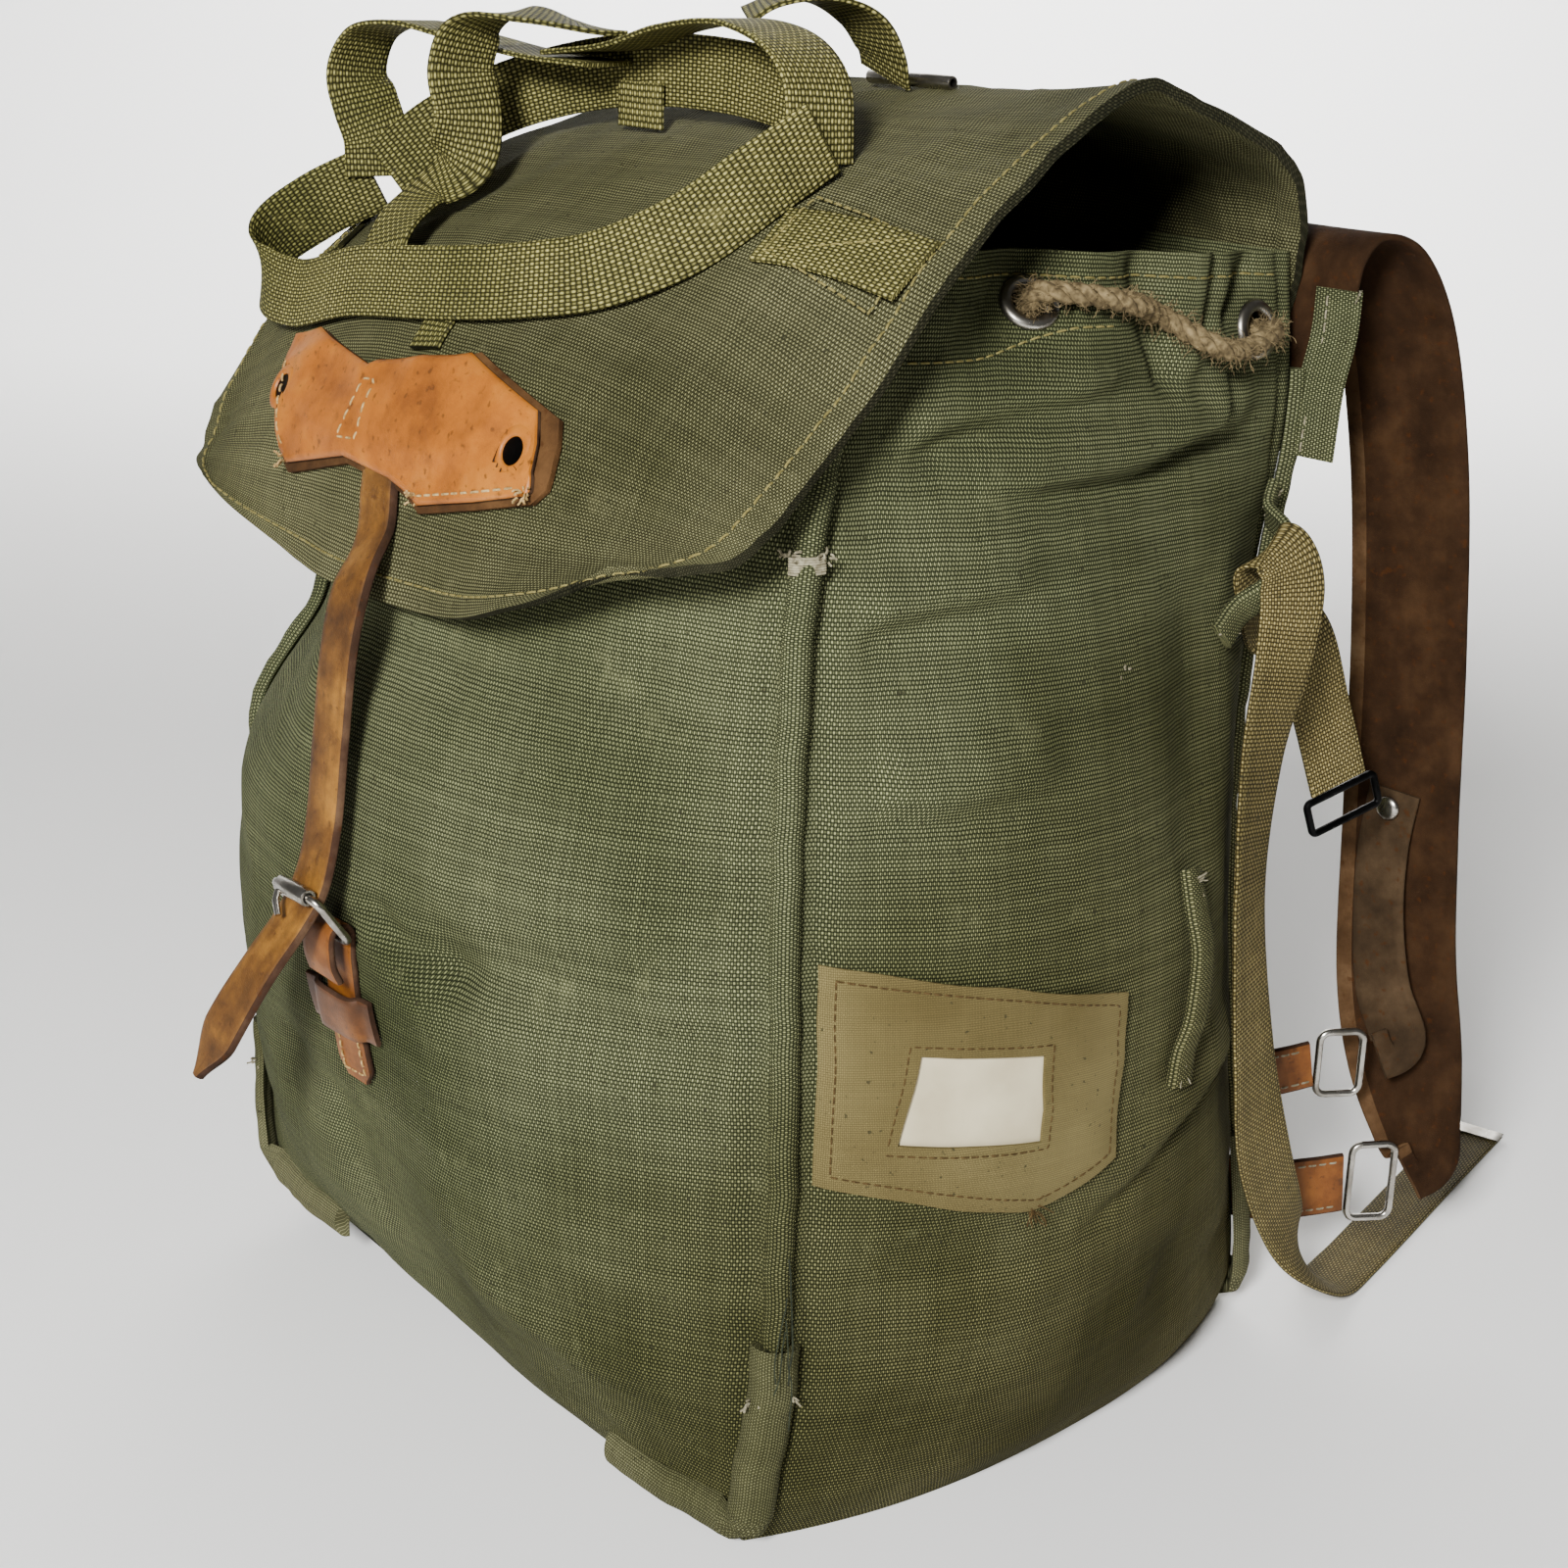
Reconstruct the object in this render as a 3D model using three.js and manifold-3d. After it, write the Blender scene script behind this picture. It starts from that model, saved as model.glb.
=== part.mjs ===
// Canvas military rucksack with leather straps, standing full on its base.
// Millimetres, +Z up. The front faces -Y, the wearer's side is +Y, the base lies on z = 0.
import * as THREE from "three";
import { mergeVertices } from "three/addons/utils/BufferGeometryUtils.js";
import Module from "manifold-3d";

const wasm = await Module();
wasm.setup();

// Driving sizes
const CANVAS = 2;
const LEATHER = 2.4;
const WEBBING = 1.8;
const WEB_WIDTH = 25;
const STRAP_WIDTH = 50;
const SEAM_GAP = 0.25;
const SEAT = 0.7;
const BULGE_POWER = 2.4;
const MOUTH_SLOPE = 0.00012;
const MOUTH_PIVOT_Y = 20;

// One row for each height of the body: seam places at the corners and how far each panel swells.
const BODY_SECTIONS = [
  { z: 0, frontX: 150, frontY: -122, backX: 150, backY: 132, frontSag: 0, sideSag: 24, backSag: 4 },
  { z: 20, frontX: 157, frontY: -125, backX: 154, backY: 134, frontSag: 16, sideSag: 32, backSag: 6 },
  { z: 70, frontX: 163, frontY: -122, backX: 153, backY: 128, frontSag: 46, sideSag: 43, backSag: 8 },
  { z: 140, frontX: 163, frontY: -120, backX: 149, backY: 119, frontSag: 64, sideSag: 50, backSag: 11 },
  { z: 200, frontX: 162, frontY: -120, backX: 146, backY: 114, frontSag: 67, sideSag: 52, backSag: 13 },
  { z: 260, frontX: 160, frontY: -119, backX: 142, backY: 117, frontSag: 55, sideSag: 46, backSag: 12 },
  { z: 320, frontX: 156, frontY: -114, backX: 142, backY: 126, frontSag: 33, sideSag: 30, backSag: 8 },
  { z: 375, frontX: 147, frontY: -96, backX: 145, backY: 131, frontSag: 19, sideSag: 15, backSag: 4 },
  { z: 430, frontX: 119, frontY: -50, backX: 140, backY: 131, frontSag: 9, sideSag: 9, backSag: 2 },
];
const MOUTH_Z = 430;

// Main folds of the cloth: a line from one place of a panel to another, its width and its height.
const FOLDS = [
  { panel: "front", u0: 0.02, z0: 192, u1: 0.75, z1: 183, width: 13, height: 5 },
  { panel: "front", u0: -0.05, z0: 190, u1: -0.7, z1: 150, width: 14, height: 4 },
  { panel: "front", u0: 0.1, z0: 120, u1: 0.8, z1: 105, width: 22, height: -4 },
  { panel: "side", u0: -0.85, z0: 335, u1: 0.25, z1: 365, width: 13, height: -4 },
  { panel: "side", u0: -0.75, z0: 372, u1: 0.05, z1: 388, width: 11, height: -4 },
  { panel: "side", u0: -0.2, z0: 290, u1: 0.55, z1: 250, width: 20, height: -4 },
  { panel: "side", u0: 0.75, z0: 150, u1: 0.2, z1: 95, width: 16, height: -4 },
];

// Gathers at the mouth of each side panel, drawn in by the cord.
const GATHER = { from: 352, height: 4, waves: 3.5 };

// The flap from its rear hem over the top to its front edge.
const FLAP_ROWS = [
  { row: 0, yMid: 139.5, ySide: 138.5, zLeft: 397, zMid: 397, zRight: 397, half: 136 },
  { row: 1, yMid: 139.5, ySide: 138, zLeft: 419, zMid: 424, zRight: 420, half: 141 },
  { row: 2, yMid: 126, ySide: 122, zLeft: 434, zMid: 453, zRight: 448, half: 150 },
  { row: 3, yMid: 95, ySide: 95, zLeft: 442, zMid: 469, zRight: 465, half: 156 },
  { row: 4, yMid: 55, ySide: 55, zLeft: 444, zMid: 476, zRight: 477, half: 158 },
  { row: 5, yMid: 20, ySide: 22, zLeft: 442, zMid: 474, zRight: 485, half: 157 },
  { row: 6, yMid: -25, ySide: -25, zLeft: 433, zMid: 464, zRight: 458, half: 160 },
  { row: 7, yMid: -66, ySide: -65, zLeft: 416, zMid: 446, zRight: 431, half: 163 },
  { row: 8, yMid: -103, ySide: -100, zLeft: 388, zMid: 424, zRight: 394, half: 165 },
  { row: 9, yMid: -131, ySide: -122, zLeft: 356, zMid: 401, zRight: 372, half: 166 },
  { row: 10, yMid: -149, ySide: -137, zLeft: 341, zMid: 371, zRight: 358, half: 163 },
  { row: 11, yMid: -158, ySide: -148, zLeft: 331, zMid: 340, zRight: 349, half: 151 },
  { row: 12, yMid: -164, ySide: -157, zLeft: 326, zMid: 310, zRight: 341, half: 124 },
];
const FLAP_LAST = 12;
const FLAP_CROWN = 2.2;

// Colours and finishes
const FINISH = {
  canvas: new THREE.MeshStandardMaterial({ color: 0x6b6a48, roughness: 0.95 }),
  binding: new THREE.MeshStandardMaterial({ color: 0x6f7a5c, roughness: 0.9 }),
  webbing: new THREE.MeshStandardMaterial({ color: 0x7d7440, roughness: 0.8 }),
  yoke: new THREE.MeshStandardMaterial({ color: 0xb5712f, roughness: 0.55 }),
  leather: new THREE.MeshStandardMaterial({ color: 0x6b4426, roughness: 0.7 }),
  suede: new THREE.MeshStandardMaterial({ color: 0x76685a, roughness: 0.95 }),
  steel: new THREE.MeshStandardMaterial({ color: 0xb9b7b0, roughness: 0.35, metalness: 1 }),
  blackSteel: new THREE.MeshStandardMaterial({ color: 0x2a2a28, roughness: 0.5, metalness: 1 }),
  rope: new THREE.MeshStandardMaterial({ color: 0x8a7350, roughness: 1 }),
  twill: new THREE.MeshStandardMaterial({ color: 0x7d6c42, roughness: 0.9 }),
  card: new THREE.MeshStandardMaterial({ color: 0xe8e4da, roughness: 0.9 }),
};

const rucksack = new THREE.Group();

// Adds a named piece to the rucksack.
function addPiece(name, geometry, finish) {
  const mesh = new THREE.Mesh(geometry, finish);
  mesh.name = name;
  rucksack.add(mesh);
  return mesh;
}

// Smooth value of one column of a table at a given key, by Hermite steps between its rows.
function columnAt(table, key, column, value) {
  const last = table.length - 1;
  let i = 0;
  while (i < last - 1 && value > table[i + 1][key]) i += 1;
  const a = table[i];
  const b = table[i + 1];
  const before = table[Math.max(i - 1, 0)];
  const after = table[Math.min(i + 2, last)];
  const span = b[key] - a[key];
  const t = (value - a[key]) / span;
  const slopeA = ((b[column] - before[column]) / (b[key] - before[key])) * span;
  const slopeB = ((after[column] - a[column]) / (after[key] - a[key])) * span;
  const t2 = t * t;
  const t3 = t2 * t;
  return (
    (2 * t3 - 3 * t2 + 1) * a[column] +
    (t3 - 2 * t2 + t) * slopeA +
    (3 * t2 - 2 * t3) * b[column] +
    (t3 - t2) * slopeB
  );
}

const sectionAt = (column, z) => columnAt(BODY_SECTIONS, "z", column, z);
const flapAt = (column, row) => columnAt(FLAP_ROWS, "row", column, row);

function smoothstep(low, high, value) {
  const t = Math.min(Math.max((value - low) / (high - low), 0), 1);
  return t * t * (3 - 2 * t);
}

// Height of the folds at a place of a panel, whose half width turns u into millimetres.
function foldHeight(panel, u, z, half) {
  let height = 0;
  for (const fold of FOLDS) {
    if (fold.panel !== panel) continue;
    const alongX = (fold.u1 - fold.u0) * half;
    const alongZ = fold.z1 - fold.z0;
    const fromX = (u - fold.u0) * half;
    const fromZ = z - fold.z0;
    const length2 = alongX * alongX + alongZ * alongZ;
    const t = Math.min(Math.max((fromX * alongX + fromZ * alongZ) / length2, 0), 1);
    const away2 = (fromX - t * alongX) ** 2 + (fromZ - t * alongZ) ** 2;
    const fade = 0.35 + 0.65 * Math.sin(Math.PI * Math.min(Math.max(t, 0.1), 0.9));
    height += fold.height * fade * Math.exp(-away2 / (fold.width * fold.width));
  }
  return height * (1 - u ** 8);
}

// The mouth leans down a little towards the back.
function leaned(x, y, z) {
  return new THREE.Vector3(x, y, z * (1 - MOUTH_SLOPE * (y - MOUTH_PIVOT_Y)));
}

// Outer surface of the front panel, u from the left seam (-1) to the right seam (1).
function frontPoint(u, z) {
  const half = sectionAt("frontX", z);
  const swell = sectionAt("frontSag", z) * (1 - Math.abs(u) ** BULGE_POWER);
  return leaned(u * half, sectionAt("frontY", z) - swell - foldHeight("front", u, z, half), z);
}

// Outer surface of a side panel, u from the front seam (-1) to the back seam (1), side 1 right or -1 left.
function sidePoint(side, u, z) {
  const front = new THREE.Vector2(sectionAt("frontX", z), sectionAt("frontY", z));
  const back = new THREE.Vector2(sectionAt("backX", z), sectionAt("backY", z));
  const chord = back.clone().sub(front);
  const half = chord.length() / 2;
  const out = new THREE.Vector2(chord.y, -chord.x).normalize();
  const gathered = GATHER.height * smoothstep(GATHER.from, MOUTH_Z, z) * (1 - u ** 6);
  const gather = gathered * Math.cos(Math.PI * GATHER.waves * (u + 0.12));
  const swell = sectionAt("sideSag", z) * (1 - Math.abs(u) ** BULGE_POWER);
  const at = front.lerp(back, (u + 1) / 2);
  at.addScaledVector(out, swell + gather + foldHeight("side", u, z, half));
  return leaned(side * at.x, at.y, z);
}

// Outer surface of the back panel, u from the left seam (-1) to the right seam (1).
function backPoint(u, z) {
  const swell = sectionAt("backSag", z) * (1 - Math.abs(u) ** BULGE_POWER);
  return leaned(u * sectionAt("backX", z), sectionAt("backY", z) + swell, z);
}

// Upper surface of the flap, s from the left edge (-1) to the right edge (1), row along FLAP_ROWS.
function flapPoint(s, row) {
  const crown = Math.abs(s) ** FLAP_CROWN;
  const y = flapAt("yMid", row) + (flapAt("ySide", row) - flapAt("yMid", row)) * crown;
  const zSide = flapAt(s < 0 ? "zLeft" : "zRight", row);
  const z = flapAt("zMid", row) + (zSide - flapAt("zMid", row)) * crown;
  return new THREE.Vector3(s * flapAt("half", row), y, z);
}

// Unit normal of a surface, on the side that the first direction crossed with the second gives.
function normalOf(surface, a, b, stepA, stepB) {
  const alongA = surface(a + stepA, b).sub(surface(a - stepA, b));
  const alongB = surface(a, b + stepB).sub(surface(a, b - stepB));
  return alongA.cross(alongB).normalize();
}

// A closed solid between two grids of points with the same layout, outer and inner.
function shellGeometry(outer, inner) {
  const rows = outer.length;
  const columns = outer[0].length;
  const points = [...outer.flat(), ...inner.flat()];
  const innerStart = rows * columns;
  const at = (i, j, layer) => layer * innerStart + i * columns + j;
  const index = [];
  const quad = (a, b, c, d) => index.push(a, b, c, a, c, d);
  for (let i = 0; i < rows - 1; i += 1) {
    for (let j = 0; j < columns - 1; j += 1) {
      quad(at(i, j, 0), at(i, j + 1, 0), at(i + 1, j + 1, 0), at(i + 1, j, 0));
      quad(at(i, j, 1), at(i + 1, j, 1), at(i + 1, j + 1, 1), at(i, j + 1, 1));
    }
  }
  for (let j = 0; j < columns - 1; j += 1) {
    quad(at(0, j, 0), at(0, j, 1), at(0, j + 1, 1), at(0, j + 1, 0));
    quad(at(rows - 1, j, 0), at(rows - 1, j + 1, 0), at(rows - 1, j + 1, 1), at(rows - 1, j, 1));
  }
  for (let i = 0; i < rows - 1; i += 1) {
    quad(at(i, 0, 0), at(i + 1, 0, 0), at(i + 1, 0, 1), at(i, 0, 1));
    quad(at(i, columns - 1, 0), at(i, columns - 1, 1), at(i + 1, columns - 1, 1), at(i + 1, columns - 1, 0));
  }
  return geometryFrom(points, index);
}

// An indexed geometry from points and triangle indices, its faces turned outwards.
function geometryFrom(points, index) {
  const geometry = new THREE.BufferGeometry();
  geometry.setAttribute("position", new THREE.Float32BufferAttribute(points.flatMap((p) => p.toArray()), 3));
  geometry.setIndex(volumeOf(points, index) < 0 ? index.toReversed() : index);
  geometry.computeVertexNormals();
  return geometry;
}

// Signed volume enclosed by triangles.
function volumeOf(points, index) {
  let sum = 0;
  for (let i = 0; i < index.length; i += 3) {
    const [a, b, c] = [points[index[i]], points[index[i + 1]], points[index[i + 2]]];
    sum += a.dot(b.clone().cross(c)) / 6;
  }
  return sum;
}

function range(count, low, high) {
  return Array.from({ length: count + 1 }, (_, i) => low + ((high - low) * i) / count);
}

// Solid of a geometry for joining and cutting, and a geometry from such a solid.
function toSolid(geometry) {
  const bare = geometry.clone();
  bare.deleteAttribute("normal");
  bare.deleteAttribute("uv");
  const merged = mergeVertices(bare, 1e-4);
  return new wasm.Manifold(
    new wasm.Mesh({
      numProp: 3,
      vertProperties: merged.attributes.position.array,
      triVerts: new Uint32Array(merged.index.array),
    }),
  );
}

function fromSolid(solid) {
  const mesh = solid.getMesh();
  const geometry = new THREE.BufferGeometry();
  geometry.setAttribute("position", new THREE.BufferAttribute(new Float32Array(mesh.vertProperties), 3));
  geometry.setIndex(new THREE.BufferAttribute(new Uint32Array(mesh.triVerts), 1));
  geometry.computeVertexNormals();
  return geometry;
}

// Horizontal outward normals of the panels, used where two walls meet at a seam.
const level = (vector) => vector.setZ(0).normalize();
const frontNormal = (u, z) => normalOf(frontPoint, u, z, 0.004, 0.8);
const backNormal = (u, z) => normalOf(backPoint, u, z, 0.004, 0.8).negate();
const sideNormal = (side, u, z) =>
  normalOf((a, b) => sidePoint(side, a, b), u, z, 0.004, 0.8).multiplyScalar(side);

// Direction in which both walls of a corner are thickened, so that their edges meet in one mitre.
function mitre(normalA, normalB) {
  const a = level(normalA);
  const bisector = a.clone().add(level(normalB)).normalize();
  return bisector.multiplyScalar(1 / bisector.dot(a));
}

function cornerMitre(side, isFront, z) {
  const panel = isFront ? frontNormal : backNormal;
  return mitre(panel(side, z), sideNormal(side, isFront ? -1 : 1, z));
}

// Heights of the body's rows, closer together near the floor and near the mouth.
const BODY_ROWS = [0, 10, 24, 48, 78, 110, 144, 178, 212, 244, 275, 305, 334, 361, 386, 408, 430];

// A canvas wall of one panel, mitred at its two seams and level at its bottom and top.
function panelWall(point, normal, leftMitre, rightMitre, columns, half) {
  const shrink = 1 - SEAM_GAP / half;
  const across = range(columns, -shrink, shrink);
  const outer = [];
  const inner = [];
  for (const z of BODY_ROWS) {
    const outerRow = [];
    const innerRow = [];
    across.forEach((u, j) => {
      const place = point(u, z);
      let inwards = normal(u, z);
      if (z === 0 || z === MOUTH_Z) inwards = level(inwards);
      if (j === 0) inwards = leftMitre(z);
      if (j === columns) inwards = rightMitre(z);
      outerRow.push(place);
      innerRow.push(place.clone().addScaledVector(inwards, -CANVAS));
    });
    outer.push(outerRow);
    inner.push(innerRow);
  }
  return { geometry: shellGeometry(outer, inner), footInner: inner[0] };
}

// Body panels
const PANEL_HALF = 130;
const front = panelWall(
  frontPoint,
  frontNormal,
  (z) => cornerMitre(-1, true, z),
  (z) => cornerMitre(1, true, z),
  14,
  PANEL_HALF,
);
const back = panelWall(
  backPoint,
  backNormal,
  (z) => cornerMitre(-1, false, z),
  (z) => cornerMitre(1, false, z),
  6,
  PANEL_HALF,
);
const sideWall = (side) =>
  panelWall(
    (u, z) => sidePoint(side, u, z),
    (u, z) => sideNormal(side, u, z),
    (z) => cornerMitre(side, true, z),
    (z) => cornerMitre(side, false, z),
    14,
    PANEL_HALF,
  );
const right = sideWall(1);
const left = sideWall(-1);

addPiece("front_panel", front.geometry, FINISH.canvas);
addPiece("back_panel", back.geometry, FINISH.canvas);
addPiece("side_panel_right", right.geometry, FINISH.canvas);
addPiece("side_panel_left", left.geometry, FINISH.canvas);

// Base: a flat sheet inside the feet of the four walls.
const BASE_INSET = 0.995;
const baseOutline = [
  ...front.footInner.slice(0, -1),
  ...right.footInner.slice(0, -1),
  ...back.footInner.toReversed().slice(0, -1),
  ...left.footInner.toReversed().slice(0, -1),
].map((p) => new THREE.Vector2(p.x * BASE_INSET, p.y * BASE_INSET));
addPiece(
  "base_panel",
  new THREE.ExtrudeGeometry(new THREE.Shape(baseOutline), { depth: CANVAS, bevelEnabled: false }),
  FINISH.canvas,
);

// Flap
const FLAP_COLUMNS = 12;
const FLAP_STEPS = 20;
const flapNormal = (s, row) => normalOf(flapPoint, s, row, 0.004, 0.02).negate();
function flapGeometry() {
  const outer = [];
  const inner = [];
  for (const row of range(FLAP_STEPS, 0, FLAP_LAST)) {
    const places = range(FLAP_COLUMNS, -1, 1);
    outer.push(places.map((s) => flapPoint(s, row)));
    inner.push(places.map((s) => flapPoint(s, row).addScaledVector(flapNormal(s, row), -CANVAS)));
  }
  return shellGeometry(outer, inner);
}
addPiece("flap", flapGeometry(), FINISH.canvas);

// Places on the surfaces
const SEARCH_STEPS = 40;

// Value between low and high at which a falling function reaches the target.
function findFalling(low, high, target, value) {
  let a = low;
  let b = high;
  for (let i = 0; i < SEARCH_STEPS; i += 1) {
    const mid = (a + b) / 2;
    if (value(mid) > target) a = mid;
    else b = mid;
  }
  return (a + b) / 2;
}

// A point raised off a surface along its normal.
const raised = (seat, lift) => seat.point.clone().addScaledVector(seat.normal, lift);

const flapPlace = (x, row) => {
  const s = x / flapAt("half", row);
  return { point: flapPoint(s, row), normal: flapNormal(s, row) };
};

// Flap under a plan position, and flap front at a height.
function flapSeat(x, y) {
  return flapPlace(x, findFalling(1.6, FLAP_LAST, y, (row) => flapPoint(x / flapAt("half", row), row).y));
}

function flapFrontSeat(x, z) {
  return flapPlace(x, findFalling(8, FLAP_LAST, z, (row) => flapPoint(x / flapAt("half", row), row).z));
}

function sideSeat(side, y, z) {
  const u = findFalling(-1, 1, -y, (at) => -sidePoint(side, at, z).y);
  return { point: sidePoint(side, u, z), normal: sideNormal(side, u, z) };
}

function frontSeat(x, z) {
  const u = x / sectionAt("frontX", z);
  return { point: frontPoint(u, z), normal: frontNormal(u, z) };
}

function backSeat(x, z) {
  const u = x / sectionAt("backX", z);
  return { point: backPoint(u, z), normal: backNormal(u, z) };
}

// A patch of even thickness that lies on a grid of seats.
function patchGeometry(seats, lift, thickness) {
  const outer = seats.map((row) => row.map((seat) => raised(seat, lift + thickness)));
  const inner = seats.map((row) => row.map((seat) => raised(seat, lift)));
  return shellGeometry(outer, inner);
}

// A flat band through rows of { at, face }: its centre line and the direction that its face looks.
function bandGeometry(rows, width, thickness, steps) {
  const path = new THREE.CatmullRomCurve3(rows.map((row) => row.at), false, "centripetal");
  const faces = new THREE.CatmullRomCurve3(rows.map((row) => row.face), false, "catmullrom");
  const widthAt = (t) => (typeof width === "function" ? width(t) : width);
  const top = [];
  const bottom = [];
  for (const t of range(steps, 0, 1)) {
    const at = path.getPoint(t);
    const along = path.getTangent(t);
    const face = faces.getPoint(t);
    face.addScaledVector(along, -face.dot(along)).normalize();
    const across = along.clone().cross(face).normalize();
    const half = widthAt(t) / 2;
    const edge = (sideways, off) =>
      at.clone().addScaledVector(across, sideways * half).addScaledVector(face, (off * thickness) / 2);
    top.push([edge(-1, 1), edge(1, 1)]);
    bottom.push([edge(-1, -1), edge(1, -1)]);
  }
  return shellGeometry(top, bottom);
}

const vec = (x, y, z) => new THREE.Vector3(x, y, z);

// Rows of a band from a table with columns x, y, z and the face's nx, ny, nz, mirrored for the left side.
function bandRows(table, side = 1) {
  return table.map((row) => ({
    at: vec(side * row.x, row.y, row.z),
    face: vec(side * row.nx, row.ny, row.nz),
  }));
}

// A row of a band that lies on a seat.
const seatedRow = (seat, lift) => ({ at: raised(seat, lift), face: seat.normal });

// A round rod of few sides along points, closed into a loop or capped at its ends.
function rodGeometry(points, radius, sides, closed) {
  const count = points.length;
  const rings = [];
  let reference = vec(0.31, 0.17, 0.93);
  points.forEach((at, i) => {
    const next = points[closed ? (i + 1) % count : Math.min(i + 1, count - 1)];
    const last = points[closed ? (i + count - 1) % count : Math.max(i - 1, 0)];
    const along = next.clone().sub(last).normalize();
    const across = reference.clone().addScaledVector(along, -reference.dot(along)).normalize();
    const beside = along.clone().cross(across);
    reference = across;
    const ring = range(sides, 0, 2 * Math.PI).slice(0, sides).map((angle) => {
      const corner = at.clone().addScaledVector(across, radius * Math.cos(angle));
      return corner.addScaledVector(beside, radius * Math.sin(angle));
    });
    rings.push(ring);
  });
  const index = [];
  const links = closed ? count : count - 1;
  const turn = closed ? closingTurn(rings) : 0;
  for (let i = 0; i < links; i += 1) {
    const following = (i + 1) % count;
    const shift = following === 0 ? turn : 0;
    for (let j = 0; j < sides; j += 1) {
      const k = (j + 1) % sides;
      const a = i * sides + j;
      const b = i * sides + k;
      const c = following * sides + ((k + shift) % sides);
      const d = following * sides + ((j + shift) % sides);
      index.push(a, b, c, a, c, d);
    }
  }
  if (!closed) {
    for (let j = 1; j < sides - 1; j += 1) {
      const end = (count - 1) * sides;
      index.push(0, j + 1, j, end, end + j, end + j + 1);
    }
  }
  return geometryFrom(rings.flat(), index);
}

// How many sides the last ring is turned against the first one.
function closingTurn(rings) {
  const from = rings[rings.length - 1][0];
  const first = rings[0];
  let best = 0;
  first.forEach((p, j) => {
    if (p.distanceTo(from) < first[best].distanceTo(from)) best = j;
  });
  return best;
}

// Corners of a rounded rectangle of wire about a centre, in the plane of two unit directions.
const CORNER_STEPS = 2;
function wireLoop(centre, across, up, width, height, radius) {
  const points = [];
  const corners = [
    { x: 1, y: 1, from: 0 },
    { x: -1, y: 1, from: 90 },
    { x: -1, y: -1, from: 180 },
    { x: 1, y: -1, from: 270 },
  ];
  for (const corner of corners) {
    for (const step of range(CORNER_STEPS, 0, 1)) {
      const angle = THREE.MathUtils.degToRad(corner.from + 90 * step);
      const a = corner.x * (width / 2 - radius) + radius * Math.cos(angle);
      const b = corner.y * (height / 2 - radius) + radius * Math.sin(angle);
      points.push(centre.clone().addScaledVector(across, a).addScaledVector(up, b));
    }
  }
  return points;
}

// A sleeve or ring turned about a direction: its profile is a closed list of radius and height.
function turnedGeometry(profile, segments, at, axis) {
  const closed = [...profile, profile[0]].map((p) => new THREE.Vector2(p.r, p.h));
  const geometry = new THREE.LatheGeometry(closed, segments);
  geometry.applyQuaternion(new THREE.Quaternion().setFromUnitVectors(vec(0, 1, 0), axis.clone().normalize()));
  geometry.translate(at.x, at.y, at.z);
  return geometry;
}

function cut(geometry, ...tools) {
  return fromSolid(tools.reduce((solid, tool) => solid.subtract(toSolid(tool)), toSolid(geometry)));
}

// A round punch through a surface at a seat.
const PUNCH_LENGTH = 24;
const PUNCH_SIDES = 10;
function punch(seat, radius) {
  const geometry = new THREE.CylinderGeometry(radius, radius, PUNCH_LENGTH, PUNCH_SIDES);
  geometry.applyQuaternion(new THREE.Quaternion().setFromUnitVectors(vec(0, 1, 0), seat.normal));
  geometry.translate(seat.point.x, seat.point.y, seat.point.z);
  return geometry;
}

// Rolled corner seams and the bindings at the foot of each corner.
const SEAM = { width: 9, height: 5 };
const BINDING = { width: 13, height: 5.5, top: 84, footZ: 11, lift: 1.6 };
const RIDGE_SECTION = [
  { across: -0.5, up: 0 },
  { across: -0.36, up: 0.7 },
  { across: 0, up: 1 },
  { across: 0.36, up: 0.7 },
  { across: 0.5, up: 0 },
];

// A half-round ridge along rows of { at, out }, whose foot is raised a little off the seam.
function ridgeGeometry(rows, size, lift) {
  const grid = rows.map((row, i) => {
    const next = rows[Math.min(i + 1, rows.length - 1)].at;
    const last = rows[Math.max(i - 1, 0)].at;
    const along = next.clone().sub(last).normalize();
    const out = row.out.clone().addScaledVector(along, -row.out.dot(along)).normalize();
    const across = along.clone().cross(out);
    return RIDGE_SECTION.map((corner) =>
      row.at
        .clone()
        .addScaledVector(out, lift + corner.up * size.height)
        .addScaledVector(across, corner.across * size.width),
    );
  });
  const index = [];
  const sides = RIDGE_SECTION.length;
  for (let i = 0; i < rows.length - 1; i += 1) {
    for (let j = 0; j < sides; j += 1) {
      const k = (j + 1) % sides;
      const a = i * sides + j;
      const b = i * sides + k;
      index.push(a, b, b + sides, a, b + sides, a + sides);
    }
  }
  const end = (rows.length - 1) * sides;
  for (let j = 1; j < sides - 1; j += 1) index.push(0, j + 1, j, end, end + j, end + j + 1);
  return geometryFrom(grid.flat(), index);
}

// How far the foot of a binding runs along its panel, and how far it has turned to the panel's face.
const BINDING_FOOT = [
  { share: 0.04, turned: 0.5 },
  { share: 0.12, turned: 1 },
  { share: 0.26, turned: 1 },
  { share: 0.42, turned: 1 },
];
const cornerPoint = (side, isFront, z) => (isFront ? frontPoint(side, z) : backPoint(side, z));
const cornerOut = (side, isFront, z) => cornerMitre(side, isFront, z).normalize();
const seamRow = (side, isFront, z) => ({
  at: cornerPoint(side, isFront, z),
  out: cornerOut(side, isFront, z),
});
const SEAM_TOP = 388;

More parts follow.
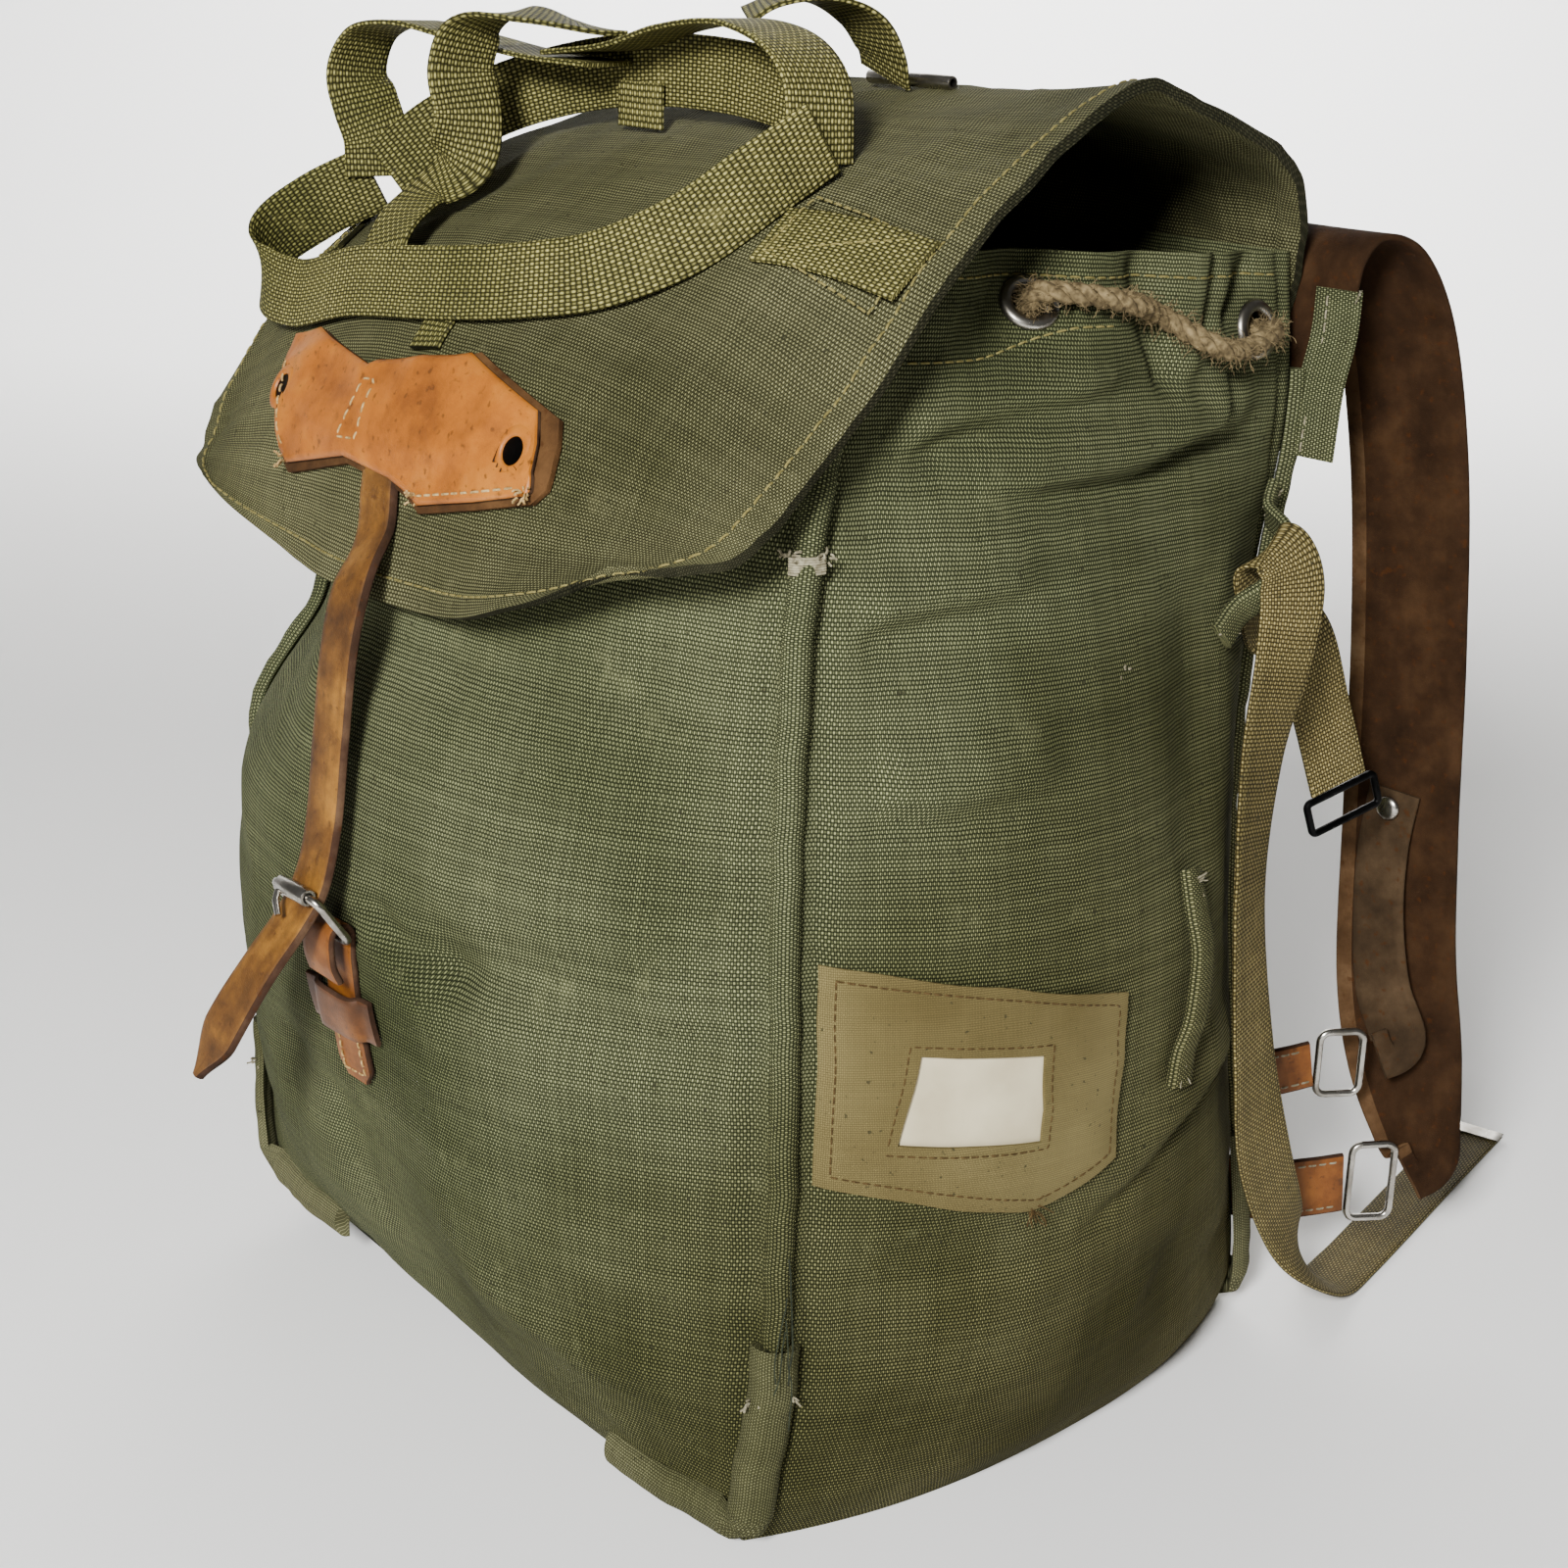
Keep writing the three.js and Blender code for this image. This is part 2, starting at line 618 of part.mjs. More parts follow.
for (const side of [1, -1]) {
  const hand = side > 0 ? "right" : "left";
  for (const isFront of [true, false]) {
    const place = isFront ? "front" : "back";
    if (isFront) {
      const heights = BODY_ROWS.filter((z) => z > BINDING.top && z < SEAM_TOP);
      const rows = [BINDING.top + 1, ...heights, SEAM_TOP].map((z) => seamRow(side, isFront, z));
      addPiece(`seam_front_${hand}`, ridgeGeometry(rows, SEAM, SEAT), FINISH.canvas);
    }
    const standing = [BINDING.top, 72, 45, 26, 15].map((z) => seamRow(side, isFront, z));
    const foot = BINDING_FOOT.map((step) => {
      const u = side * (1 - step.share);
      const at = (isFront ? frontPoint : backPoint)(u, BINDING.footZ);
      const wall = (isFront ? frontNormal : backNormal)(u, BINDING.footZ);
      return { at, out: cornerOut(side, isFront, BINDING.footZ).lerp(wall, step.turned) };
    });
    const binding = ridgeGeometry([...standing, ...foot], BINDING, BINDING.lift);
    addPiece(`binding_${place}_${hand}`, binding, FINISH.binding);
  }
}

// Eyelets in the mouth of the sides, with the walls pierced for them
const EYELET_PLACES = [
  { name: "front", y: 3.4, z: 413 },
  { name: "rear", y: 108, z: 403 },
];
const EYELET = { hole: 5, rim: 9.5, pierced: 6.7 };
const EYELET_PROFILE = [
  { r: EYELET.hole, h: -1.4 },
  { r: EYELET.hole + 0.9, h: -1.4 },
  { r: EYELET.hole + 0.9, h: 1.3 },
  { r: EYELET.rim, h: 1.3 },
  { r: EYELET.rim - 0.8, h: 2.6 },
  { r: EYELET.hole + 0.8, h: 3.2 },
  { r: EYELET.hole, h: 2.4 },
];
const EYELET_SEGMENTS = 9;

// Seat of an eyelet, levelled over its whole rim.
function eyeletSeat(side, place) {
  const reach = EYELET.rim;
  const pointAt = (dy, dz) => sideSeat(side, place.y + dy, place.z + dz).point;
  const along = pointAt(reach, 0).sub(pointAt(-reach, 0));
  const up = pointAt(0, reach).sub(pointAt(0, -reach));
  return { point: pointAt(0, 0), normal: along.cross(up).normalize().multiplyScalar(side) };
}

for (const side of [1, -1]) {
  const hand = side > 0 ? "right" : "left";
  const panel = rucksack.getObjectByName(`side_panel_${hand}`);
  for (const place of EYELET_PLACES) {
    const seat = eyeletSeat(side, place);
    panel.geometry = cut(panel.geometry, punch(seat, EYELET.pierced));
    addPiece(
      `eyelet_${place.name}_${hand}`,
      turnedGeometry(EYELET_PROFILE, EYELET_SEGMENTS, seat.point, seat.normal),
      FINISH.steel,
    );
  }
}

// Drawstring: one loop of jute through the four eyelets, inside the mouth along the front and the back.
const ROPE = { radius: 2.8, sides: 5, steps: 50, sag: 9, inside: 10, outside: 9, hang: 6, low: 1.2 };
const ROPE_INSIDE_BACK = { x: 78, y: 116, z: 404 };
const ROPE_INSIDE_FRONT = { x: 62, y: -36, z: 413 };

function ropeThrough(seat, inwards) {
  const depths = inwards ? [ROPE.outside, 4, -3, -ROPE.inside] : [-ROPE.inside, -3, 4, ROPE.outside];
  return depths.map((depth) => raised(seat, depth).add(vec(0, 0, -ROPE.low)));
}

function ropeSide(side, fromFront) {
  const [frontSeatAt, rearSeatAt] = EYELET_PLACES.map((place) => eyeletSeat(side, place));
  const hang = [0.3, 0.5, 0.7].map((t) => {
    const y = THREE.MathUtils.lerp(EYELET_PLACES[0].y, EYELET_PLACES[1].y, t);
    const z = THREE.MathUtils.lerp(EYELET_PLACES[0].z, EYELET_PLACES[1].z, t);
    return raised(sideSeat(side, y, z - ROPE.sag * Math.sin(Math.PI * t)), ROPE.radius + ROPE.hang);
  });
  const points = [...ropeThrough(frontSeatAt, false), ...hang, ...ropeThrough(rearSeatAt, true)];
  return fromFront ? points : points.toReversed();
}

const ropePath = new THREE.CatmullRomCurve3(
  [
    ...ropeSide(1, true),
    vec(ROPE_INSIDE_BACK.x, ROPE_INSIDE_BACK.y, ROPE_INSIDE_BACK.z),
    vec(-ROPE_INSIDE_BACK.x, ROPE_INSIDE_BACK.y, ROPE_INSIDE_BACK.z),
    ...ropeSide(-1, false),
    vec(-ROPE_INSIDE_FRONT.x, ROPE_INSIDE_FRONT.y, ROPE_INSIDE_FRONT.z),
    vec(ROPE_INSIDE_FRONT.x, ROPE_INSIDE_FRONT.y, ROPE_INSIDE_FRONT.z),
  ],
  true,
  "centripetal",
);
addPiece(
  "drawstring",
  rodGeometry(ropePath.getPoints(ROPE.steps).slice(0, -1), ROPE.radius, ROPE.sides, true),
  FINISH.rope,
);

// Leather yoke on the front of the flap, one row for each station along it
const YOKE_STATIONS = [
  { x: -88, top: 366, bottom: 352 },
  { x: -78, top: 386, bottom: 343 },
  { x: -62, top: 389, bottom: 339 },
  { x: -30, top: 383, bottom: 346 },
  { x: -8, top: 384, bottom: 347 },
  { x: 6, top: 389, bottom: 343 },
  { x: 27, top: 393, bottom: 341 },
  { x: 50, top: 391, bottom: 346 },
  { x: 70, top: 384, bottom: 352 },
  { x: 82, top: 373, bottom: 361 },
];
const YOKE = { backing: 1.4, margin: 2.2, holeRadius: 4.2, rows: 3 };
const YOKE_HOLES = [
  { x: 61, z: 369 },
  { x: -74, z: 364 },
];

function yokeSeats(margin) {
  return range(YOKE.rows, 0, 1).map((t) =>
    YOKE_STATIONS.map((station) => {
      const x = station.x * (1 + margin / 85);
      return flapFrontSeat(x, THREE.MathUtils.lerp(station.bottom - margin, station.top, t));
    }),
  );
}
const yokeLift = SEAT + YOKE.backing + 0.5;
addPiece("yoke_backing", patchGeometry(yokeSeats(YOKE.margin), SEAT, YOKE.backing), FINISH.leather);
addPiece(
  "yoke",
  cut(
    patchGeometry(yokeSeats(0), yokeLift, LEATHER),
    ...YOKE_HOLES.map((hole) => punch(flapFrontSeat(hole.x, hole.z), YOKE.holeRadius)),
  ),
  FINISH.yoke,
);

// Closing strap from under the yoke to the buckle, with its free end sticking out below it
const CLOSING = { width: 20, steps: 26, tip: 0.93, seats: [339.4, 331] };
const CLOSING_ROWS = [
  { x: 1, y: -175, z: 318, nx: 0, ny: -1, nz: 0.2 },
  { x: 1, y: -180.5, z: 300, nx: 0, ny: -1, nz: 0.18 },
  { x: 1.5, y: -186, z: 265, nx: 0, ny: -1, nz: 0.15 },
  { x: 4, y: -191.5, z: 236, nx: 0, ny: -1, nz: 0.1 },
  { x: 6.5, y: -198.4, z: 218, nx: 0, ny: -1, nz: 0.3 },
  { x: 5.5, y: -205.5, z: 206, nx: 0, ny: -1, nz: 0.8 },
  { x: 0, y: -215, z: 190, nx: 0, ny: -1, nz: 0.6 },
  { x: -8, y: -224, z: 170, nx: 0.1, ny: -1, nz: 0.5 },
  { x: -17, y: -232, z: 147, nx: 0.1, ny: -1, nz: 0.5 },
];
const closingTaper = (t) => Math.max(t - CLOSING.tip, 0) / (1 - CLOSING.tip);
const closingWidth = (t) => CLOSING.width * (1 - 0.8 * closingTaper(t));
const closingTop = CLOSING.seats.map((z) => seatedRow(flapFrontSeat(1, z), SEAT + LEATHER / 2));
addPiece(
  "closing_strap",
  bandGeometry([...closingTop, ...bandRows(CLOSING_ROWS)], closingWidth, LEATHER, CLOSING.steps),
  FINISH.leather,
);

// Chape: a tab folded over the buckle's bar and sewn to the front panel, with its keeper
const CHAPE = {
  width: 19,
  foot: 134,
  bend: 186,
  front: 179,
  slant: 8,
  lift: SEAT + LEATHER / 2,
  bendRadius: 4,
  steps: 18,
};
const BUCKLE_BAR = { lift: 6.6, z: 194.5 };
const chapeX = (z) => (CHAPE.slant * (z - CHAPE.foot)) / (BUCKLE_BAR.z - CHAPE.foot);
const chapeSeat = (z) => frontSeat(chapeX(z), z);
const chapeRows = [
  seatedRow(chapeSeat(CHAPE.foot), CHAPE.lift),
  seatedRow(chapeSeat(160), CHAPE.lift),
  seatedRow(chapeSeat(CHAPE.bend), CHAPE.lift),
  ...[40, 90, 140].map((degrees) => {
    const angle = THREE.MathUtils.degToRad(degrees);
    const seat = chapeSeat(BUCKLE_BAR.z);
    const at = raised(seat, BUCKLE_BAR.lift - CHAPE.bendRadius * Math.cos(angle));
    at.z += CHAPE.bendRadius * Math.sin(angle);
    return { at, face: vec(0, Math.cos(angle), Math.sin(angle)).negate() };
  }),
  ...[CHAPE.bend, CHAPE.front].map((z) => {
    const seat = chapeSeat(z);
    const slope = (CHAPE.bend - z) / 3;
    const at = raised(seat, BUCKLE_BAR.lift + CHAPE.bendRadius - 0.6 - slope);
    return { at, face: seat.normal.clone().negate() };
  }),
];
addPiece("buckle_chape", bandGeometry(chapeRows, CHAPE.width, LEATHER, CHAPE.steps), FINISH.yoke);

// Keeper of the chape: a short leather band across it, sewn to the panel at both sides
const KEEPER = { width: 18, z: 164, reach: 14, rise: 6.2 };
const keeperSeat = (x) => frontSeat(x + chapeX(KEEPER.z), KEEPER.z);
const keeperRows = [
  { x: -KEEPER.reach - 5, lift: SEAT + 1.6 },
  { x: -KEEPER.reach + 1, lift: SEAT + 2.4 },
  { x: -KEEPER.reach + 3.5, lift: KEEPER.rise - 0.8 },
  { x: 0, lift: KEEPER.rise },
  { x: KEEPER.reach - 3.5, lift: KEEPER.rise - 0.8 },
  { x: KEEPER.reach - 1, lift: SEAT + 2.4 },
  { x: KEEPER.reach + 5, lift: SEAT + 1.6 },
].map((row) => seatedRow(keeperSeat(row.x), row.lift));
addPiece("chape_keeper", bandGeometry(keeperRows, KEEPER.width, 2, 12), FINISH.yoke);

// Closing buckle: a wire frame held by the chape, its roller and a stub prong
const WIRE = 1.5;
const BUCKLE = { width: 28, height: 22, corner: 4, tilt: 0.62 };
const barAt = raised(chapeSeat(BUCKLE_BAR.z), BUCKLE_BAR.lift);
const buckleUp = vec(0, -Math.sin(BUCKLE.tilt), Math.cos(BUCKLE.tilt));
const buckleCentre = barAt.clone().addScaledVector(buckleUp, BUCKLE.height / 2);
const buckleLoop = wireLoop(buckleCentre, vec(1, 0, 0), buckleUp, BUCKLE.width, BUCKLE.height, BUCKLE.corner);
addPiece("closing_buckle", rodGeometry(buckleLoop, WIRE, 5, true), FINISH.steel);
const ROLLER = { bore: WIRE + 0.4, radius: 3, half: 9 };
const ROLLER_PROFILE = [
  { r: ROLLER.bore, h: -ROLLER.half },
  { r: ROLLER.radius, h: -ROLLER.half },
  { r: ROLLER.radius, h: ROLLER.half },
  { r: ROLLER.bore, h: ROLLER.half },
];
const rollerAt = barAt.clone().addScaledVector(buckleUp, BUCKLE.height);
addPiece("closing_roller", turnedGeometry(ROLLER_PROFILE, 10, rollerAt, vec(1, 0, 0)), FINISH.steel);

// Web harness on the flap. Standing bands rest their lower edge on the flap, lifted by the given height.
const HARNESS_LEAN = 0.3;
function standingRow(row) {
  const seat = flapSeat(row.x, row.y);
  const up = vec(0, HARNESS_LEAN * Math.max(-row.ny, 0), 1).normalize();
  const at = raised(seat, row.lift).addScaledVector(up, WEB_WIDTH / 2);
  const face = vec(row.nx, row.ny, 0);
  return { at, face: face.addScaledVector(up, -face.dot(up)).normalize() };
}
const RING_FRONT = [
  { x: -127, y: -80, lift: 3.4, nx: -0.75, ny: 0.65 },
  { x: -141, y: -93, lift: 8, nx: -0.85, ny: 0.5 },
  { x: -146, y: -106, lift: 11, nx: -1, ny: -0.1 },
  { x: -138, y: -117, lift: 10, nx: -0.6, ny: -0.8 },
  { x: -112, y: -127, lift: 5, nx: -0.25, ny: -1 },
  { x: -64, y: -132, lift: 3.8, nx: -0.05, ny: -1 },
  { x: -10, y: -132.5, lift: 3.9, nx: 0, ny: -1 },
  { x: 30, y: -127, lift: 3.6, nx: 0.15, ny: -1 },
  { x: 58, y: -117, lift: 3, nx: 0.4, ny: -0.9 },
  { x: 78, y: -97, lift: 3, nx: 0.75, ny: -0.65 },
  { x: 90, y: -74, lift: 3.2, nx: 0.92, ny: -0.4 },
  { x: 96, y: -54, lift: 4, nx: 0.98, ny: -0.2 },
];
const RING_BACK = [
  { x: -119, y: -79, lift: 4, nx: -0.6, ny: 0.8 },
  { x: -104, y: -62, lift: 6, nx: -0.6, ny: 0.8 },
  { x: -80, y: -48, lift: 7, nx: -0.35, ny: 0.95 },
  { x: -45, y: -37, lift: 8, nx: -0.2, ny: 1 },
  { x: -10, y: -34, lift: 8, nx: 0, ny: 1 },
  { x: 30, y: -33, lift: 7, nx: 0, ny: 1 },
  { x: 62, y: -36, lift: 5, nx: 0.15, ny: 1 },
  { x: 82, y: -41, lift: 4.5, nx: 0.3, ny: 0.95 },
];
const ringBand = (table, steps) => bandGeometry(table.map(standingRow), WEB_WIDTH, WEBBING, steps);
addPiece("harness_front_band", ringBand(RING_FRONT, 30), FINISH.webbing);
addPiece("harness_back_band", ringBand(RING_BACK, 18), FINISH.webbing);

// Slack straps that rise from the ring and cross above the flap
const LEFT_ARCH = [
  { x: -124.6, y: -81.9, z: 436, nx: -0.75, ny: 0.65, nz: 0 },
  { x: -125.6, y: -82, z: 450, nx: -0.75, ny: 0.65, nz: 0.1 },
  { x: -134, y: -81, z: 462, nx: -0.85, ny: 0.4, nz: 0.2 },
  { x: -141, y: -80, z: 474, nx: -0.95, ny: 0.1, nz: 0.3 },
  { x: -134, y: -78, z: 487, nx: -0.6, ny: 0, nz: 0.8 },
  { x: -115, y: -74, z: 492, nx: -0.1, ny: 0, nz: 1 },
  { x: -85, y: -65, z: 488, nx: 0.05, ny: 0, nz: 1 },
  { x: -55, y: -57, z: 483.5, nx: 0, ny: 0, nz: 1 },
  { x: -22, y: -52, z: 482, nx: 0, ny: 0, nz: 1 },
];
const RIGHT_ARCH = [
  { x: 91.4, y: -52.8, z: 457, nx: 0.98, ny: -0.2, nz: 0 },
  { x: 91, y: -52.7, z: 468, nx: 0.98, ny: -0.2, nz: 0.1 },
  { x: 87, y: -51, z: 482, nx: 0.9, ny: -0.2, nz: 0.4 },
  { x: 72, y: -48, z: 493, nx: 0.5, ny: -0.1, nz: 0.85 },
  { x: 45, y: -47, z: 499, nx: 0.1, ny: 0, nz: 1 },
  { x: 15, y: -49, z: 496, nx: -0.15, ny: 0, nz: 1 },
  { x: -10, y: -52, z: 489, nx: -0.2, ny: 0, nz: 1 },
  { x: -42, y: -55, z: 485.2, nx: 0, ny: 0, nz: 1 },
];
const FRONT_ARCH = [
  { x: -60, y: -125.4, z: 404.4, nx: 0, ny: -1, nz: 0.3 },
  { x: -60.5, y: -121.2, z: 418, nx: 0, ny: -0.95, nz: 0.35 },
  { x: -65, y: -109, z: 430, nx: 0, ny: -0.6, nz: 0.8 },
  { x: -66, y: -97, z: 437, nx: 0.1, ny: -0.6, nz: 0.8 },
  { x: -59, y: -90, z: 446, nx: 0.5, ny: -0.6, nz: 0.6 },
  { x: -57, y: -87, z: 462, nx: 0.95, ny: -0.3, nz: 0.1 },
  { x: -61, y: -87, z: 480, nx: 0.9, ny: -0.2, nz: -0.4 },
  { x: -54, y: -84, z: 494, nx: 0.2, ny: -0.2, nz: -1 },
  { x: -40, y: -74, z: 498, nx: -0.2, ny: 0, nz: -1 },
  { x: -28, y: -60, z: 494.5, nx: -0.2, ny: -0.2, nz: -1 },
  { x: -24, y: -47, z: 492.4, nx: 0, ny: -0.1, nz: -1 },
];
const FAR_ARCH = [
  { x: 24, y: -27.9, z: 500, nx: 0, ny: -0.3, nz: 1 },
  { x: 30, y: -20, z: 505, nx: 0, ny: -0.1, nz: 1 },
  { x: 38, y: -4, z: 505.5, nx: 0, ny: 0.2, nz: 1 },
  { x: 42, y: 10, z: 499, nx: 0, ny: 0.7, nz: 0.7 },
  { x: 41, y: 20, z: 488, nx: 0, ny: 0.95, nz: 0.3 },
  { x: 38, y: 25.5, z: 480.4, nx: 0, ny: 1, nz: 0.2 },
];
for (const [name, table, steps] of [
  ["harness_left_arch", LEFT_ARCH, 18],
  ["harness_right_arch", RIGHT_ARCH, 16],
  ["harness_front_arch", FRONT_ARCH, 22],
  ["harness_far_arch", FAR_ARCH, 12],
]) {
  addPiece(name, bandGeometry(bandRows(table), WEB_WIDTH, WEBBING, steps), FINISH.webbing);
}

// Anchors of the harness, sewn flat on the flap or standing on it
const ANCHOR_LIFT = SEAT + WEBBING / 2;
const flatAnchor = (places) => places.map((place) => seatedRow(flapSeat(place.x, place.y), ANCHOR_LIFT));
const ANCHORS = [
  {
    name: "front",
    width: 16,
    places: [
      { x: -7, y: -138.2 },
      { x: -8, y: -134 },
      { x: -8, y: -126 },
    ],
  },
  {
    name: "right",
    width: WEB_WIDTH,
    places: [
      { x: 97, y: -76 },
      { x: 112, y: -73 },
      { x: 132, y: -70 },
      { x: 154, y: -68 },
    ],
  },
  {
    name: "left",
    width: WEB_WIDTH,
    places: [
      { x: -133.5, y: -84 },
      { x: -145, y: -83 },
      { x: -157, y: -82 },
    ],
  },
];
for (const anchor of ANCHORS) {
  const band = bandGeometry(flatAnchor(anchor.places), anchor.width, WEBBING, 5);
  addPiece(`harness_anchor_${anchor.name}`, band, FINISH.webbing);
}
const REAR_ANCHOR = { x: -18, y: -40.1, top: 484 };
const rearAnchorFoot = flapSeat(REAR_ANCHOR.x, REAR_ANCHOR.y).point.z + SEAT + 2;
addPiece(
  "harness_anchor_rear",
  bandGeometry(
    range(2, rearAnchorFoot, REAR_ANCHOR.top - 8).map((z) => ({
      at: vec(REAR_ANCHOR.x, REAR_ANCHOR.y, z),
      face: vec(0, -1, 0),
    })),
    WEB_WIDTH,
    WEBBING,
    2,
  ),
  FINISH.webbing,
);

// Steel bar beside the far end of the harness
const REAR_BAR = { radius: 2.5, x: 44, y: 32.5, half: 21, sides: 8 };
const rearBarSeat = flapSeat(REAR_BAR.x, REAR_BAR.y);
addPiece(
  "harness_bar",
  rodGeometry(
    [-REAR_BAR.half, REAR_BAR.half].map((x) => raised(rearBarSeat, REAR_BAR.radius + SEAT).add(vec(x, 0, 0))),
    REAR_BAR.radius,
    REAR_BAR.sides,
    false,
  ),
  FINISH.steel,
);

// Canvas tube loops on the sides
const LOOP = { width: 12, thickness: 4, flat: 3.2, foot: 0.55 };
const HELD_LOOP_RISE = 12.5;
const LOOP_PLACES = [
  { name: "upper", y0: 112, z0: 342, y1: 72, z1: 304 },
  { name: "lower", y0: 29, z0: 222, y1: 22, z1: 160 },
];
const LOOP_RISE = [
  { t: -0.1, rise: 0 },
  { t: 0.1, rise: 0.2 },
  { t: 0.3, rise: 0.95 },
  { t: 0.5, rise: 1 },
  { t: 0.7, rise: 0.95 },
  { t: 0.9, rise: 0.2 },
  { t: 1.1, rise: 0 },
];
for (const side of [1, -1]) {
  for (const place of LOOP_PLACES) {
    const rise = side > 0 && place.name === "upper" ? HELD_LOOP_RISE : LOOP.flat;
    const rows = LOOP_RISE.map((row) => {
      const y = THREE.MathUtils.lerp(place.y0, place.y1, row.t);
      const z = THREE.MathUtils.lerp(place.z0, place.z1, row.t);
      return seatedRow(sideSeat(side, y, z), LOOP.foot + LOOP.thickness / 2 + row.rise * rise);
    });
    addPiece(
      `loop_${place.name}_${side > 0 ? "right" : "left"}`,
      bandGeometry(rows, LOOP.width, LOOP.thickness, 10),
      FINISH.canvas,
    );
  }
}

// Side strap: webbing hung over the upper right loop, its long end lying on the floor behind the bag
const sideRow = (y, z, lift, towards) => {
  const seat = sideSeat(1, y, z);
  return { at: raised(seat, lift), face: seat.normal.clone().multiplyScalar(towards) };
};
const FLOOR_STRAP = WEBBING / 2 + 0.3;
const SHORT_END = [
  { x: 169, y: 153, z: 226, nx: 0.8, ny: -0.6, nz: 0 },
  { x: 165, y: 143, z: 256, nx: 0.8, ny: -0.5, nz: 0 },
  { x: 163, y: 128, z: 288, nx: 0.9, ny: -0.3, nz: 0 },
];
const LONG_END = [
  { x: 193, y: 84, z: 140, nx: -1, ny: 0, nz: 0 },
  { x: 190, y: 100, z: 95, nx: -1, ny: -0.1, nz: 0 },
  { x: 184, y: 128, z: 50, nx: -0.8, ny: -0.3, nz: -0.4 },
  { x: 177, y: 156, z: 18, nx: -0.4, ny: -0.2, nz: -0.9 },
  { x: 172, y: 176, z: 3.5, nx: -0.05, ny: -0.1, nz: -1 },
  { x: 166, y: 200, z: FLOOR_STRAP, nx: 0, ny: 0, nz: -1 },
  { x: 158, y: 232, z: FLOOR_STRAP, nx: 0, ny: 0, nz: -1 },
  { x: 143, y: 290, z: FLOOR_STRAP, nx: 0, ny: 0, nz: -1 },
  { x: 128, y: 350, z: FLOOR_STRAP, nx: 0, ny: 0, nz: -1 },
];
const foldTop = sideSeat(1, 84, 347);
const sideStrapRows = [
  ...bandRows(SHORT_END),
  sideRow(106, 304, 7, 1),
  sideRow(95, 318, 7, 1),
  sideRow(89, 331, 8, 1),
  sideRow(86, 341, 10, 1),
  { at: raised(foldTop, 16), face: vec(-0.2, 0.2, -0.9) },
  sideRow(84, 341, 22, -1),
  sideRow(84, 325, 22.5, -1),
  sideRow(81, 300, 19, -1),
  sideRow(77, 262, 11, -1),
  sideRow(72, 205, 8, -1),
  ...bandRows(LONG_END),
];
addPiece("side_strap", bandGeometry(sideStrapRows, WEB_WIDTH, WEBBING, 44), FINISH.webbing);

// Metal tip folded over the end of the tail
const STRAP_TIP = { length: 9, thickness: 0.6, width: WEB_WIDTH + 1 };
const tailEnd = LONG_END[LONG_END.length - 1];
const tipRows = [0, STRAP_TIP.length].map((along) => ({
  at: vec(tailEnd.x + 0.242 * along, tailEnd.y - 0.97 * along, WEBBING + 1 + STRAP_TIP.thickness / 2),
  face: vec(0, 0, 1),
}));
addPiece("strap_tip", bandGeometry(tipRows, STRAP_TIP.width, STRAP_TIP.thickness, 1), FINISH.steel);

// Black ladder buckle on the short end of the side strap
const LADDER = { width: 31, height: 13, corner: 2 };
const ladderUp = vec(-0.12, -0.3, 0.95).normalize();
const ladderAcross = ladderUp.clone().cross(vec(0.8, -0.6, 0)).normalize();
const ladderAt = bandRows(SHORT_END)[0].at.addScaledVector(ladderUp, -LADDER.height / 2 - 2.2);
const ladderLoop = wireLoop(ladderAt, ladderAcross, ladderUp, LADDER.width, LADDER.height, LADDER.corner);
addPiece(
  "side_buckle",
  rodGeometry(ladderLoop, WIRE, 5, true),
  FINISH.blackSteel,
);

// Label pocket with a window and the blank card in it, on the right side
const LABEL_STATIONS = [
  { y: -111, top: 217, bottom: 141 },
  { y: -98, top: 215, bottom: 138 },
  { y: -85, top: 212, bottom: 135 },
  { y: -71, top: 209, bottom: 131 },
  { y: -57, top: 207, bottom: 128 },
  { y: -43, top: 203, bottom: 125 },
  { y: -27, top: 200, bottom: 129 },
  { y: -10, top: 197, bottom: 136 },
];
const LABEL = { card: 0.8, cloth: 1.2, rows: 4 };
const WINDOW = { y0: -91, y1: -45, z0: 156, z1: 187, slope: -0.1 };
const CARD_MARGIN = 5;

function labelSeats(stations, rows) {
  return range(rows, 0, 1).map((t) =>
    stations.map((station) => sideSeat(1, station.y, THREE.MathUtils.lerp(station.bottom, station.top, t))),
  );
}

// The four corners of the window, grown by a margin.
function windowStations(margin, count) {
  return range(count, WINDOW.y0 - margin, WINDOW.y1 + margin).map((y) => {
    const drop = WINDOW.slope * (y - WINDOW.y0);
    return { y, top: WINDOW.z1 + margin + drop, bottom: WINDOW.z0 - margin + drop };
  });
}
const windowTool = patchGeometry(labelSeats(windowStations(0, 4), 2), -4, 14);
const pocketLift = SEAT + LABEL.card + 0.5;
addPiece(
  "label_pocket",
  cut(patchGeometry(labelSeats(LABEL_STATIONS, LABEL.rows), pocketLift, LABEL.cloth), windowTool),
  FINISH.twill,
);
const cardSeats = labelSeats(windowStations(CARD_MARGIN, 4), 2);
addPiece("label_card", patchGeometry(cardSeats, SEAT, LABEL.card), FINISH.card);

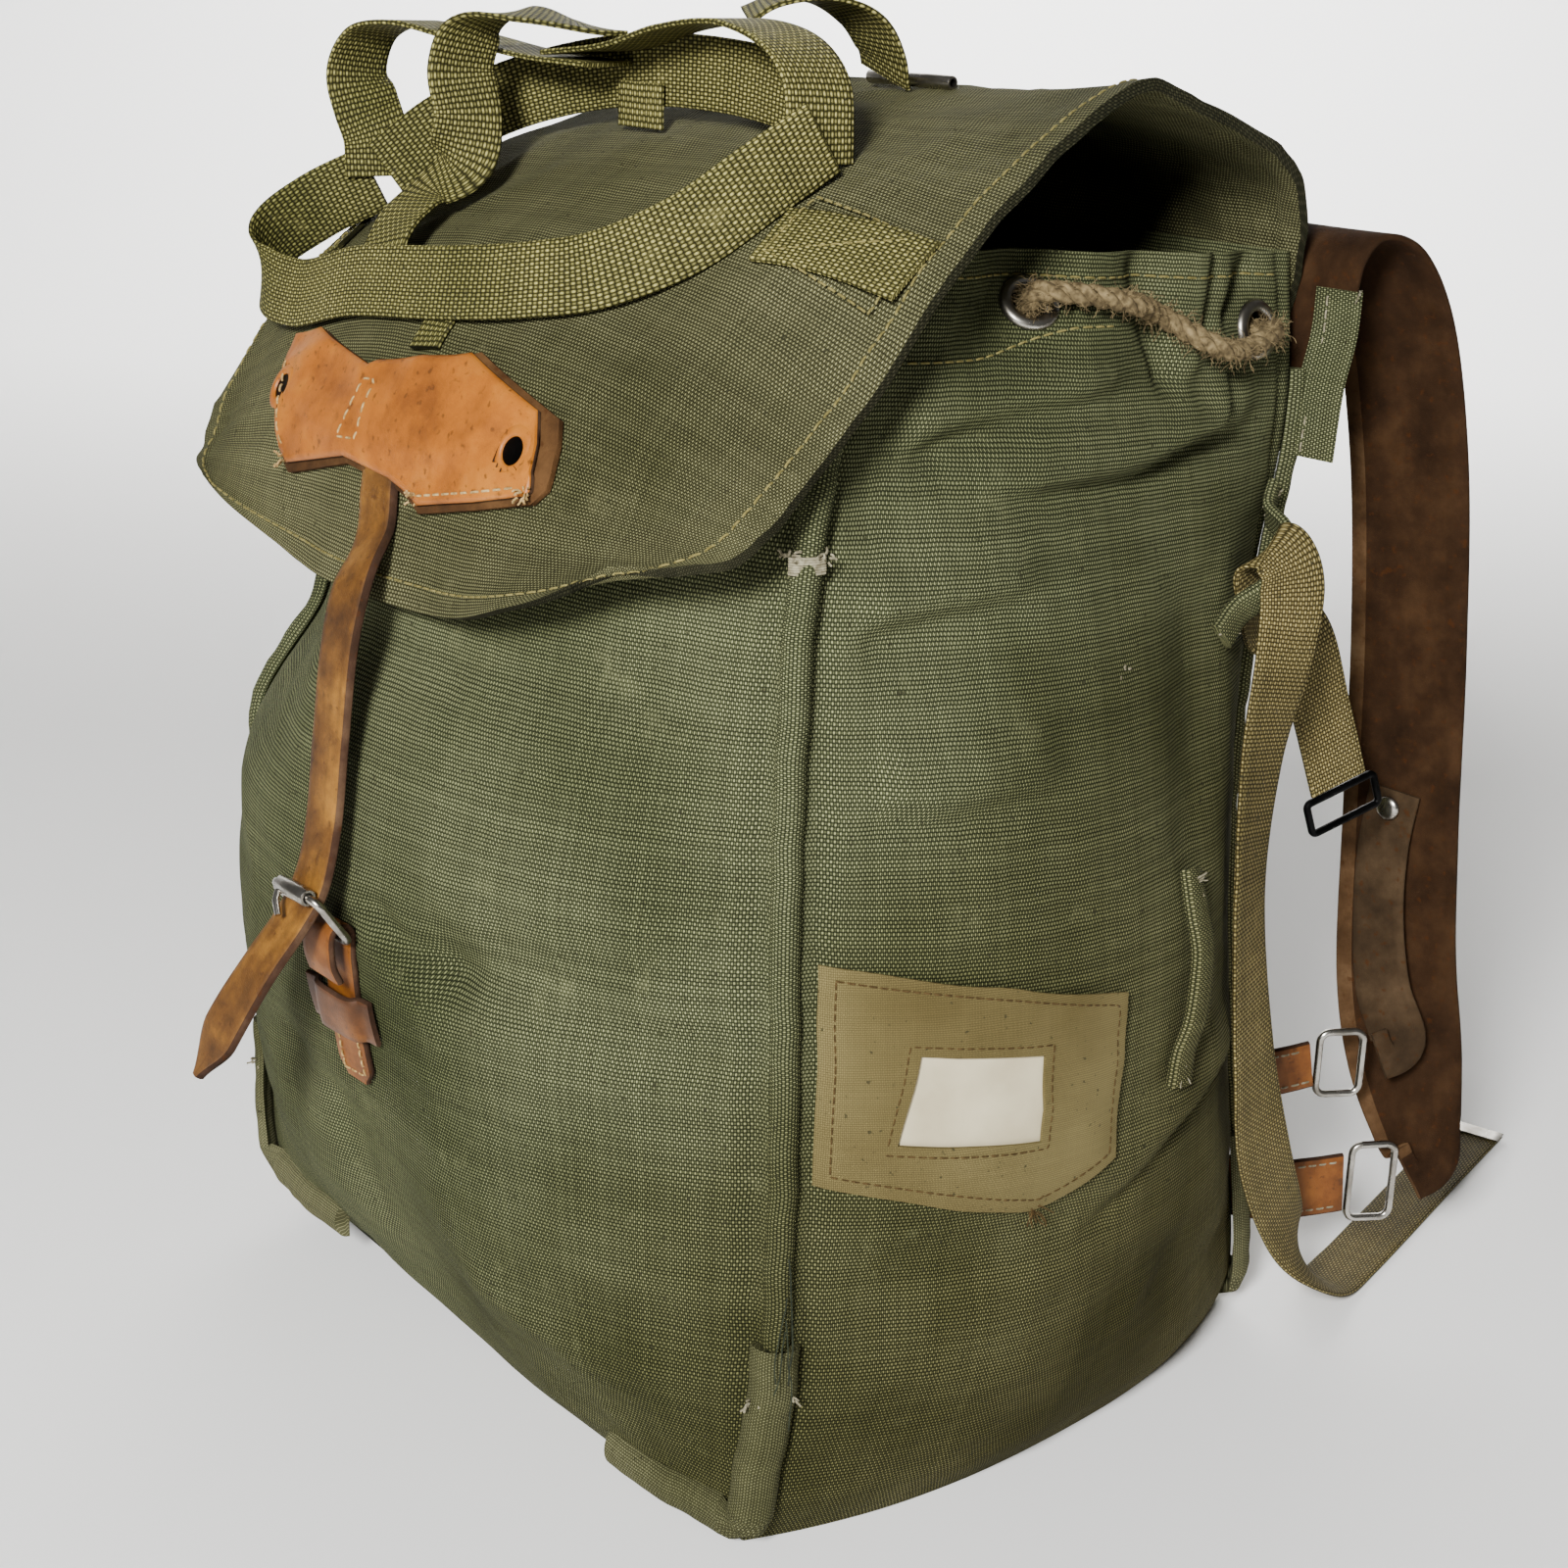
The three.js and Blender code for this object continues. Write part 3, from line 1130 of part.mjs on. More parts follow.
// Shoulder straps, their narrow auxiliary straps, anchor tabs and buckles
const SHOULDER = [
  { x: 138, y: 134, z: 352, nx: 0, ny: 1, nz: 0 },
  { x: 138, y: 136.5, z: 378, nx: 0, ny: 1, nz: 0 },
  { x: 138, y: 141.2, z: 396, nx: 0, ny: 1, nz: 0 },
  { x: 138, y: 142, z: 412, nx: 0, ny: 1, nz: -0.1 },
  { x: 139, y: 146, z: 424, nx: 0, ny: 0.7, nz: -0.7 },
  { x: 141, y: 156, z: 430, nx: 0, ny: 0, nz: -1 },
  { x: 144, y: 172, z: 424, nx: 0, ny: -0.6, nz: -0.8 },
  { x: 148, y: 186, z: 398, nx: 0.1, ny: -1, nz: -0.3 },
  { x: 154, y: 197, z: 345, nx: 0.1, ny: -1, nz: 0 },
  { x: 160, y: 202, z: 270, nx: 0.1, ny: -1, nz: 0 },
  { x: 165, y: 203, z: 195, nx: 0.15, ny: -1, nz: 0 },
  { x: 171, y: 203, z: 135, nx: 0.3, ny: -1, nz: 0 },
  { x: 179, y: 205, z: 97, nx: 0.6, ny: -0.8, nz: 0 },
  { x: 187, y: 206, z: 72, nx: 0.8, ny: -0.6, nz: 0 },
  { x: 193, y: 204.5, z: 58, nx: 0.83, ny: -0.55, nz: 0 },
  { x: 191.6, y: 197.2, z: 54, nx: 0.83, ny: -0.55, nz: 0 },
];
const SHOULDER_TAPER = { from: 0.72, end: 26 };
const shoulderWidth = (t) =>
  THREE.MathUtils.lerp(STRAP_WIDTH, SHOULDER_TAPER.end, smoothstep(SHOULDER_TAPER.from, 1, t));
const AUXILIARY = [
  { x: 163, y: 199.9, z: 212, nx: 0.1, ny: -1, nz: 0 },
  { x: 162, y: 197.5, z: 190, nx: 0.1, ny: -1, nz: 0 },
  { x: 165, y: 195, z: 160, nx: 0.15, ny: -1, nz: 0 },
  { x: 173, y: 192, z: 132, nx: 0.4, ny: -0.85, nz: 0 },
  { x: 184, y: 190.5, z: 111, nx: 0.8, ny: -0.6, nz: 0 },
  { x: 181, y: 182.6, z: 107.5, nx: 0.83, ny: -0.55, nz: 0 },
];
const TABS = [
  {
    name: "lower",
    width: 26,
    loop: 33,
    z: 50,
    rows: [
      { x: 126, y: 136, z: 49, nx: 0, ny: 1, nz: 0 },
      { x: 144, y: 139.2, z: 49.5, nx: 0, ny: 1, nz: 0 },
      { x: 160, y: 147, z: 50.5, nx: -0.5, ny: 0.9, nz: 0 },
      { x: 170, y: 160, z: 52, nx: -0.8, ny: 0.6, nz: 0 },
      { x: 177, y: 172.5, z: 53, nx: -0.83, ny: 0.55, nz: 0 },
    ],
  },
  {
    name: "upper",
    width: 20,
    loop: 27,
    z: 102,
    rows: [
      { x: 124, y: 129.6, z: 100, nx: 0, ny: 1, nz: 0 },
      { x: 143, y: 129.8, z: 101, nx: 0, ny: 1, nz: 0 },
      { x: 156, y: 140, z: 103, nx: -0.6, ny: 0.85, nz: 0 },
      { x: 162, y: 150, z: 104.5, nx: -0.8, ny: 0.6, nz: 0 },
      { x: 166, y: 158, z: 106, nx: -0.83, ny: 0.55, nz: 0 },
    ],
  },
];
const TAB_LOOP = { height: 18, corner: 4 };
const tabAlong = vec(0.55, 0.83, 0).normalize();
const WING = { x: 157, width: 20, thickness: 1.4, behind: 2.4 };
const RIVET = { radius: 5, height: 1.8, z: 205 };

for (const side of [1, -1]) {
  const hand = side > 0 ? "right" : "left";
  const mirrored = (v) => vec(side * v.x, v.y, v.z);
  const strap = bandGeometry(bandRows(SHOULDER, side), shoulderWidth, LEATHER, 28);
  addPiece(`shoulder_strap_${hand}`, strap, FINISH.leather);
  const wingRows = SHOULDER.slice(0, 4).map((row) => ({
    at: mirrored(vec(WING.x, row.y - WING.behind, row.z)),
    face: vec(0, 1, 0),
  }));
  addPiece(`back_wing_${hand}`, bandGeometry(wingRows, WING.width, WING.thickness, 6), FINISH.canvas);
  addPiece(`auxiliary_strap_${hand}`, bandGeometry(bandRows(AUXILIARY, side), 22, WEBBING, 10), FINISH.suede);
  const rivetAt = mirrored(vec(AUXILIARY[0].x - 0.6, AUXILIARY[0].y - WEBBING / 2 - 1.9, RIVET.z));
  addPiece(
    `rivet_${hand}`,
    turnedGeometry(
      [
        { r: 0, h: 0 },
        { r: RIVET.radius, h: 0 },
        { r: RIVET.radius * 0.7, h: RIVET.height },
        { r: 0, h: RIVET.height * 1.2 },
      ],
      8,
      rivetAt,
      mirrored(vec(0.1, -1, 0)),
    ),
    FINISH.steel,
  );
  for (const tab of TABS) {
    const band = bandGeometry(bandRows(tab.rows, side), tab.width, LEATHER, 8);
    addPiece(`tab_${tab.name}_${hand}`, band, FINISH.yoke);
    const end = tab.rows[tab.rows.length - 1];
    const centre = vec(end.x, end.y, end.z).addScaledVector(tabAlong, TAB_LOOP.height / 2 + WIRE + 1.6);
    const loop = wireLoop(centre, vec(0, 0, 1), tabAlong, tab.loop, TAB_LOOP.height, TAB_LOOP.corner);
    addPiece(`tab_buckle_${tab.name}_${hand}`, rodGeometry(loop.map(mirrored), WIRE, 5, true), FINISH.steel);
  }
}

export default rucksack;
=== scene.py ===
"""Canvas military rucksack, dressed in cloth, leather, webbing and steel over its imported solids.

Sizes are millimetres in the row's frame until a mesh is made. Meshes are in metres.
"""
from __future__ import annotations

import logging
import math
import random
from dataclasses import dataclass
from enum import Enum
from functools import partial
from typing import Callable, Sequence

import bpy
from mathutils import Matrix, Vector, noise


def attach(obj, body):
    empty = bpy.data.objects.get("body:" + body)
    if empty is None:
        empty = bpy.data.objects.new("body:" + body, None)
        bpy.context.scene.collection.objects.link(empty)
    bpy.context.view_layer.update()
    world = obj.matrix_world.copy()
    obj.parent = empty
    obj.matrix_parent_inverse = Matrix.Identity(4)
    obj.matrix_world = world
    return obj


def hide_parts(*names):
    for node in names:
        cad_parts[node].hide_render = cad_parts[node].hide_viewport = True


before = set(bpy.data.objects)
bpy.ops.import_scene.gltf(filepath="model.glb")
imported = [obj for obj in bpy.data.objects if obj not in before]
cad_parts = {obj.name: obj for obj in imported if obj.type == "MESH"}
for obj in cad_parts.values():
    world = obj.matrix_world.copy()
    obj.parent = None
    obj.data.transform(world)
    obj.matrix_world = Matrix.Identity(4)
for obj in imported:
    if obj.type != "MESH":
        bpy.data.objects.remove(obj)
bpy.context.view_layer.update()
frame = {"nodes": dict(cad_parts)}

# Short names of types: a pair of measures, rows of points, a surface over two measures.
Pair = tuple[float, float]
Grid = Sequence[Sequence[Vector]]
Surface = Callable[[float, float], Vector]
Socket = bpy.types.NodeSocket
Tree = bpy.types.NodeTree
LOG = logging.getLogger("rucksack")
MM = 0.001
BODY = "root"

# Thicknesses of the stuffs, width of the webbing, gap under what is sewn on, radius of the wire.
CANVAS = 2.0
LEATHER = 2.4
WEBBING = 1.8
WEB_WIDTH = 25.0
SEAT = 0.7
WIRE = 1.5


class Side(Enum):
    """The two sides of the bag, as signs of X."""

    RIGHT = 1
    LEFT = -1

    @property
    def word(self) -> str:
        """Name of the side in piece names."""
        return self.name.lower()


class Panel(Enum):
    """Cloth panels of the body that carry folds."""

    FRONT = "front"
    SIDE = "side"


def vec(x: float, y: float, z: float) -> Vector:
    """Short way to write a vector."""
    return Vector((x, y, z))


def lerp(a: float, b: float, t: float) -> float:
    """Value between two numbers."""
    return a + (b - a) * t


def smoothstep(low: float, high: float, value: float) -> float:
    """Smooth rise from 0 at low to 1 at high."""
    t = min(max((value - low) / (high - low), 0.0), 1.0)
    return t * t * (3.0 - 2.0 * t)


def spread(count: int, low: float, high: float) -> list[float]:
    """Evenly spaced values from low to high, count steps apart."""
    return [low + (high - low) * i / count for i in range(count + 1)]


def linear(hex_colour: str) -> tuple[float, float, float, float]:
    """Turn an sRGB hex colour into linear values.

    Args:
        hex_colour: six hex digits after a hash sign.

    Returns:
        Red, green and blue as linear light, and full alpha.
    """
    parts = [int(hex_colour[i : i + 2], 16) / 255.0 for i in (1, 3, 5)]
    lin = [c / 12.92 if c <= 0.04045 else ((c + 0.055) / 1.055) ** 2.4 for c in parts]
    return lin[0], lin[1], lin[2], 1.0


def per(size: float) -> float:
    """Scale of a pattern from the size of one thread, grain or spot in millimetres."""
    return 1 / (size * MM)


# Settings that many nodes share.
ADD = {"operation": "ADD"}
MULTIPLY = {"operation": "MULTIPLY"}
MULTIPLY_ADD = {"operation": "MULTIPLY_ADD"}
FRACTION = {"operation": "FRACT"}
COLOURS = {"data_type": "RGBA"}
TINT = {"data_type": "RGBA", "blend_type": "MULTIPLY"}
# Brown tint laid darker towards the back, the right side and the bottom of the bag, dark specks of cloth, and
# stains and specks of leather.
LOW_BACK_TINT = "#ffe6cc"
CLOTH_SPECK = "#26261a"
HIDE_STAIN = "#33200f"
HIDE_SPECK = "#3a200c"


def add_node(
    tree: Tree,
    kind: str,
    settings: dict[str, object] | None = None,
    inputs: dict[int | str, object] | None = None,
    out: int | str = 0,
) -> Socket:
    """Add one shader node with its settings and links.

    Args:
        tree: node tree that gets the node.
        kind: Blender's name of the node, after "ShaderNode".
        settings: properties of the node; "stops" fills a colour ramp with (place, hex) pairs.
        inputs: a value or a linked socket for each named or numbered input.
        out: which output is handed back.

    Returns:
        The chosen output socket, or the first input where the node has no output.
    """
    node = tree.nodes.new("ShaderNode" + kind)
    for key, value in (settings or {}).items():
        if key == "stops":
            ramp = node.color_ramp
            while len(ramp.elements) < len(value):
                ramp.elements.new(0.5)
            for element, (place, colour) in zip(ramp.elements, value):
                element.position = place
                element.color = linear(colour)
        else:
            setattr(node, key, value)
    for key, value in (inputs or {}).items():
        if isinstance(value, Socket):
            tree.links.new(value, node.inputs[key])
        else:
            node.inputs[key].default_value = value
    return node.outputs[out] if node.outputs else node.inputs[0]


@dataclass(frozen=True)
class Finish:
    """A finish: its name, the record's slot it stands for, and how its nodes are laid."""

    name: str
    slot: str

    def material(self) -> bpy.types.Material:
        """Make the material once and hand it back after that."""
        known = bpy.data.materials.get(self.name)
        if known:
            return known
        made = bpy.data.materials.new(self.name)
        made.use_nodes = True
        made.node_tree.nodes.clear()
        shader = self.lay(made.node_tree)
        add_node(made.node_tree, "OutputMaterial", None, {"Surface": shader})
        return made

    def lay(self, tree: Tree) -> Socket:
        """Lay the nodes and hand back the shader's socket."""
        raise NotImplementedError


def woven(
    tree: Tree, pitch_u: float, pitch_v: float, wobble: float, sunk: float
) -> tuple[Socket, Socket, Socket]:
    """Height of a plain weave over the flat coordinates of a cloth.

    Args:
        tree: node tree of the material.
        pitch_u: spacing of the lengthwise threads in millimetres.
        pitch_v: spacing of the cross threads in millimetres.
        wobble: how far threads stray from straight, in millimetres.
        sunk: height of the lengthwise threads against the cross threads.

    Returns:
        Height from 0 to 1, and a grey value for each lengthwise and each cross thread.
    """
    add = partial(add_node, tree)
    flat = add("UVMap", {"uv_map": "UVMap"})
    stray = add("TexNoise", None, {"Vector": flat, "Scale": per(14.29), "Detail": 2.0}, "Color")
    centred = add("VectorMath", {"operation": "SUBTRACT"}, {0: stray, 1: (0.5, 0.5, 0.5)})
    moved = add("VectorMath", MULTIPLY_ADD, {0: centred, 1: (wobble * MM * 2,) * 3, 2: flat})
    counted = add("VectorMath", MULTIPLY, {0: moved, 1: (per(pitch_u), per(pitch_v), 0.0)})
    split = add("SeparateXYZ", None, {0: counted}).node
    hump: list[Socket] = []
    number: list[Socket] = []
    for axis in (0, 1):
        along = split.outputs[axis]
        part = add("Math", FRACTION, {0: along})
        angle = add("Math", MULTIPLY, {0: part, 1: math.pi})
        hump.append(add("Math", {"operation": "SINE"}, {0: angle}))
        number.append(add("Math", {"operation": "FLOOR"}, {0: along}))
    crossing = add("Math", ADD, {0: number[0], 1: number[1]})
    halved = add("Math", MULTIPLY, {0: crossing, 1: 0.5})
    turn = add("Math", FRACTION, {0: halved})
    over = add("Math", MULTIPLY, {0: turn, 1: 2.0})
    heights: list[Socket] = []
    for lead, other, share in ((hump[1], hump[0], 1.0), (hump[0], hump[1], sunk)):
        rounded = add("Math", {"operation": "POWER"}, {0: lead, 1: 0.55})
        fall = add("Math", MULTIPLY_ADD, {0: other, 1: 0.62 * share, 2: 0.38 * share})
        heights.append(add("Math", MULTIPLY, {0: rounded, 1: fall}))
    height = add("Mix", {"data_type": "FLOAT"}, {0: over, 2: heights[0], 3: heights[1]})
    greys = [add("TexWhiteNoise", {"noise_dimensions": "1D"}, {"W": n}) for n in number]
    return height, greys[0], greys[1]


@dataclass(frozen=True)
class WovenCloth(Finish):
    """Plain-woven cotton or webbing: round threads over and under, matt, with painted shade between the
    threads and painted highlights on their crowns.
    """

    # The first colour is painted shade between the threads; the third is a painted highlight on their crowns,
    # also used for pale scuffs.
    gap: str
    thread: str
    highlight_and_scuff: str
    shade: str
    pitch_u: float
    pitch_v: float
    wear: float = 0.35
    gloss: float = 0.93
    depth: float = 0.55
    sunk: float = 0.62
    spec: float = 0.06
    wobble: float = 0.5
    vary: float = 0.22
    low_back_strength: float = 0.0

    def lay(self, tree: Tree) -> Socket:
        """Threads coloured by their height as painted shade in the gaps and painted highlights on the crowns,
        tinted in broad patches, specked dark and scuffed pale.
        """
        add = partial(add_node, tree)
        height, warp, weft = woven(tree, self.pitch_u, self.pitch_v, self.wobble, self.sunk)
        place = add("NewGeometry", None, None, "Position")
        # The ramp by thread height paints shade into the gaps and a highlight on the crowns.
        ramp = {"stops": [(0.05, self.gap), (0.5, self.thread), (0.95, self.highlight_and_scuff)]}
        threads = add("ValToRGB", ramp, {0: height})
        patch = add("TexNoise", None, {"Vector": place, "Scale": per(111.1), "Detail": 4.0})
        patch_cut = add("MapRange", None, {0: patch, 1: 0.4, 2: 0.68, 3: 0.0, 4: 0.75})
        shaded = add("Mix", TINT, {0: patch_cut, 6: threads, 7: linear(self.shade)}, 2)
        # Cloth is tinted browner and darker towards the back, the right side and the bottom, by its place on
        # the bag.
        slope = add("VectorMath", {"operation": "DOT_PRODUCT"}, {0: place, 1: (1.2, 1.0, -1.3)}, "Value")
        low_back_reach = add("Math", MULTIPLY_ADD, {0: patch, 1: 0.5, 2: slope})
        low_back_cut = add("MapRange", None, {0: low_back_reach, 1: 0.0, 2: 0.6, 3: 0.0, 4: self.low_back_strength})
        low_back_tinted = add("Mix", TINT, {0: low_back_cut, 6: shaded, 7: linear(LOW_BACK_TINT)}, 2)
        pair = add("Math", ADD, {0: warp, 1: weft})
        lift = add("MapRange", None, {0: pair, 1: 0.0, 2: 2.0, 3: 1 - self.vary, 4: 1 + self.vary})
        streaked = add("VectorMath", {"operation": "SCALE"}, {0: low_back_tinted, "Scale": lift})
        speck = add("TexNoise", None, {"Vector": place, "Scale": per(2.381), "Detail": 1.0})
        speck_cut = add("MapRange", None, {0: speck, 1: 0.7, 2: 0.78, 3: 0.0, 4: 0.75})
        specked = add("Mix", COLOURS, {0: speck_cut, 6: streaked, 7: linear(CLOTH_SPECK)}, 2)
        rubbed = {"Vector": place, "Scale": per(26.32), "Detail": 7.0, "Roughness": 0.7}
        scuff = add("TexNoise", None, rubbed)
        scuff_cut = add("MapRange", None, {0: scuff, 1: 0.6, 2: 0.76, 3: 0.0, 4: self.wear})
        colour = add("Mix", COLOURS, {0: scuff_cut, 6: specked, 7: linear(self.highlight_and_scuff)}, 2)
        fuzz = add("TexNoise", None, {"Vector": place, "Scale": per(1.1111), "Detail": 2.0})
        relief = add("Math", MULTIPLY_ADD, {0: fuzz, 1: 0.35, 2: height})
        bump = add("Bump", None, {"Strength": 0.75, "Distance": self.depth * MM, "Height": relief})
        matt = {"Roughness": self.gloss, "Specular IOR Level": self.spec}
        return add("BsdfPrincipled", None, {"Base Color": colour, "Normal": bump, **matt})


@dataclass(frozen=True)
class Hide(Finish):
    """Vegetable-tanned cattle hide: mottled, rubbed and stained, with a fine grain."""

    base: str
    light: str
    dark: str
    stain: float = 0.5
    gloss: float = 0.5
    grain: float = 0.25
    streak: float = 0.0
    spec: float = 0.4

    def lay(self, tree: Tree) -> Socket:
        """Three tones of hide in clouds, dark rubbed stains, scratches and a grain in the bump."""
        add = partial(add_node, tree)
        place = add("NewGeometry", None, None, "Position")
        flat = add("UVMap", {"uv_map": "UVMap"})
        clouds = {"Vector": place, "Scale": per(23.81), "Detail": 8.0, "Roughness": 0.65}
        cloud = add("TexNoise", None, clouds)
        ramp = {"stops": [(0.3, self.dark), (0.5, self.base), (0.72, self.light)]}
        tones = add("ValToRGB", ramp, {0: cloud})
        drawn = add("VectorMath", MULTIPLY, {0: flat, 1: (per(71.43), per(4.762), 1.0)})
        lines = {"Vector": drawn, "Scale": 1.0, "Detail": 5.0}
        line = add("TexNoise", {"noise_dimensions": "2D"}, lines)
        line_cut = add("MapRange", None, {0: line, 1: 0.46, 2: 0.7, 3: 0.0, 4: self.streak})
        streaked = add("Mix", COLOURS, {0: line_cut, 6: tones, 7: linear(self.dark)}, 2)
        blots = {"Vector": place, "Scale": per(10.526), "Detail": 6.0, "Roughness": 0.75}
        blot = add("TexNoise", None, blots)
        blot_cut = add("MapRange", None, {0: blot, 1: 0.56, 2: 0.74, 3: 0.0, 4: self.stain})
        stained = add("Mix", COLOURS, {0: blot_cut, 6: streaked, 7: linear(HIDE_STAIN)}, 2)
        speck = add("TexNoise", None, {"Vector": place, "Scale": per(3.0303), "Detail": 2.0})
        speck_cut = add("MapRange", None, {0: speck, 1: 0.62, 2: 0.72, 3: 0.0, 4: 0.65})
        colour = add("Mix", COLOURS, {0: speck_cut, 6: stained, 7: linear(HIDE_SPECK)}, 2)
        pores = add("TexVoronoi", {"feature": "DISTANCE_TO_EDGE"}, {"Vector": place, "Scale": per(0.9091)})
        grain = add("Math", MULTIPLY_ADD, {0: pores, 1: 0.5, 2: blot})
        bump = add("Bump", None, {"Strength": 0.6, "Distance": self.grain * MM, "Height": grain})
        shine = add("MapRange", None, {0: cloud, 1: 0.3, 2: 0.7, 3: self.gloss + 0.12, 4: self.gloss})
        polish = {"Roughness": shine, "Specular IOR Level": self.spec}
        return add("BsdfPrincipled", None, {"Base Color": colour, "Normal": bump, **polish})


@dataclass(frozen=True)
class Plated(Finish):
    """Nickel-plated or lacquered steel wire: bright with dull, darker worn patches."""

    bright: str
    dull: str
    gloss: float = 0.22

    def lay(self, tree: Tree) -> Socket:
        """Two tones of metal in patches, rougher where it is dull."""
        add = partial(add_node, tree)
        place = add("NewGeometry", None, None, "Position")
        patch = add("TexNoise", None, {"Vector": place, "Scale": per(11.11), "Detail": 3.0})
        colour = add("ValToRGB", {"stops": [(0.35, self.dull), (0.65, self.bright)]}, {0: patch})
        rough = add("MapRange", None, {0: patch, 1: 0.35, 2: 0.65, 3: self.gloss + 0.12, 4: self.gloss})
        return add("BsdfPrincipled", None, {"Base Color": colour, "Metallic": 1.0, "Roughness": rough})


@dataclass(frozen=True)
class Fibre(Finish):
    """Spun thread, jute or card: short fibres of two tones, quite matt."""

    base: str
    light: str
    size: float = 1.6667

    def lay(self, tree: Tree) -> Socket:
        """Two tones in fine clouds with a little bump."""
        add = partial(add_node, tree)
        place = add("NewGeometry", None, None, "Position")
        cloud = add("TexNoise", None, {"Vector": place, "Scale": per(self.size), "Detail": 4.0})
        colour = add("ValToRGB", {"stops": [(0.35, self.base), (0.65, self.light)]}, {0: cloud})
        bump = add("Bump", None, {"Strength": 0.5, "Distance": 0.2 * MM, "Height": cloud})
        matt = {"Roughness": 0.95, "Specular IOR Level": 0.2}
        return add("BsdfPrincipled", None, {"Base Color": colour, "Normal": bump, **matt})


# Cotton duck of the body: plain weave of 0.7 by 1.3 mm, olive threads with painted shade in the pits between
# them and painted highlights on their crowns.
CANVAS_FINISH = WovenCloth(
    "cotton_duck_canvas", "canvas", "#0b0c08", "#3b3f2a", "#8b8d66", "#929a7e", 0.72, 1.3, 0.16, low_back_strength=1.0
)
# The flap has taken more sun and dust than the body, so it is browner.
FLAP_FINISH = WovenCloth(
    "faded_flap_canvas", "canvas", "#0b0b07", "#403f29", "#8f8d66", "#929780", 0.72, 1.3, 0.16
)
# Folded edge of the flap, darker than the cloth.
HEM_EDGE = WovenCloth("darker_hem_edge", "canvas", "#0a0a06", "#2b2b1d", "#454332", "#8e9c82", 0.72, 1.3)
# Finer and paler cotton tape at the foot of the corners.
TAPE_FINISH = WovenCloth(
    "cotton_binding_tape", "binding", "#1b1c12", "#56553b", "#8c8a68", "#94987f", 0.6, 1.1
)
# Webbing of thick yellowish yarns that stand out as separate beads, with painted highlights on their crowns
# and painted shade between them.
WEB_FINISH = WovenCloth(
    "webbing_ribbed_weave", "webbing", "#0a0a04", "#45421f", "#aaa264", "#8d9672", 2.1, 1.35,
    wear=0.2, gloss=0.7, depth=0.7, sunk=0.7, spec=0.1,
)
# The side strap is a finer, more golden webbing than the harness.
SIDE_WEB_FINISH = WovenCloth(
    "golden_side_webbing", "webbing", "#0b0904", "#4b4223", "#a39462", "#918f72", 1.5, 1.15,
    wear=0.2, gloss=0.7, depth=0.5, sunk=0.7, spec=0.1,
)
# Thin khaki cloth of the label pocket, nearly smooth and even in colour.
TWILL_FINISH = WovenCloth(
    "khaki_twill_cloth", "twill", "#4b442b", "#6a603f", "#7a6f49", "#a59c86", 0.45, 0.8,
    wear=0.1, gloss=0.9, depth=0.2, sunk=0.8, vary=0.06,
)
# Grain side of the yoke: orange tan with a soft shine.
YOKE_FINISH = Hide("tan_saddle_leather", "tan_leather", "#955412", "#ab6b22", "#713d0c", 0.55, 0.42)
# Handled leather of the chape and the tabs, darker and duller than the yoke.
CHAPE_FINISH = Hide(
    "handled_saddle_leather", "tan_leather", "#6a3d14", "#86531c", "#3d210b", 0.7, 0.5, spec=0.25
)
# Worn closing strap: golden brown with long dark streaks.
STRAP_FINISH = Hide(
    "worn_bridle_leather", "brown_leather", "#5a3a14", "#8d6124", "#2a180a", 0.9, 0.48, 0.3, 0.28, 0.25
)
# Keeper rubbed smooth by the strap.
KEEPER_FINISH = Hide(
    "polished_keeper_leather", "brown_leather", "#4a2a0e", "#74461a", "#231206", 0.7, 0.4, spec=0.25
)
# Raw cut edges: grey brown and fibrous, with no shine.
EDGE_FINISH = Hide(
    "cut_leather_edge", "brown_leather", "#35241a", "#513d2c", "#1e140c", 0.6, 0.9, 0.5, spec=0.1
)
# Flesh side of the shoulder straps: dark brown and matt, darkened further as painted shade of their unlit
# face.
FLESH_AND_SHADE_FINISH = Hide(
    "flesh_leather_and_shade", "brown_leather", "#2b1c10", "#3d2a19", "#1b1109", 0.6, 0.85, 0.6, 0.15, 0.06
)
# Dull lining that shows as a dark rim under the yoke.
BACKING_FINISH = Hide(
    "yoke_lining_leather", "tan_leather", "#3f2a16", "#5a3f24", "#22150b", 0.6, 0.85, 0.4, spec=0.1
)
# Shoulder strap's edge where wear has brought out paler fibres.
RUBBED_EDGE = Hide(
    "rubbed_strap_edge", "brown_leather", "#473320", "#604a33", "#281a0e", 0.5, 0.85, 0.4, spec=0.08
)
# Split leather of the narrow straps: greyish, napped and without shine.
SUEDE_FINISH = Hide(
    "grey_split_leather", "suede", "#35291c", "#493a29", "#221a12", 0.35, 0.9, 0.35, 0.2, 0.06
)
# Bright plating with dull worn patches, and black lacquer with a low gloss.
STEEL_FINISH = Plated("nickel_plated_steel", "steel", "#b9b5ad", "#7d786f")
BLACK_FINISH = Plated("black_lacquered_steel", "black_steel", "#1c1c1c", "#0c0c0c", 0.4)
# Fibrous, quite matt stuffs: twisted jute, plain card and sewing threads.
ROPE_FINISH = Fibre("laid_jute_cord", "rope", "#453a26", "#7a6a4b", 2.857)
CARD_FINISH = Fibre("blank_card", "card", "#aca184", "#c0b698", 25.0)
PALE_THREAD = Fibre("pale_linen_thread", "canvas", "#625c48", "#8f8972")
WAXED_THREAD = Fibre("waxed_linen_thread", "tan_leather", "#7d6339", "#ae9262")
GOLD_THREAD = Fibre("olive_gold_thread", "canvas", "#5a532c", "#7e7545")
BROWN_THREAD = Fibre("brown_thread", "twill", "#33260f", "#4c3b20")
DARK_THREAD = Fibre("dark_green_thread", "canvas", "#171b12", "#282d20")


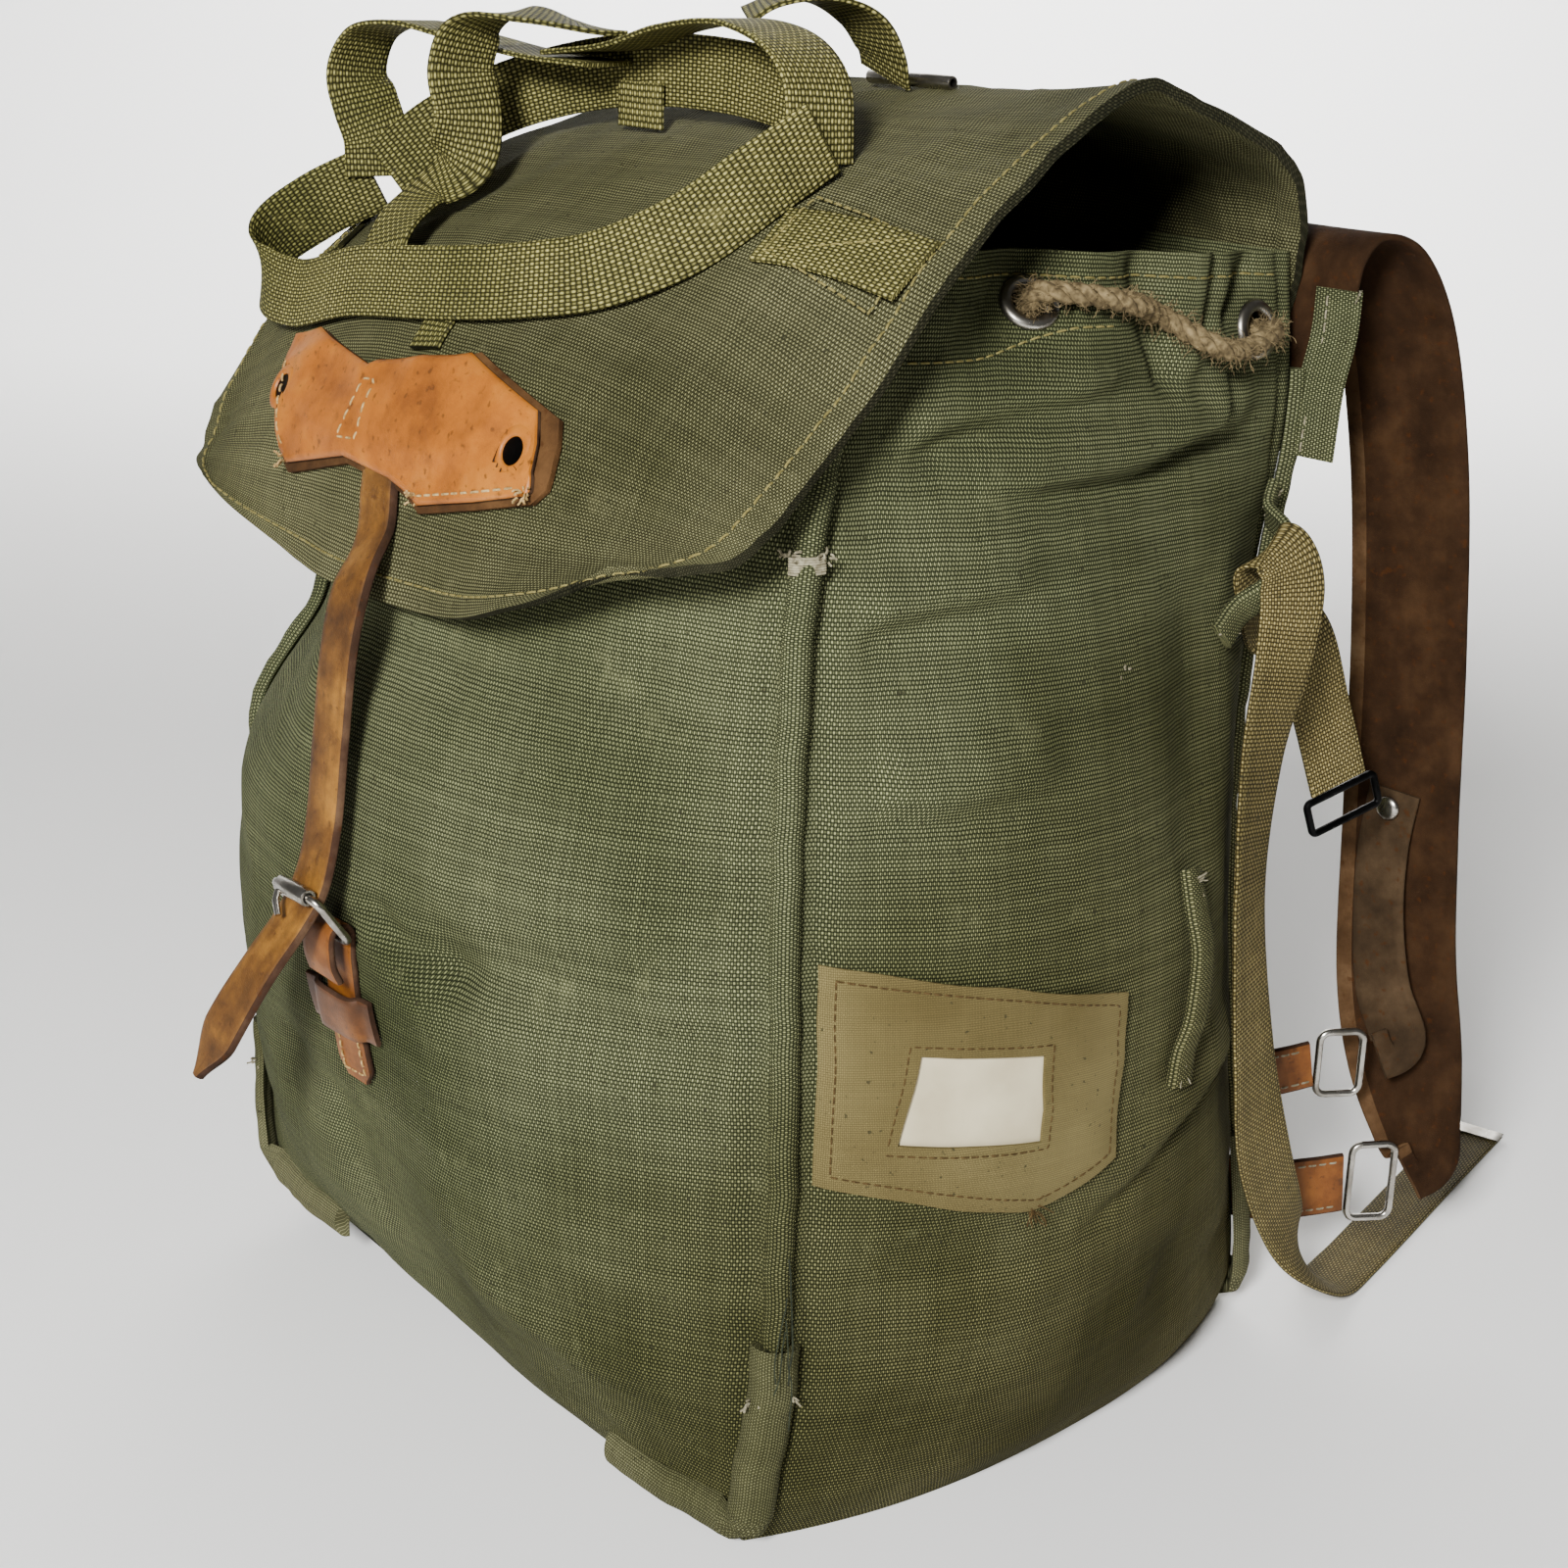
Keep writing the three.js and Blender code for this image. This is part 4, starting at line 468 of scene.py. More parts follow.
class MeshMaker:
    """Collects points and faces with flat coordinates, and turns them into one object."""

    def __init__(self, name: str) -> None:
        """Start an empty mesh of a given name."""
        self.name = name
        self.points: list[Vector] = []
        self.faces: list[tuple[int, ...]] = []
        self.flats: list[tuple[Pair, ...]] = []
        self.kinds: list[int] = []

    def add_points(self, points: Sequence[Vector]) -> int:
        """Add points and hand back the number of the first one."""
        first = len(self.points)
        self.points.extend(points)
        return first

    def face(self, corners: Sequence[int], flats: Sequence[Pair], kind: int = 0) -> None:
        """Add one face with a flat coordinate for each corner; kind 1 is a cut edge."""
        self.faces.append(tuple(corners))
        self.flats.append(tuple(flats))
        self.kinds.append(kind)

    def shell(
        self,
        outer: Grid,
        inner: Grid,
        flats: Sequence[Sequence[Pair]],
        keep: Callable[[int, int], bool] | None = None,
    ) -> None:
        """Close a sheet between two grids of points.

        Args:
            outer: rows of points of the face that looks out.
            inner: the same layout on the other face.
            flats: flat coordinates of the grid in millimetres.
            keep: which cells are kept; a cell left out becomes a hole with its own rim.
        """
        rows = len(outer)
        columns = len(outer[0])
        start = [self.add_points([p for row in grid for p in row]) for grid in (outer, inner)]
        kept = {
            (i, j) for i in range(rows - 1) for j in range(columns - 1) if keep is None or keep(i, j)
        }

        def corner(i: int, j: int, layer: int) -> int:
            """Number of one grid point."""
            return start[layer] + i * columns + j

        for i, j in kept:
            ring = [(i, j), (i, j + 1), (i + 1, j + 1), (i + 1, j)]
            flat = [flats[a][b] for a, b in ring]
            thick = (outer[i][j] - inner[i][j]).length * 0.7
            deep = [(x + thick, y + thick) for x, y in flat]
            self.face([corner(a, b, 0) for a, b in ring], flat)
            self.face([corner(a, b, 1) for a, b in reversed(ring)], list(reversed(flat)))
            beside = [(i - 1, j), (i, j + 1), (i + 1, j), (i, j - 1)]
            for k, cell in enumerate(beside):
                if cell in kept:
                    continue
                a = ring[k]
                b = ring[(k + 1) % 4]
                self.face(
                    [corner(*b, 0), corner(*a, 0), corner(*a, 1), corner(*b, 1)],
                    [flat[(k + 1) % 4], flat[k], deep[k], deep[(k + 1) % 4]],
                    1,
                )

    def sweep(
        self,
        rings: Grid,
        lengths: Sequence[float],
        around: Sequence[float],
        closed: bool = False,
        edges: Sequence[int] = (),
        shift: int = 0,
    ) -> None:
        """Join closed rings of points into a tube, capped unless it is closed on itself.

        Args:
            rings: rings with the same number of points.
            lengths: flat coordinate along the tube of each ring, and of the seam when closed.
            around: flat coordinate round the ring, one more than its points.
            closed: whether the last ring joins the first.
            edges: lanes of the ring that are cut edges.
            shift: how many lanes the first ring is turned where the last one joins it.
        """
        count = len(rings[0])
        starts = [self.add_points(ring) for ring in rings]
        links = len(rings) if closed else len(rings) - 1
        for i in range(links):
            n = (i + 1) % len(rings)
            turn = shift if n == 0 else 0
            for j in range(count):
                k = (j + 1) % count
                ahead = [starts[n] + (k + turn) % count, starts[n] + (j + turn) % count]
                self.face(
                    [starts[i] + j, starts[i] + k, *ahead],
                    [
                        (lengths[i], around[j]),
                        (lengths[i], around[j + 1]),
                        (lengths[i + 1], around[j + 1]),
                        (lengths[i + 1], around[j]),
                    ],
                    int(j in edges),
                )
        if not closed:
            first = list(range(starts[0], starts[0] + count))
            last = list(range(starts[-1], starts[-1] + count))
            self.face(list(reversed(first)), [(lengths[0], around[j]) for j in reversed(range(count))], 1)
            self.face(last, [(lengths[-1], around[j]) for j in range(count)], 1)

    def build(
        self, finish: Finish, *nodes: str, sharp_deg: float = 50.0, edge: Finish | None = None
    ) -> bpy.types.Object:
        """Make the object, give it its finish and seat it in the frame.

        Args:
            finish: finish of the piece.
            nodes: solids that the piece stands for.
            sharp_deg: edges sharper than this keep a hard line.
            edge: finish of its cut edges, where it is another.

        Returns:
            The finished object.
        """
        mesh = bpy.data.meshes.new(self.name)
        mesh.from_pydata([p * MM for p in self.points], [], self.faces)
        layer = mesh.uv_layers.new(name="UVMap")
        values = [c * MM for flats in self.flats for pair in flats for c in pair]
        layer.data.foreach_set("uv", values)
        mesh.materials.append(finish.material())
        if edge is not None:
            mesh.materials.append(edge.material())
            mesh.polygons.foreach_set("material_index", self.kinds)
        mesh.validate()
        mesh.polygons.foreach_set("use_smooth", [True] * len(mesh.polygons))
        mesh.set_sharp_from_angle(angle=math.radians(sharp_deg))
        piece = bpy.data.objects.new(self.name, mesh)
        bpy.context.scene.collection.objects.link(piece)
        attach(piece, BODY)
        if nodes:
            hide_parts(*nodes)
        LOG.info("%s: %d points", self.name, len(self.points))
        return piece


class SmoothPath:
    """A Catmull-Rom curve through points, evenly stepped or centripetal."""

    def __init__(self, points: Sequence[Vector], centripetal: bool = True, closed: bool = False) -> None:
        """Keep the points; closed joins the last to the first."""
        self.points = [Vector(p) for p in points]
        self.centripetal = centripetal
        self.closed = closed

    def point(self, t: float) -> Vector:
        """Point of the curve at a share of its length from 0 to 1."""
        pts = self.points
        count = len(pts)
        spans = count if self.closed else count - 1
        place = min(max(t, 0.0), 1.0) * spans
        i = min(int(place), spans - 1)
        w = place - i
        if self.closed:
            p0, p1, p2, p3 = (pts[(i + k) % count] for k in (-1, 0, 1, 2))
        else:
            p1 = pts[i]
            p2 = pts[i + 1]
            p0 = pts[i - 1] if i > 0 else 2 * p1 - p2
            p3 = pts[i + 2] if i + 2 < count else 2 * p2 - p1
        if self.centripetal:
            d0, d1, d2 = (max((b - a).length, 1e-4) ** 0.5 for a, b in ((p0, p1), (p1, p2), (p2, p3)))
            m1 = ((p1 - p0) / d0 - (p2 - p0) / (d0 + d1) + (p2 - p1) / d1) * d1
            m2 = ((p2 - p1) / d1 - (p3 - p1) / (d1 + d2) + (p3 - p2) / d2) * d1
        else:
            m1 = (p2 - p0) * 0.5
            m2 = (p3 - p1) * 0.5
        w2 = w * w
        w3 = w2 * w
        return (
            (2 * w3 - 3 * w2 + 1) * p1 + (w3 - 2 * w2 + w) * m1 + (3 * w2 - 2 * w3) * p2 + (w3 - w2) * m2
        )

    def tangent(self, t: float) -> Vector:
        """Unit direction of the curve."""
        return (self.point(min(t + 1e-4, 1.0)) - self.point(max(t - 1e-4, 0.0))).normalized()


@dataclass
class Seat:
    """A place on a surface and the way it looks."""

    point: Vector
    normal: Vector

    def raised(self, lift: float) -> Vector:
        """Point lifted off the surface."""
        return self.point + self.normal * lift

    def lifted(self, lift: float) -> Seat:
        """The same seat, lifted off the surface."""
        return Seat(self.raised(lift), self.normal)

    def row(self, lift: float) -> BandRow:
        """Station of a strap that lies over the seat."""
        return BandRow(self.raised(lift), self.normal)


@dataclass
class BandRow:
    """One station of a strap: its centre and the way its face looks."""

    at: Vector
    face: Vector


def rows_of(table: Sequence[tuple[float, ...]], side: Side = Side.RIGHT) -> list[BandRow]:
    """Stations from rows of x, y, z and the face's three parts, mirrored for the left side."""
    sign = side.value
    return [
        BandRow(vec(sign * x, y, z), vec(sign * nx, ny, nz)) for x, y, z, nx, ny, nz in table
    ]


class StrapPath:
    """Centre line and facing of a strap through its stations."""

    def __init__(self, rows: Sequence[BandRow]) -> None:
        """Draw curves through the centres and the faces."""
        self.path = SmoothPath([row.at for row in rows])
        self.faces = SmoothPath([row.face for row in rows], centripetal=False)

    def frame(self, t: float) -> tuple[Vector, Vector, Vector]:
        """Centre, face and direction across at a share of the strap's length."""
        along = self.path.tangent(t)
        face = self.faces.point(t)
        face = (face - along * face.dot(along)).normalized()
        return self.path.point(t), face, along.cross(face).normalized()

    def seat(self, t: float, across: float, lift: float, turn: float = 1.0) -> Seat:
        """Place on the strap, off its middle and off its centre plane."""
        at, face, beside = self.frame(t)
        return Seat(at + beside * across + face * lift, face * turn)


def band(
    name: str,
    rows: Sequence[BandRow],
    width: float | Callable[[float], float],
    thickness: float,
    steps: int,
    crown: float = 0.0,
    edges: Sequence[int] = (8, 9, 10, 19, 20, 21),
) -> MeshMaker:
    """A flat strap with rounded edges through its stations.

    Args:
        name: name of the piece.
        rows: stations along it.
        width: its width, or the width at a share of its length.
        thickness: its thickness.
        steps: how many parts it is made of.
        crown: how far its middle stands above its edges.
        edges: lanes of its section that are cut edges.

    Returns:
        The mesh, not yet built.
    """
    lanes = 8
    strap = StrapPath(rows)
    half = thickness / 2
    rings: list[list[Vector]] = []
    lengths: list[float] = []
    before: Vector | None = None
    run = 0.0
    for t in spread(steps, 0.0, 1.0):
        at, face, across = strap.frame(t)
        wide = (width(t) if callable(width) else width) / 2
        section = [(u * (wide - half * 0.6), half) for u in spread(lanes, -1.0, 1.0)]
        section += [(wide, half * 0.45), (wide, -half * 0.45)]
        section += [(u * (wide - half * 0.6), -half) for u in spread(lanes, 1.0, -1.0)]
        section += [(-wide, -half * 0.45), (-wide, half * 0.45)]
        rings.append([at + across * x + face * (y + crown * (1.0 - (x / wide) ** 2)) for x, y in section])
        run += (at - before).length if before is not None else 0.0
        before = at
        lengths.append(run)
    wide = width(0.5) if callable(width) else width
    top = [lerp(0.0, wide, j / lanes) for j in range(lanes + 1)]
    around = top + [wide + half * 0.6, wide + half * 1.4] + [wide + thickness + v for v in top]
    around += [2 * wide + thickness * 1.3, 2 * wide + thickness * 1.7, 2 * wide + 2 * thickness]
    made = MeshMaker(name)
    made.sweep(rings, lengths, around, edges=edges)
    return made


def rod_rings(points: Sequence[Vector], radius: float, sides: int, closed: bool) -> list[list[Vector]]:
    """Rings of a round rod along points, turned as little as possible from one to the next.

    Args:
        points: centre line of the rod.
        radius: its radius.
        sides: points of a ring.
        closed: whether its end joins its start.

    Returns:
        One ring of points for each point of the centre line.
    """
    count = len(points)
    reference = vec(0.31, 0.17, 0.93)
    rings = []
    for i, at in enumerate(points):
        ahead = points[(i + 1) % count] if closed else points[min(i + 1, count - 1)]
        behind = points[(i - 1) % count] if closed else points[max(i - 1, 0)]
        along = (ahead - behind).normalized()
        across = (reference - along * reference.dot(along)).normalized()
        beside = along.cross(across)
        reference = across
        turn = [2 * math.pi * k / sides for k in range(sides)]
        rings.append([at + across * (radius * math.cos(a)) + beside * (radius * math.sin(a)) for a in turn])
    return rings


def rod(made: MeshMaker, points: Sequence[Vector], radius: float, sides: int, closed: bool = False) -> None:
    """Add a round rod along points to a mesh.

    Args:
        made: mesh that gets the rod.
        points: its centre line.
        radius: its radius.
        sides: how many sides its section has.
        closed: whether its end joins its start.
    """
    rings = rod_rings(points, radius, sides, closed)
    shift = min(range(sides), key=lambda k: (rings[0][k] - rings[-1][0]).length) if closed else 0
    lengths = [float(i) for i in range(len(rings) + 1)]
    made.sweep(rings, lengths, [float(j) for j in range(sides + 1)], closed, shift=shift)


def wire_loop(
    centre: Vector, across: Vector, up: Vector, width: float, height: float, corner: float, steps: int = 6
) -> list[Vector]:
    """Centre line of a rounded rectangle of wire in the plane of two directions.

    Args:
        centre: its middle.
        across: direction of its width.
        up: direction of its height.
        width: its width.
        height: its height.
        corner: radius of its corners.
        steps: parts of a corner.

    Returns:
        Points round the loop.
    """
    points = []
    for x, y, start in ((1, 1, 0), (-1, 1, 90), (-1, -1, 180), (1, -1, 270)):
        for share in spread(steps, 0.0, 1.0):
            angle = math.radians(start + 90 * share)
            a = x * (width / 2 - corner) + corner * math.cos(angle)
            b = y * (height / 2 - corner) + corner * math.sin(angle)
            points.append(centre + across * a + up * b)
    return points


def turned(
    made: MeshMaker, profile: Sequence[Pair], segments: int, at: Vector, axis: Vector
) -> None:
    """Add a ring or sleeve turned about an axis; its profile of radius and height closes on itself.

    Args:
        made: mesh that gets it.
        profile: radius and height of its section.
        segments: steps round the axis.
        at: origin of the profile.
        axis: way the heights go.
    """
    turn = vec(0, 0, 1).rotation_difference(axis.normalized())
    rings = []
    for k in range(segments):
        angle = 2 * math.pi * k / segments
        ring = [vec(r * math.cos(angle), r * math.sin(angle), h) for r, h in profile]
        rings.append([at + turn @ p for p in ring])
    around = [float(j) for j in range(len(profile) + 1)]
    made.sweep(rings, [2.0 * k for k in range(segments + 1)], around, closed=True)


def seats_along(
    points: Sequence[Pair], place: Callable[[float, float], Seat], steps: int, lift: float
) -> list[Seat]:
    """Seats along a line of straight runs on a surface.

    Args:
        points: corners of the line in the surface's own two measures.
        place: seat on the surface at two measures.
        steps: parts of each run.
        lift: height of the line over the surface.

    Returns:
        The seats in order.
    """
    return [
        place(lerp(a, c, t), lerp(b, d, t)).lifted(lift)
        for (a, b), (c, d) in zip(points, points[1:])
        for t in spread(steps, 0.0, 1.0)
    ]


@dataclass(frozen=True)
class Stitch:
    """Sizes of a stitch: its length, the bare cloth after it, its thread's radius and its rise."""

    length: float
    gap: float
    radius: float
    rise: float


class ThreadWork:
    """Stitches, bar tacks, loose ends and tufts of one kind of thread, as one mesh."""

    def __init__(self, name: str, finish: Finish, seed: int) -> None:
        """Start with no stitches; the seed fixes the stray of every thread."""
        self.made = MeshMaker(name)
        self.finish = finish
        self.draw = random.Random(seed)

    def stitch(self, a: Seat, b: Seat, radius: float, rise: float) -> None:
        """One stitch from a to b that dives into the cloth at both ends.

        Args:
            a: seat of its start.
            b: seat of its end.
            radius: radius of the thread.
            rise: how high it stands.
        """
        points = []
        for t in (0.0, 0.18, 0.5, 0.82, 1.0):
            lift = rise * (1 - (2 * t - 1) ** 4) - 0.25
            normal = a.normal.lerp(b.normal, t)
            points.append(a.point.lerp(b.point, t) + normal * lift)
        rod(self.made, points, radius, 5)

    def run(self, seats: Sequence[Seat], kind: Stitch) -> None:
        """A row of stitches along a line of seats.

        Args:
            seats: places along the line, close together.
            kind: sizes of its stitches.
        """
        walk = [0.0]
        for a, b in zip(seats, seats[1:]):
            walk.append(walk[-1] + (b.point - a.point).length)

        def at(distance: float) -> Seat:
            """Seat at a distance along the line."""
            for i in range(len(seats) - 1):
                if distance <= walk[i + 1] or i == len(seats) - 2:
                    t = (distance - walk[i]) / max(walk[i + 1] - walk[i], 1e-6)
                    point = seats[i].point.lerp(seats[i + 1].point, t)
                    return Seat(point, seats[i].normal.lerp(seats[i + 1].normal, t).normalized())
            return seats[-1]

        place = 0.0
        while place + kind.length <= walk[-1]:
            shy = self.draw.uniform(-0.1, 0.1) * kind.length
            self.stitch(at(place), at(place + kind.length + shy), kind.radius, kind.rise)
            place += kind.length + kind.gap

    def hair(self, root: Vector, way: Vector, length: float, radius: float, curl: float, sag: float) -> None:
        """One loose thread that starts at a root and curls as it goes.

        Args:
            root: where it starts.
            way: where it heads.
            length: its length.
            radius: its radius.
            curl: how far it strays at each step.
            sag: how far it drops at each step.
        """
        heading = way.normalized()
        points = [root]
        steps = 7
        for _ in range(steps):
            stray = Vector([self.draw.uniform(-1, 1) for _ in range(3)])
            heading = (heading + stray * curl + vec(0, 0, -sag)).normalized()
            points.append(points[-1] + heading * (length / steps))
        rod(self.made, points, radius, 4)

    def tuft(self, seat: Seat, count: int, length: float, radius: float = 0.22) -> None:
        """A small brush of thread ends on a seat.

        Args:
            seat: where it grows.
            count: how many ends.
            length: length of an end.
            radius: radius of an end.
        """
        for _ in range(count):
            stray = Vector([self.draw.uniform(-1, 1) for _ in range(3)])
            root = seat.raised(0.1) + stray * 1.6
            way = seat.normal * 0.8 + stray
            self.hair(root, way, length * self.draw.uniform(0.5, 1.2), radius, 0.35, 0.1)

    def build(self) -> bpy.types.Object:
        """Make the object."""
        return self.made.build(self.finish, sharp_deg=80.0)


@dataclass(frozen=True)
class Fold:
    """A fold of a panel: its line in millimetres across and up, its width, height and crease."""

    panel: Panel
    line: tuple[Pair, ...]
    width: float
    height: float
    crease: float = 0.0
    start: float = 1.0
    end: float = 1.0
    soft: float = 5.0
    lip: float = -1.0

    def place(self, across: float, up: float) -> Pair:
        """Distance off the fold's line, more than nothing above it, and the share along it.

        Args:
            across: place across the panel.
            up: height.

        Returns:
            Distance and share.
        """
        best = 1e9
        share = 0.0
        above = 1.0
        spans = len(self.line) - 1
        for i in range(spans):
            ax, az = self.line[i]
            bx, bz = self.line[i + 1]
            dx = bx - ax
            dz = bz - az
            t = min(max(((across - ax) * dx + (up - az) * dz) / (dx * dx + dz * dz), 0.0), 1.0)
            away = math.hypot(across - ax - t * dx, up - az - t * dz)
            if away < best:
                best = away
                share = (i + t) / spans
                above = 1.0 if (up - az) * dx - (across - ax) * dz > 0 else -1.0
        return best * (-above if dx < 0 else above), share

    def relief(self, across: float, up: float) -> float:
        """Height of the fold at a place of its panel.

        Args:
            across: place across the panel.
            up: height.

        Returns:
            Height of the cloth there.
        """
        off, share = self.place(across, up)
        if abs(off) > 5 * self.width:
            return 0.0
        strength = lerp(self.start, self.end, share)
        if not self.crease:
            return strength * self.height * math.exp(-((off / self.width) ** 2))
        off *= -self.lip
        strength *= smoothstep(0.0, 0.2, share) * smoothstep(1.0, 0.75, share)
        below = smoothstep(-self.soft, self.soft, -off)
        lip = self.height * math.exp(-(((off + 0.8 * self.width) / self.width) ** 2))
        cut = self.crease * math.exp(-((off / self.soft) ** 2))
        hollow = 0.5 * self.crease * math.exp(-((off / (1.7 * self.width)) ** 2)) * (1.0 - below)
        return strength * (lip - cut - hollow)


# Line of the pull from the buckle, where the front is creased.
PULL = ((8, 204.6), (22, 202.5), (30, 199.3), (39, 195.3), (47, 192.6), (55, 190.2), (72, 188.5))
# Folds seen in the cloth: the pull from the buckle, dents beside it, and the slack of the sides.
# After the line: width, height, crease, strength at its start and end, softness, side of the lip.
FOLDS = (
    Fold(Panel.FRONT, PULL, 12, 2.5, 3.8, soft=5.6),
    Fold(Panel.FRONT, ((56, 193), (70, 198), (79, 201), (99, 204), (122, 206)), 12, -8.5, 0.0, 1.0, 0.4),
    Fold(Panel.FRONT, ((62, 190), (80, 191), (100, 189), (118, 187), (142, 184)), 11, -6.5, 0.0, 0.6, 1.0),
    Fold(Panel.FRONT, ((8, 132), (-4, 104), (6, 50)), 36, -10.0, 0.0, 0.8, 1.0),
    Fold(Panel.FRONT, ((-100, 168), (-45, 186), (-4, 198)), 12, 4.0, 2.4, 0.3, 1.0, 4.0),
    Fold(Panel.FRONT, ((-52, 126), (-59, 112), (-66, 92)), 12, -6.0, 0.0, 1.0, 0.4),
    Fold(Panel.FRONT, ((-27, 114), (-22, 100), (-12, 70)), 10, -4.5, 0.0, 1.0, 0.3),
    Fold(Panel.FRONT, ((-100, 296), (-40, 286), (30, 288), (110, 298)), 15, -5.0),
    Fold(Panel.FRONT, ((118, 255), (138, 215), (147, 175)), 12, 2.6, 1.6, 0.6, 0.6),
    Fold(Panel.FRONT, ((60, 70), (110, 58), (148, 62)), 13, 4.0),
    Fold(Panel.SIDE, ((-106, 318), (-87, 320), (-57, 325), (-31, 327)), 12, 6.5, 6.0, 1.0, 0.5, 5.0, 1.0),
    Fold(
        Panel.SIDE, ((-69, 355), (-22, 357), (17, 359), (50, 367), (98, 373)),
        12, 8.5, 8.5, 0.6, 1.0, 4.5, 1.0,
    ),
    Fold(Panel.SIDE, ((-86, 368), (-60, 375), (-31, 381), (19, 386)), 11, 7.0, 6.5, 1.0, 0.7, 5.0, 1.0),
    Fold(Panel.SIDE, ((-104, 264), (-83, 261), (-52, 265), (-30, 268)), 14, 6.0, 5.0, 1.0, 0.5, 6.0, 1.0),
    Fold(Panel.SIDE, ((-98, 362), (-77, 382), (-51, 403), (-27, 418)), 22, -9.0),
    Fold(Panel.SIDE, ((46, 305), (44, 270), (36, 245)), 20, -6.0),
    Fold(Panel.SIDE, ((14, 424), (22, 405), (29, 391)), 6, -7.0, 0.0, 0.6, 1.2),
    Fold(Panel.SIDE, ((47, 428), (47, 414), (46, 402)), 5, -5.5),
    Fold(Panel.SIDE, ((69, 424), (59, 410)), 5, -5.0),
    Fold(Panel.SIDE, ((52, 394), (45, 386)), 7, -5.5),
    Fold(Panel.SIDE, ((68, 392), (64, 378)), 6, -5.0),
    Fold(Panel.SIDE, ((-30, 100), (10, 122), (55, 140), (92, 143)), 14, 5.5, 4.5, 0.5, 1.0, 5.0, 1.0),
    Fold(Panel.SIDE, ((-95, 100), (-60, 112), (-20, 116)), 16, -4.5),
    Fold(Panel.SIDE, ((40, 70), (70, 52), (104, 46)), 14, -4.5),
)


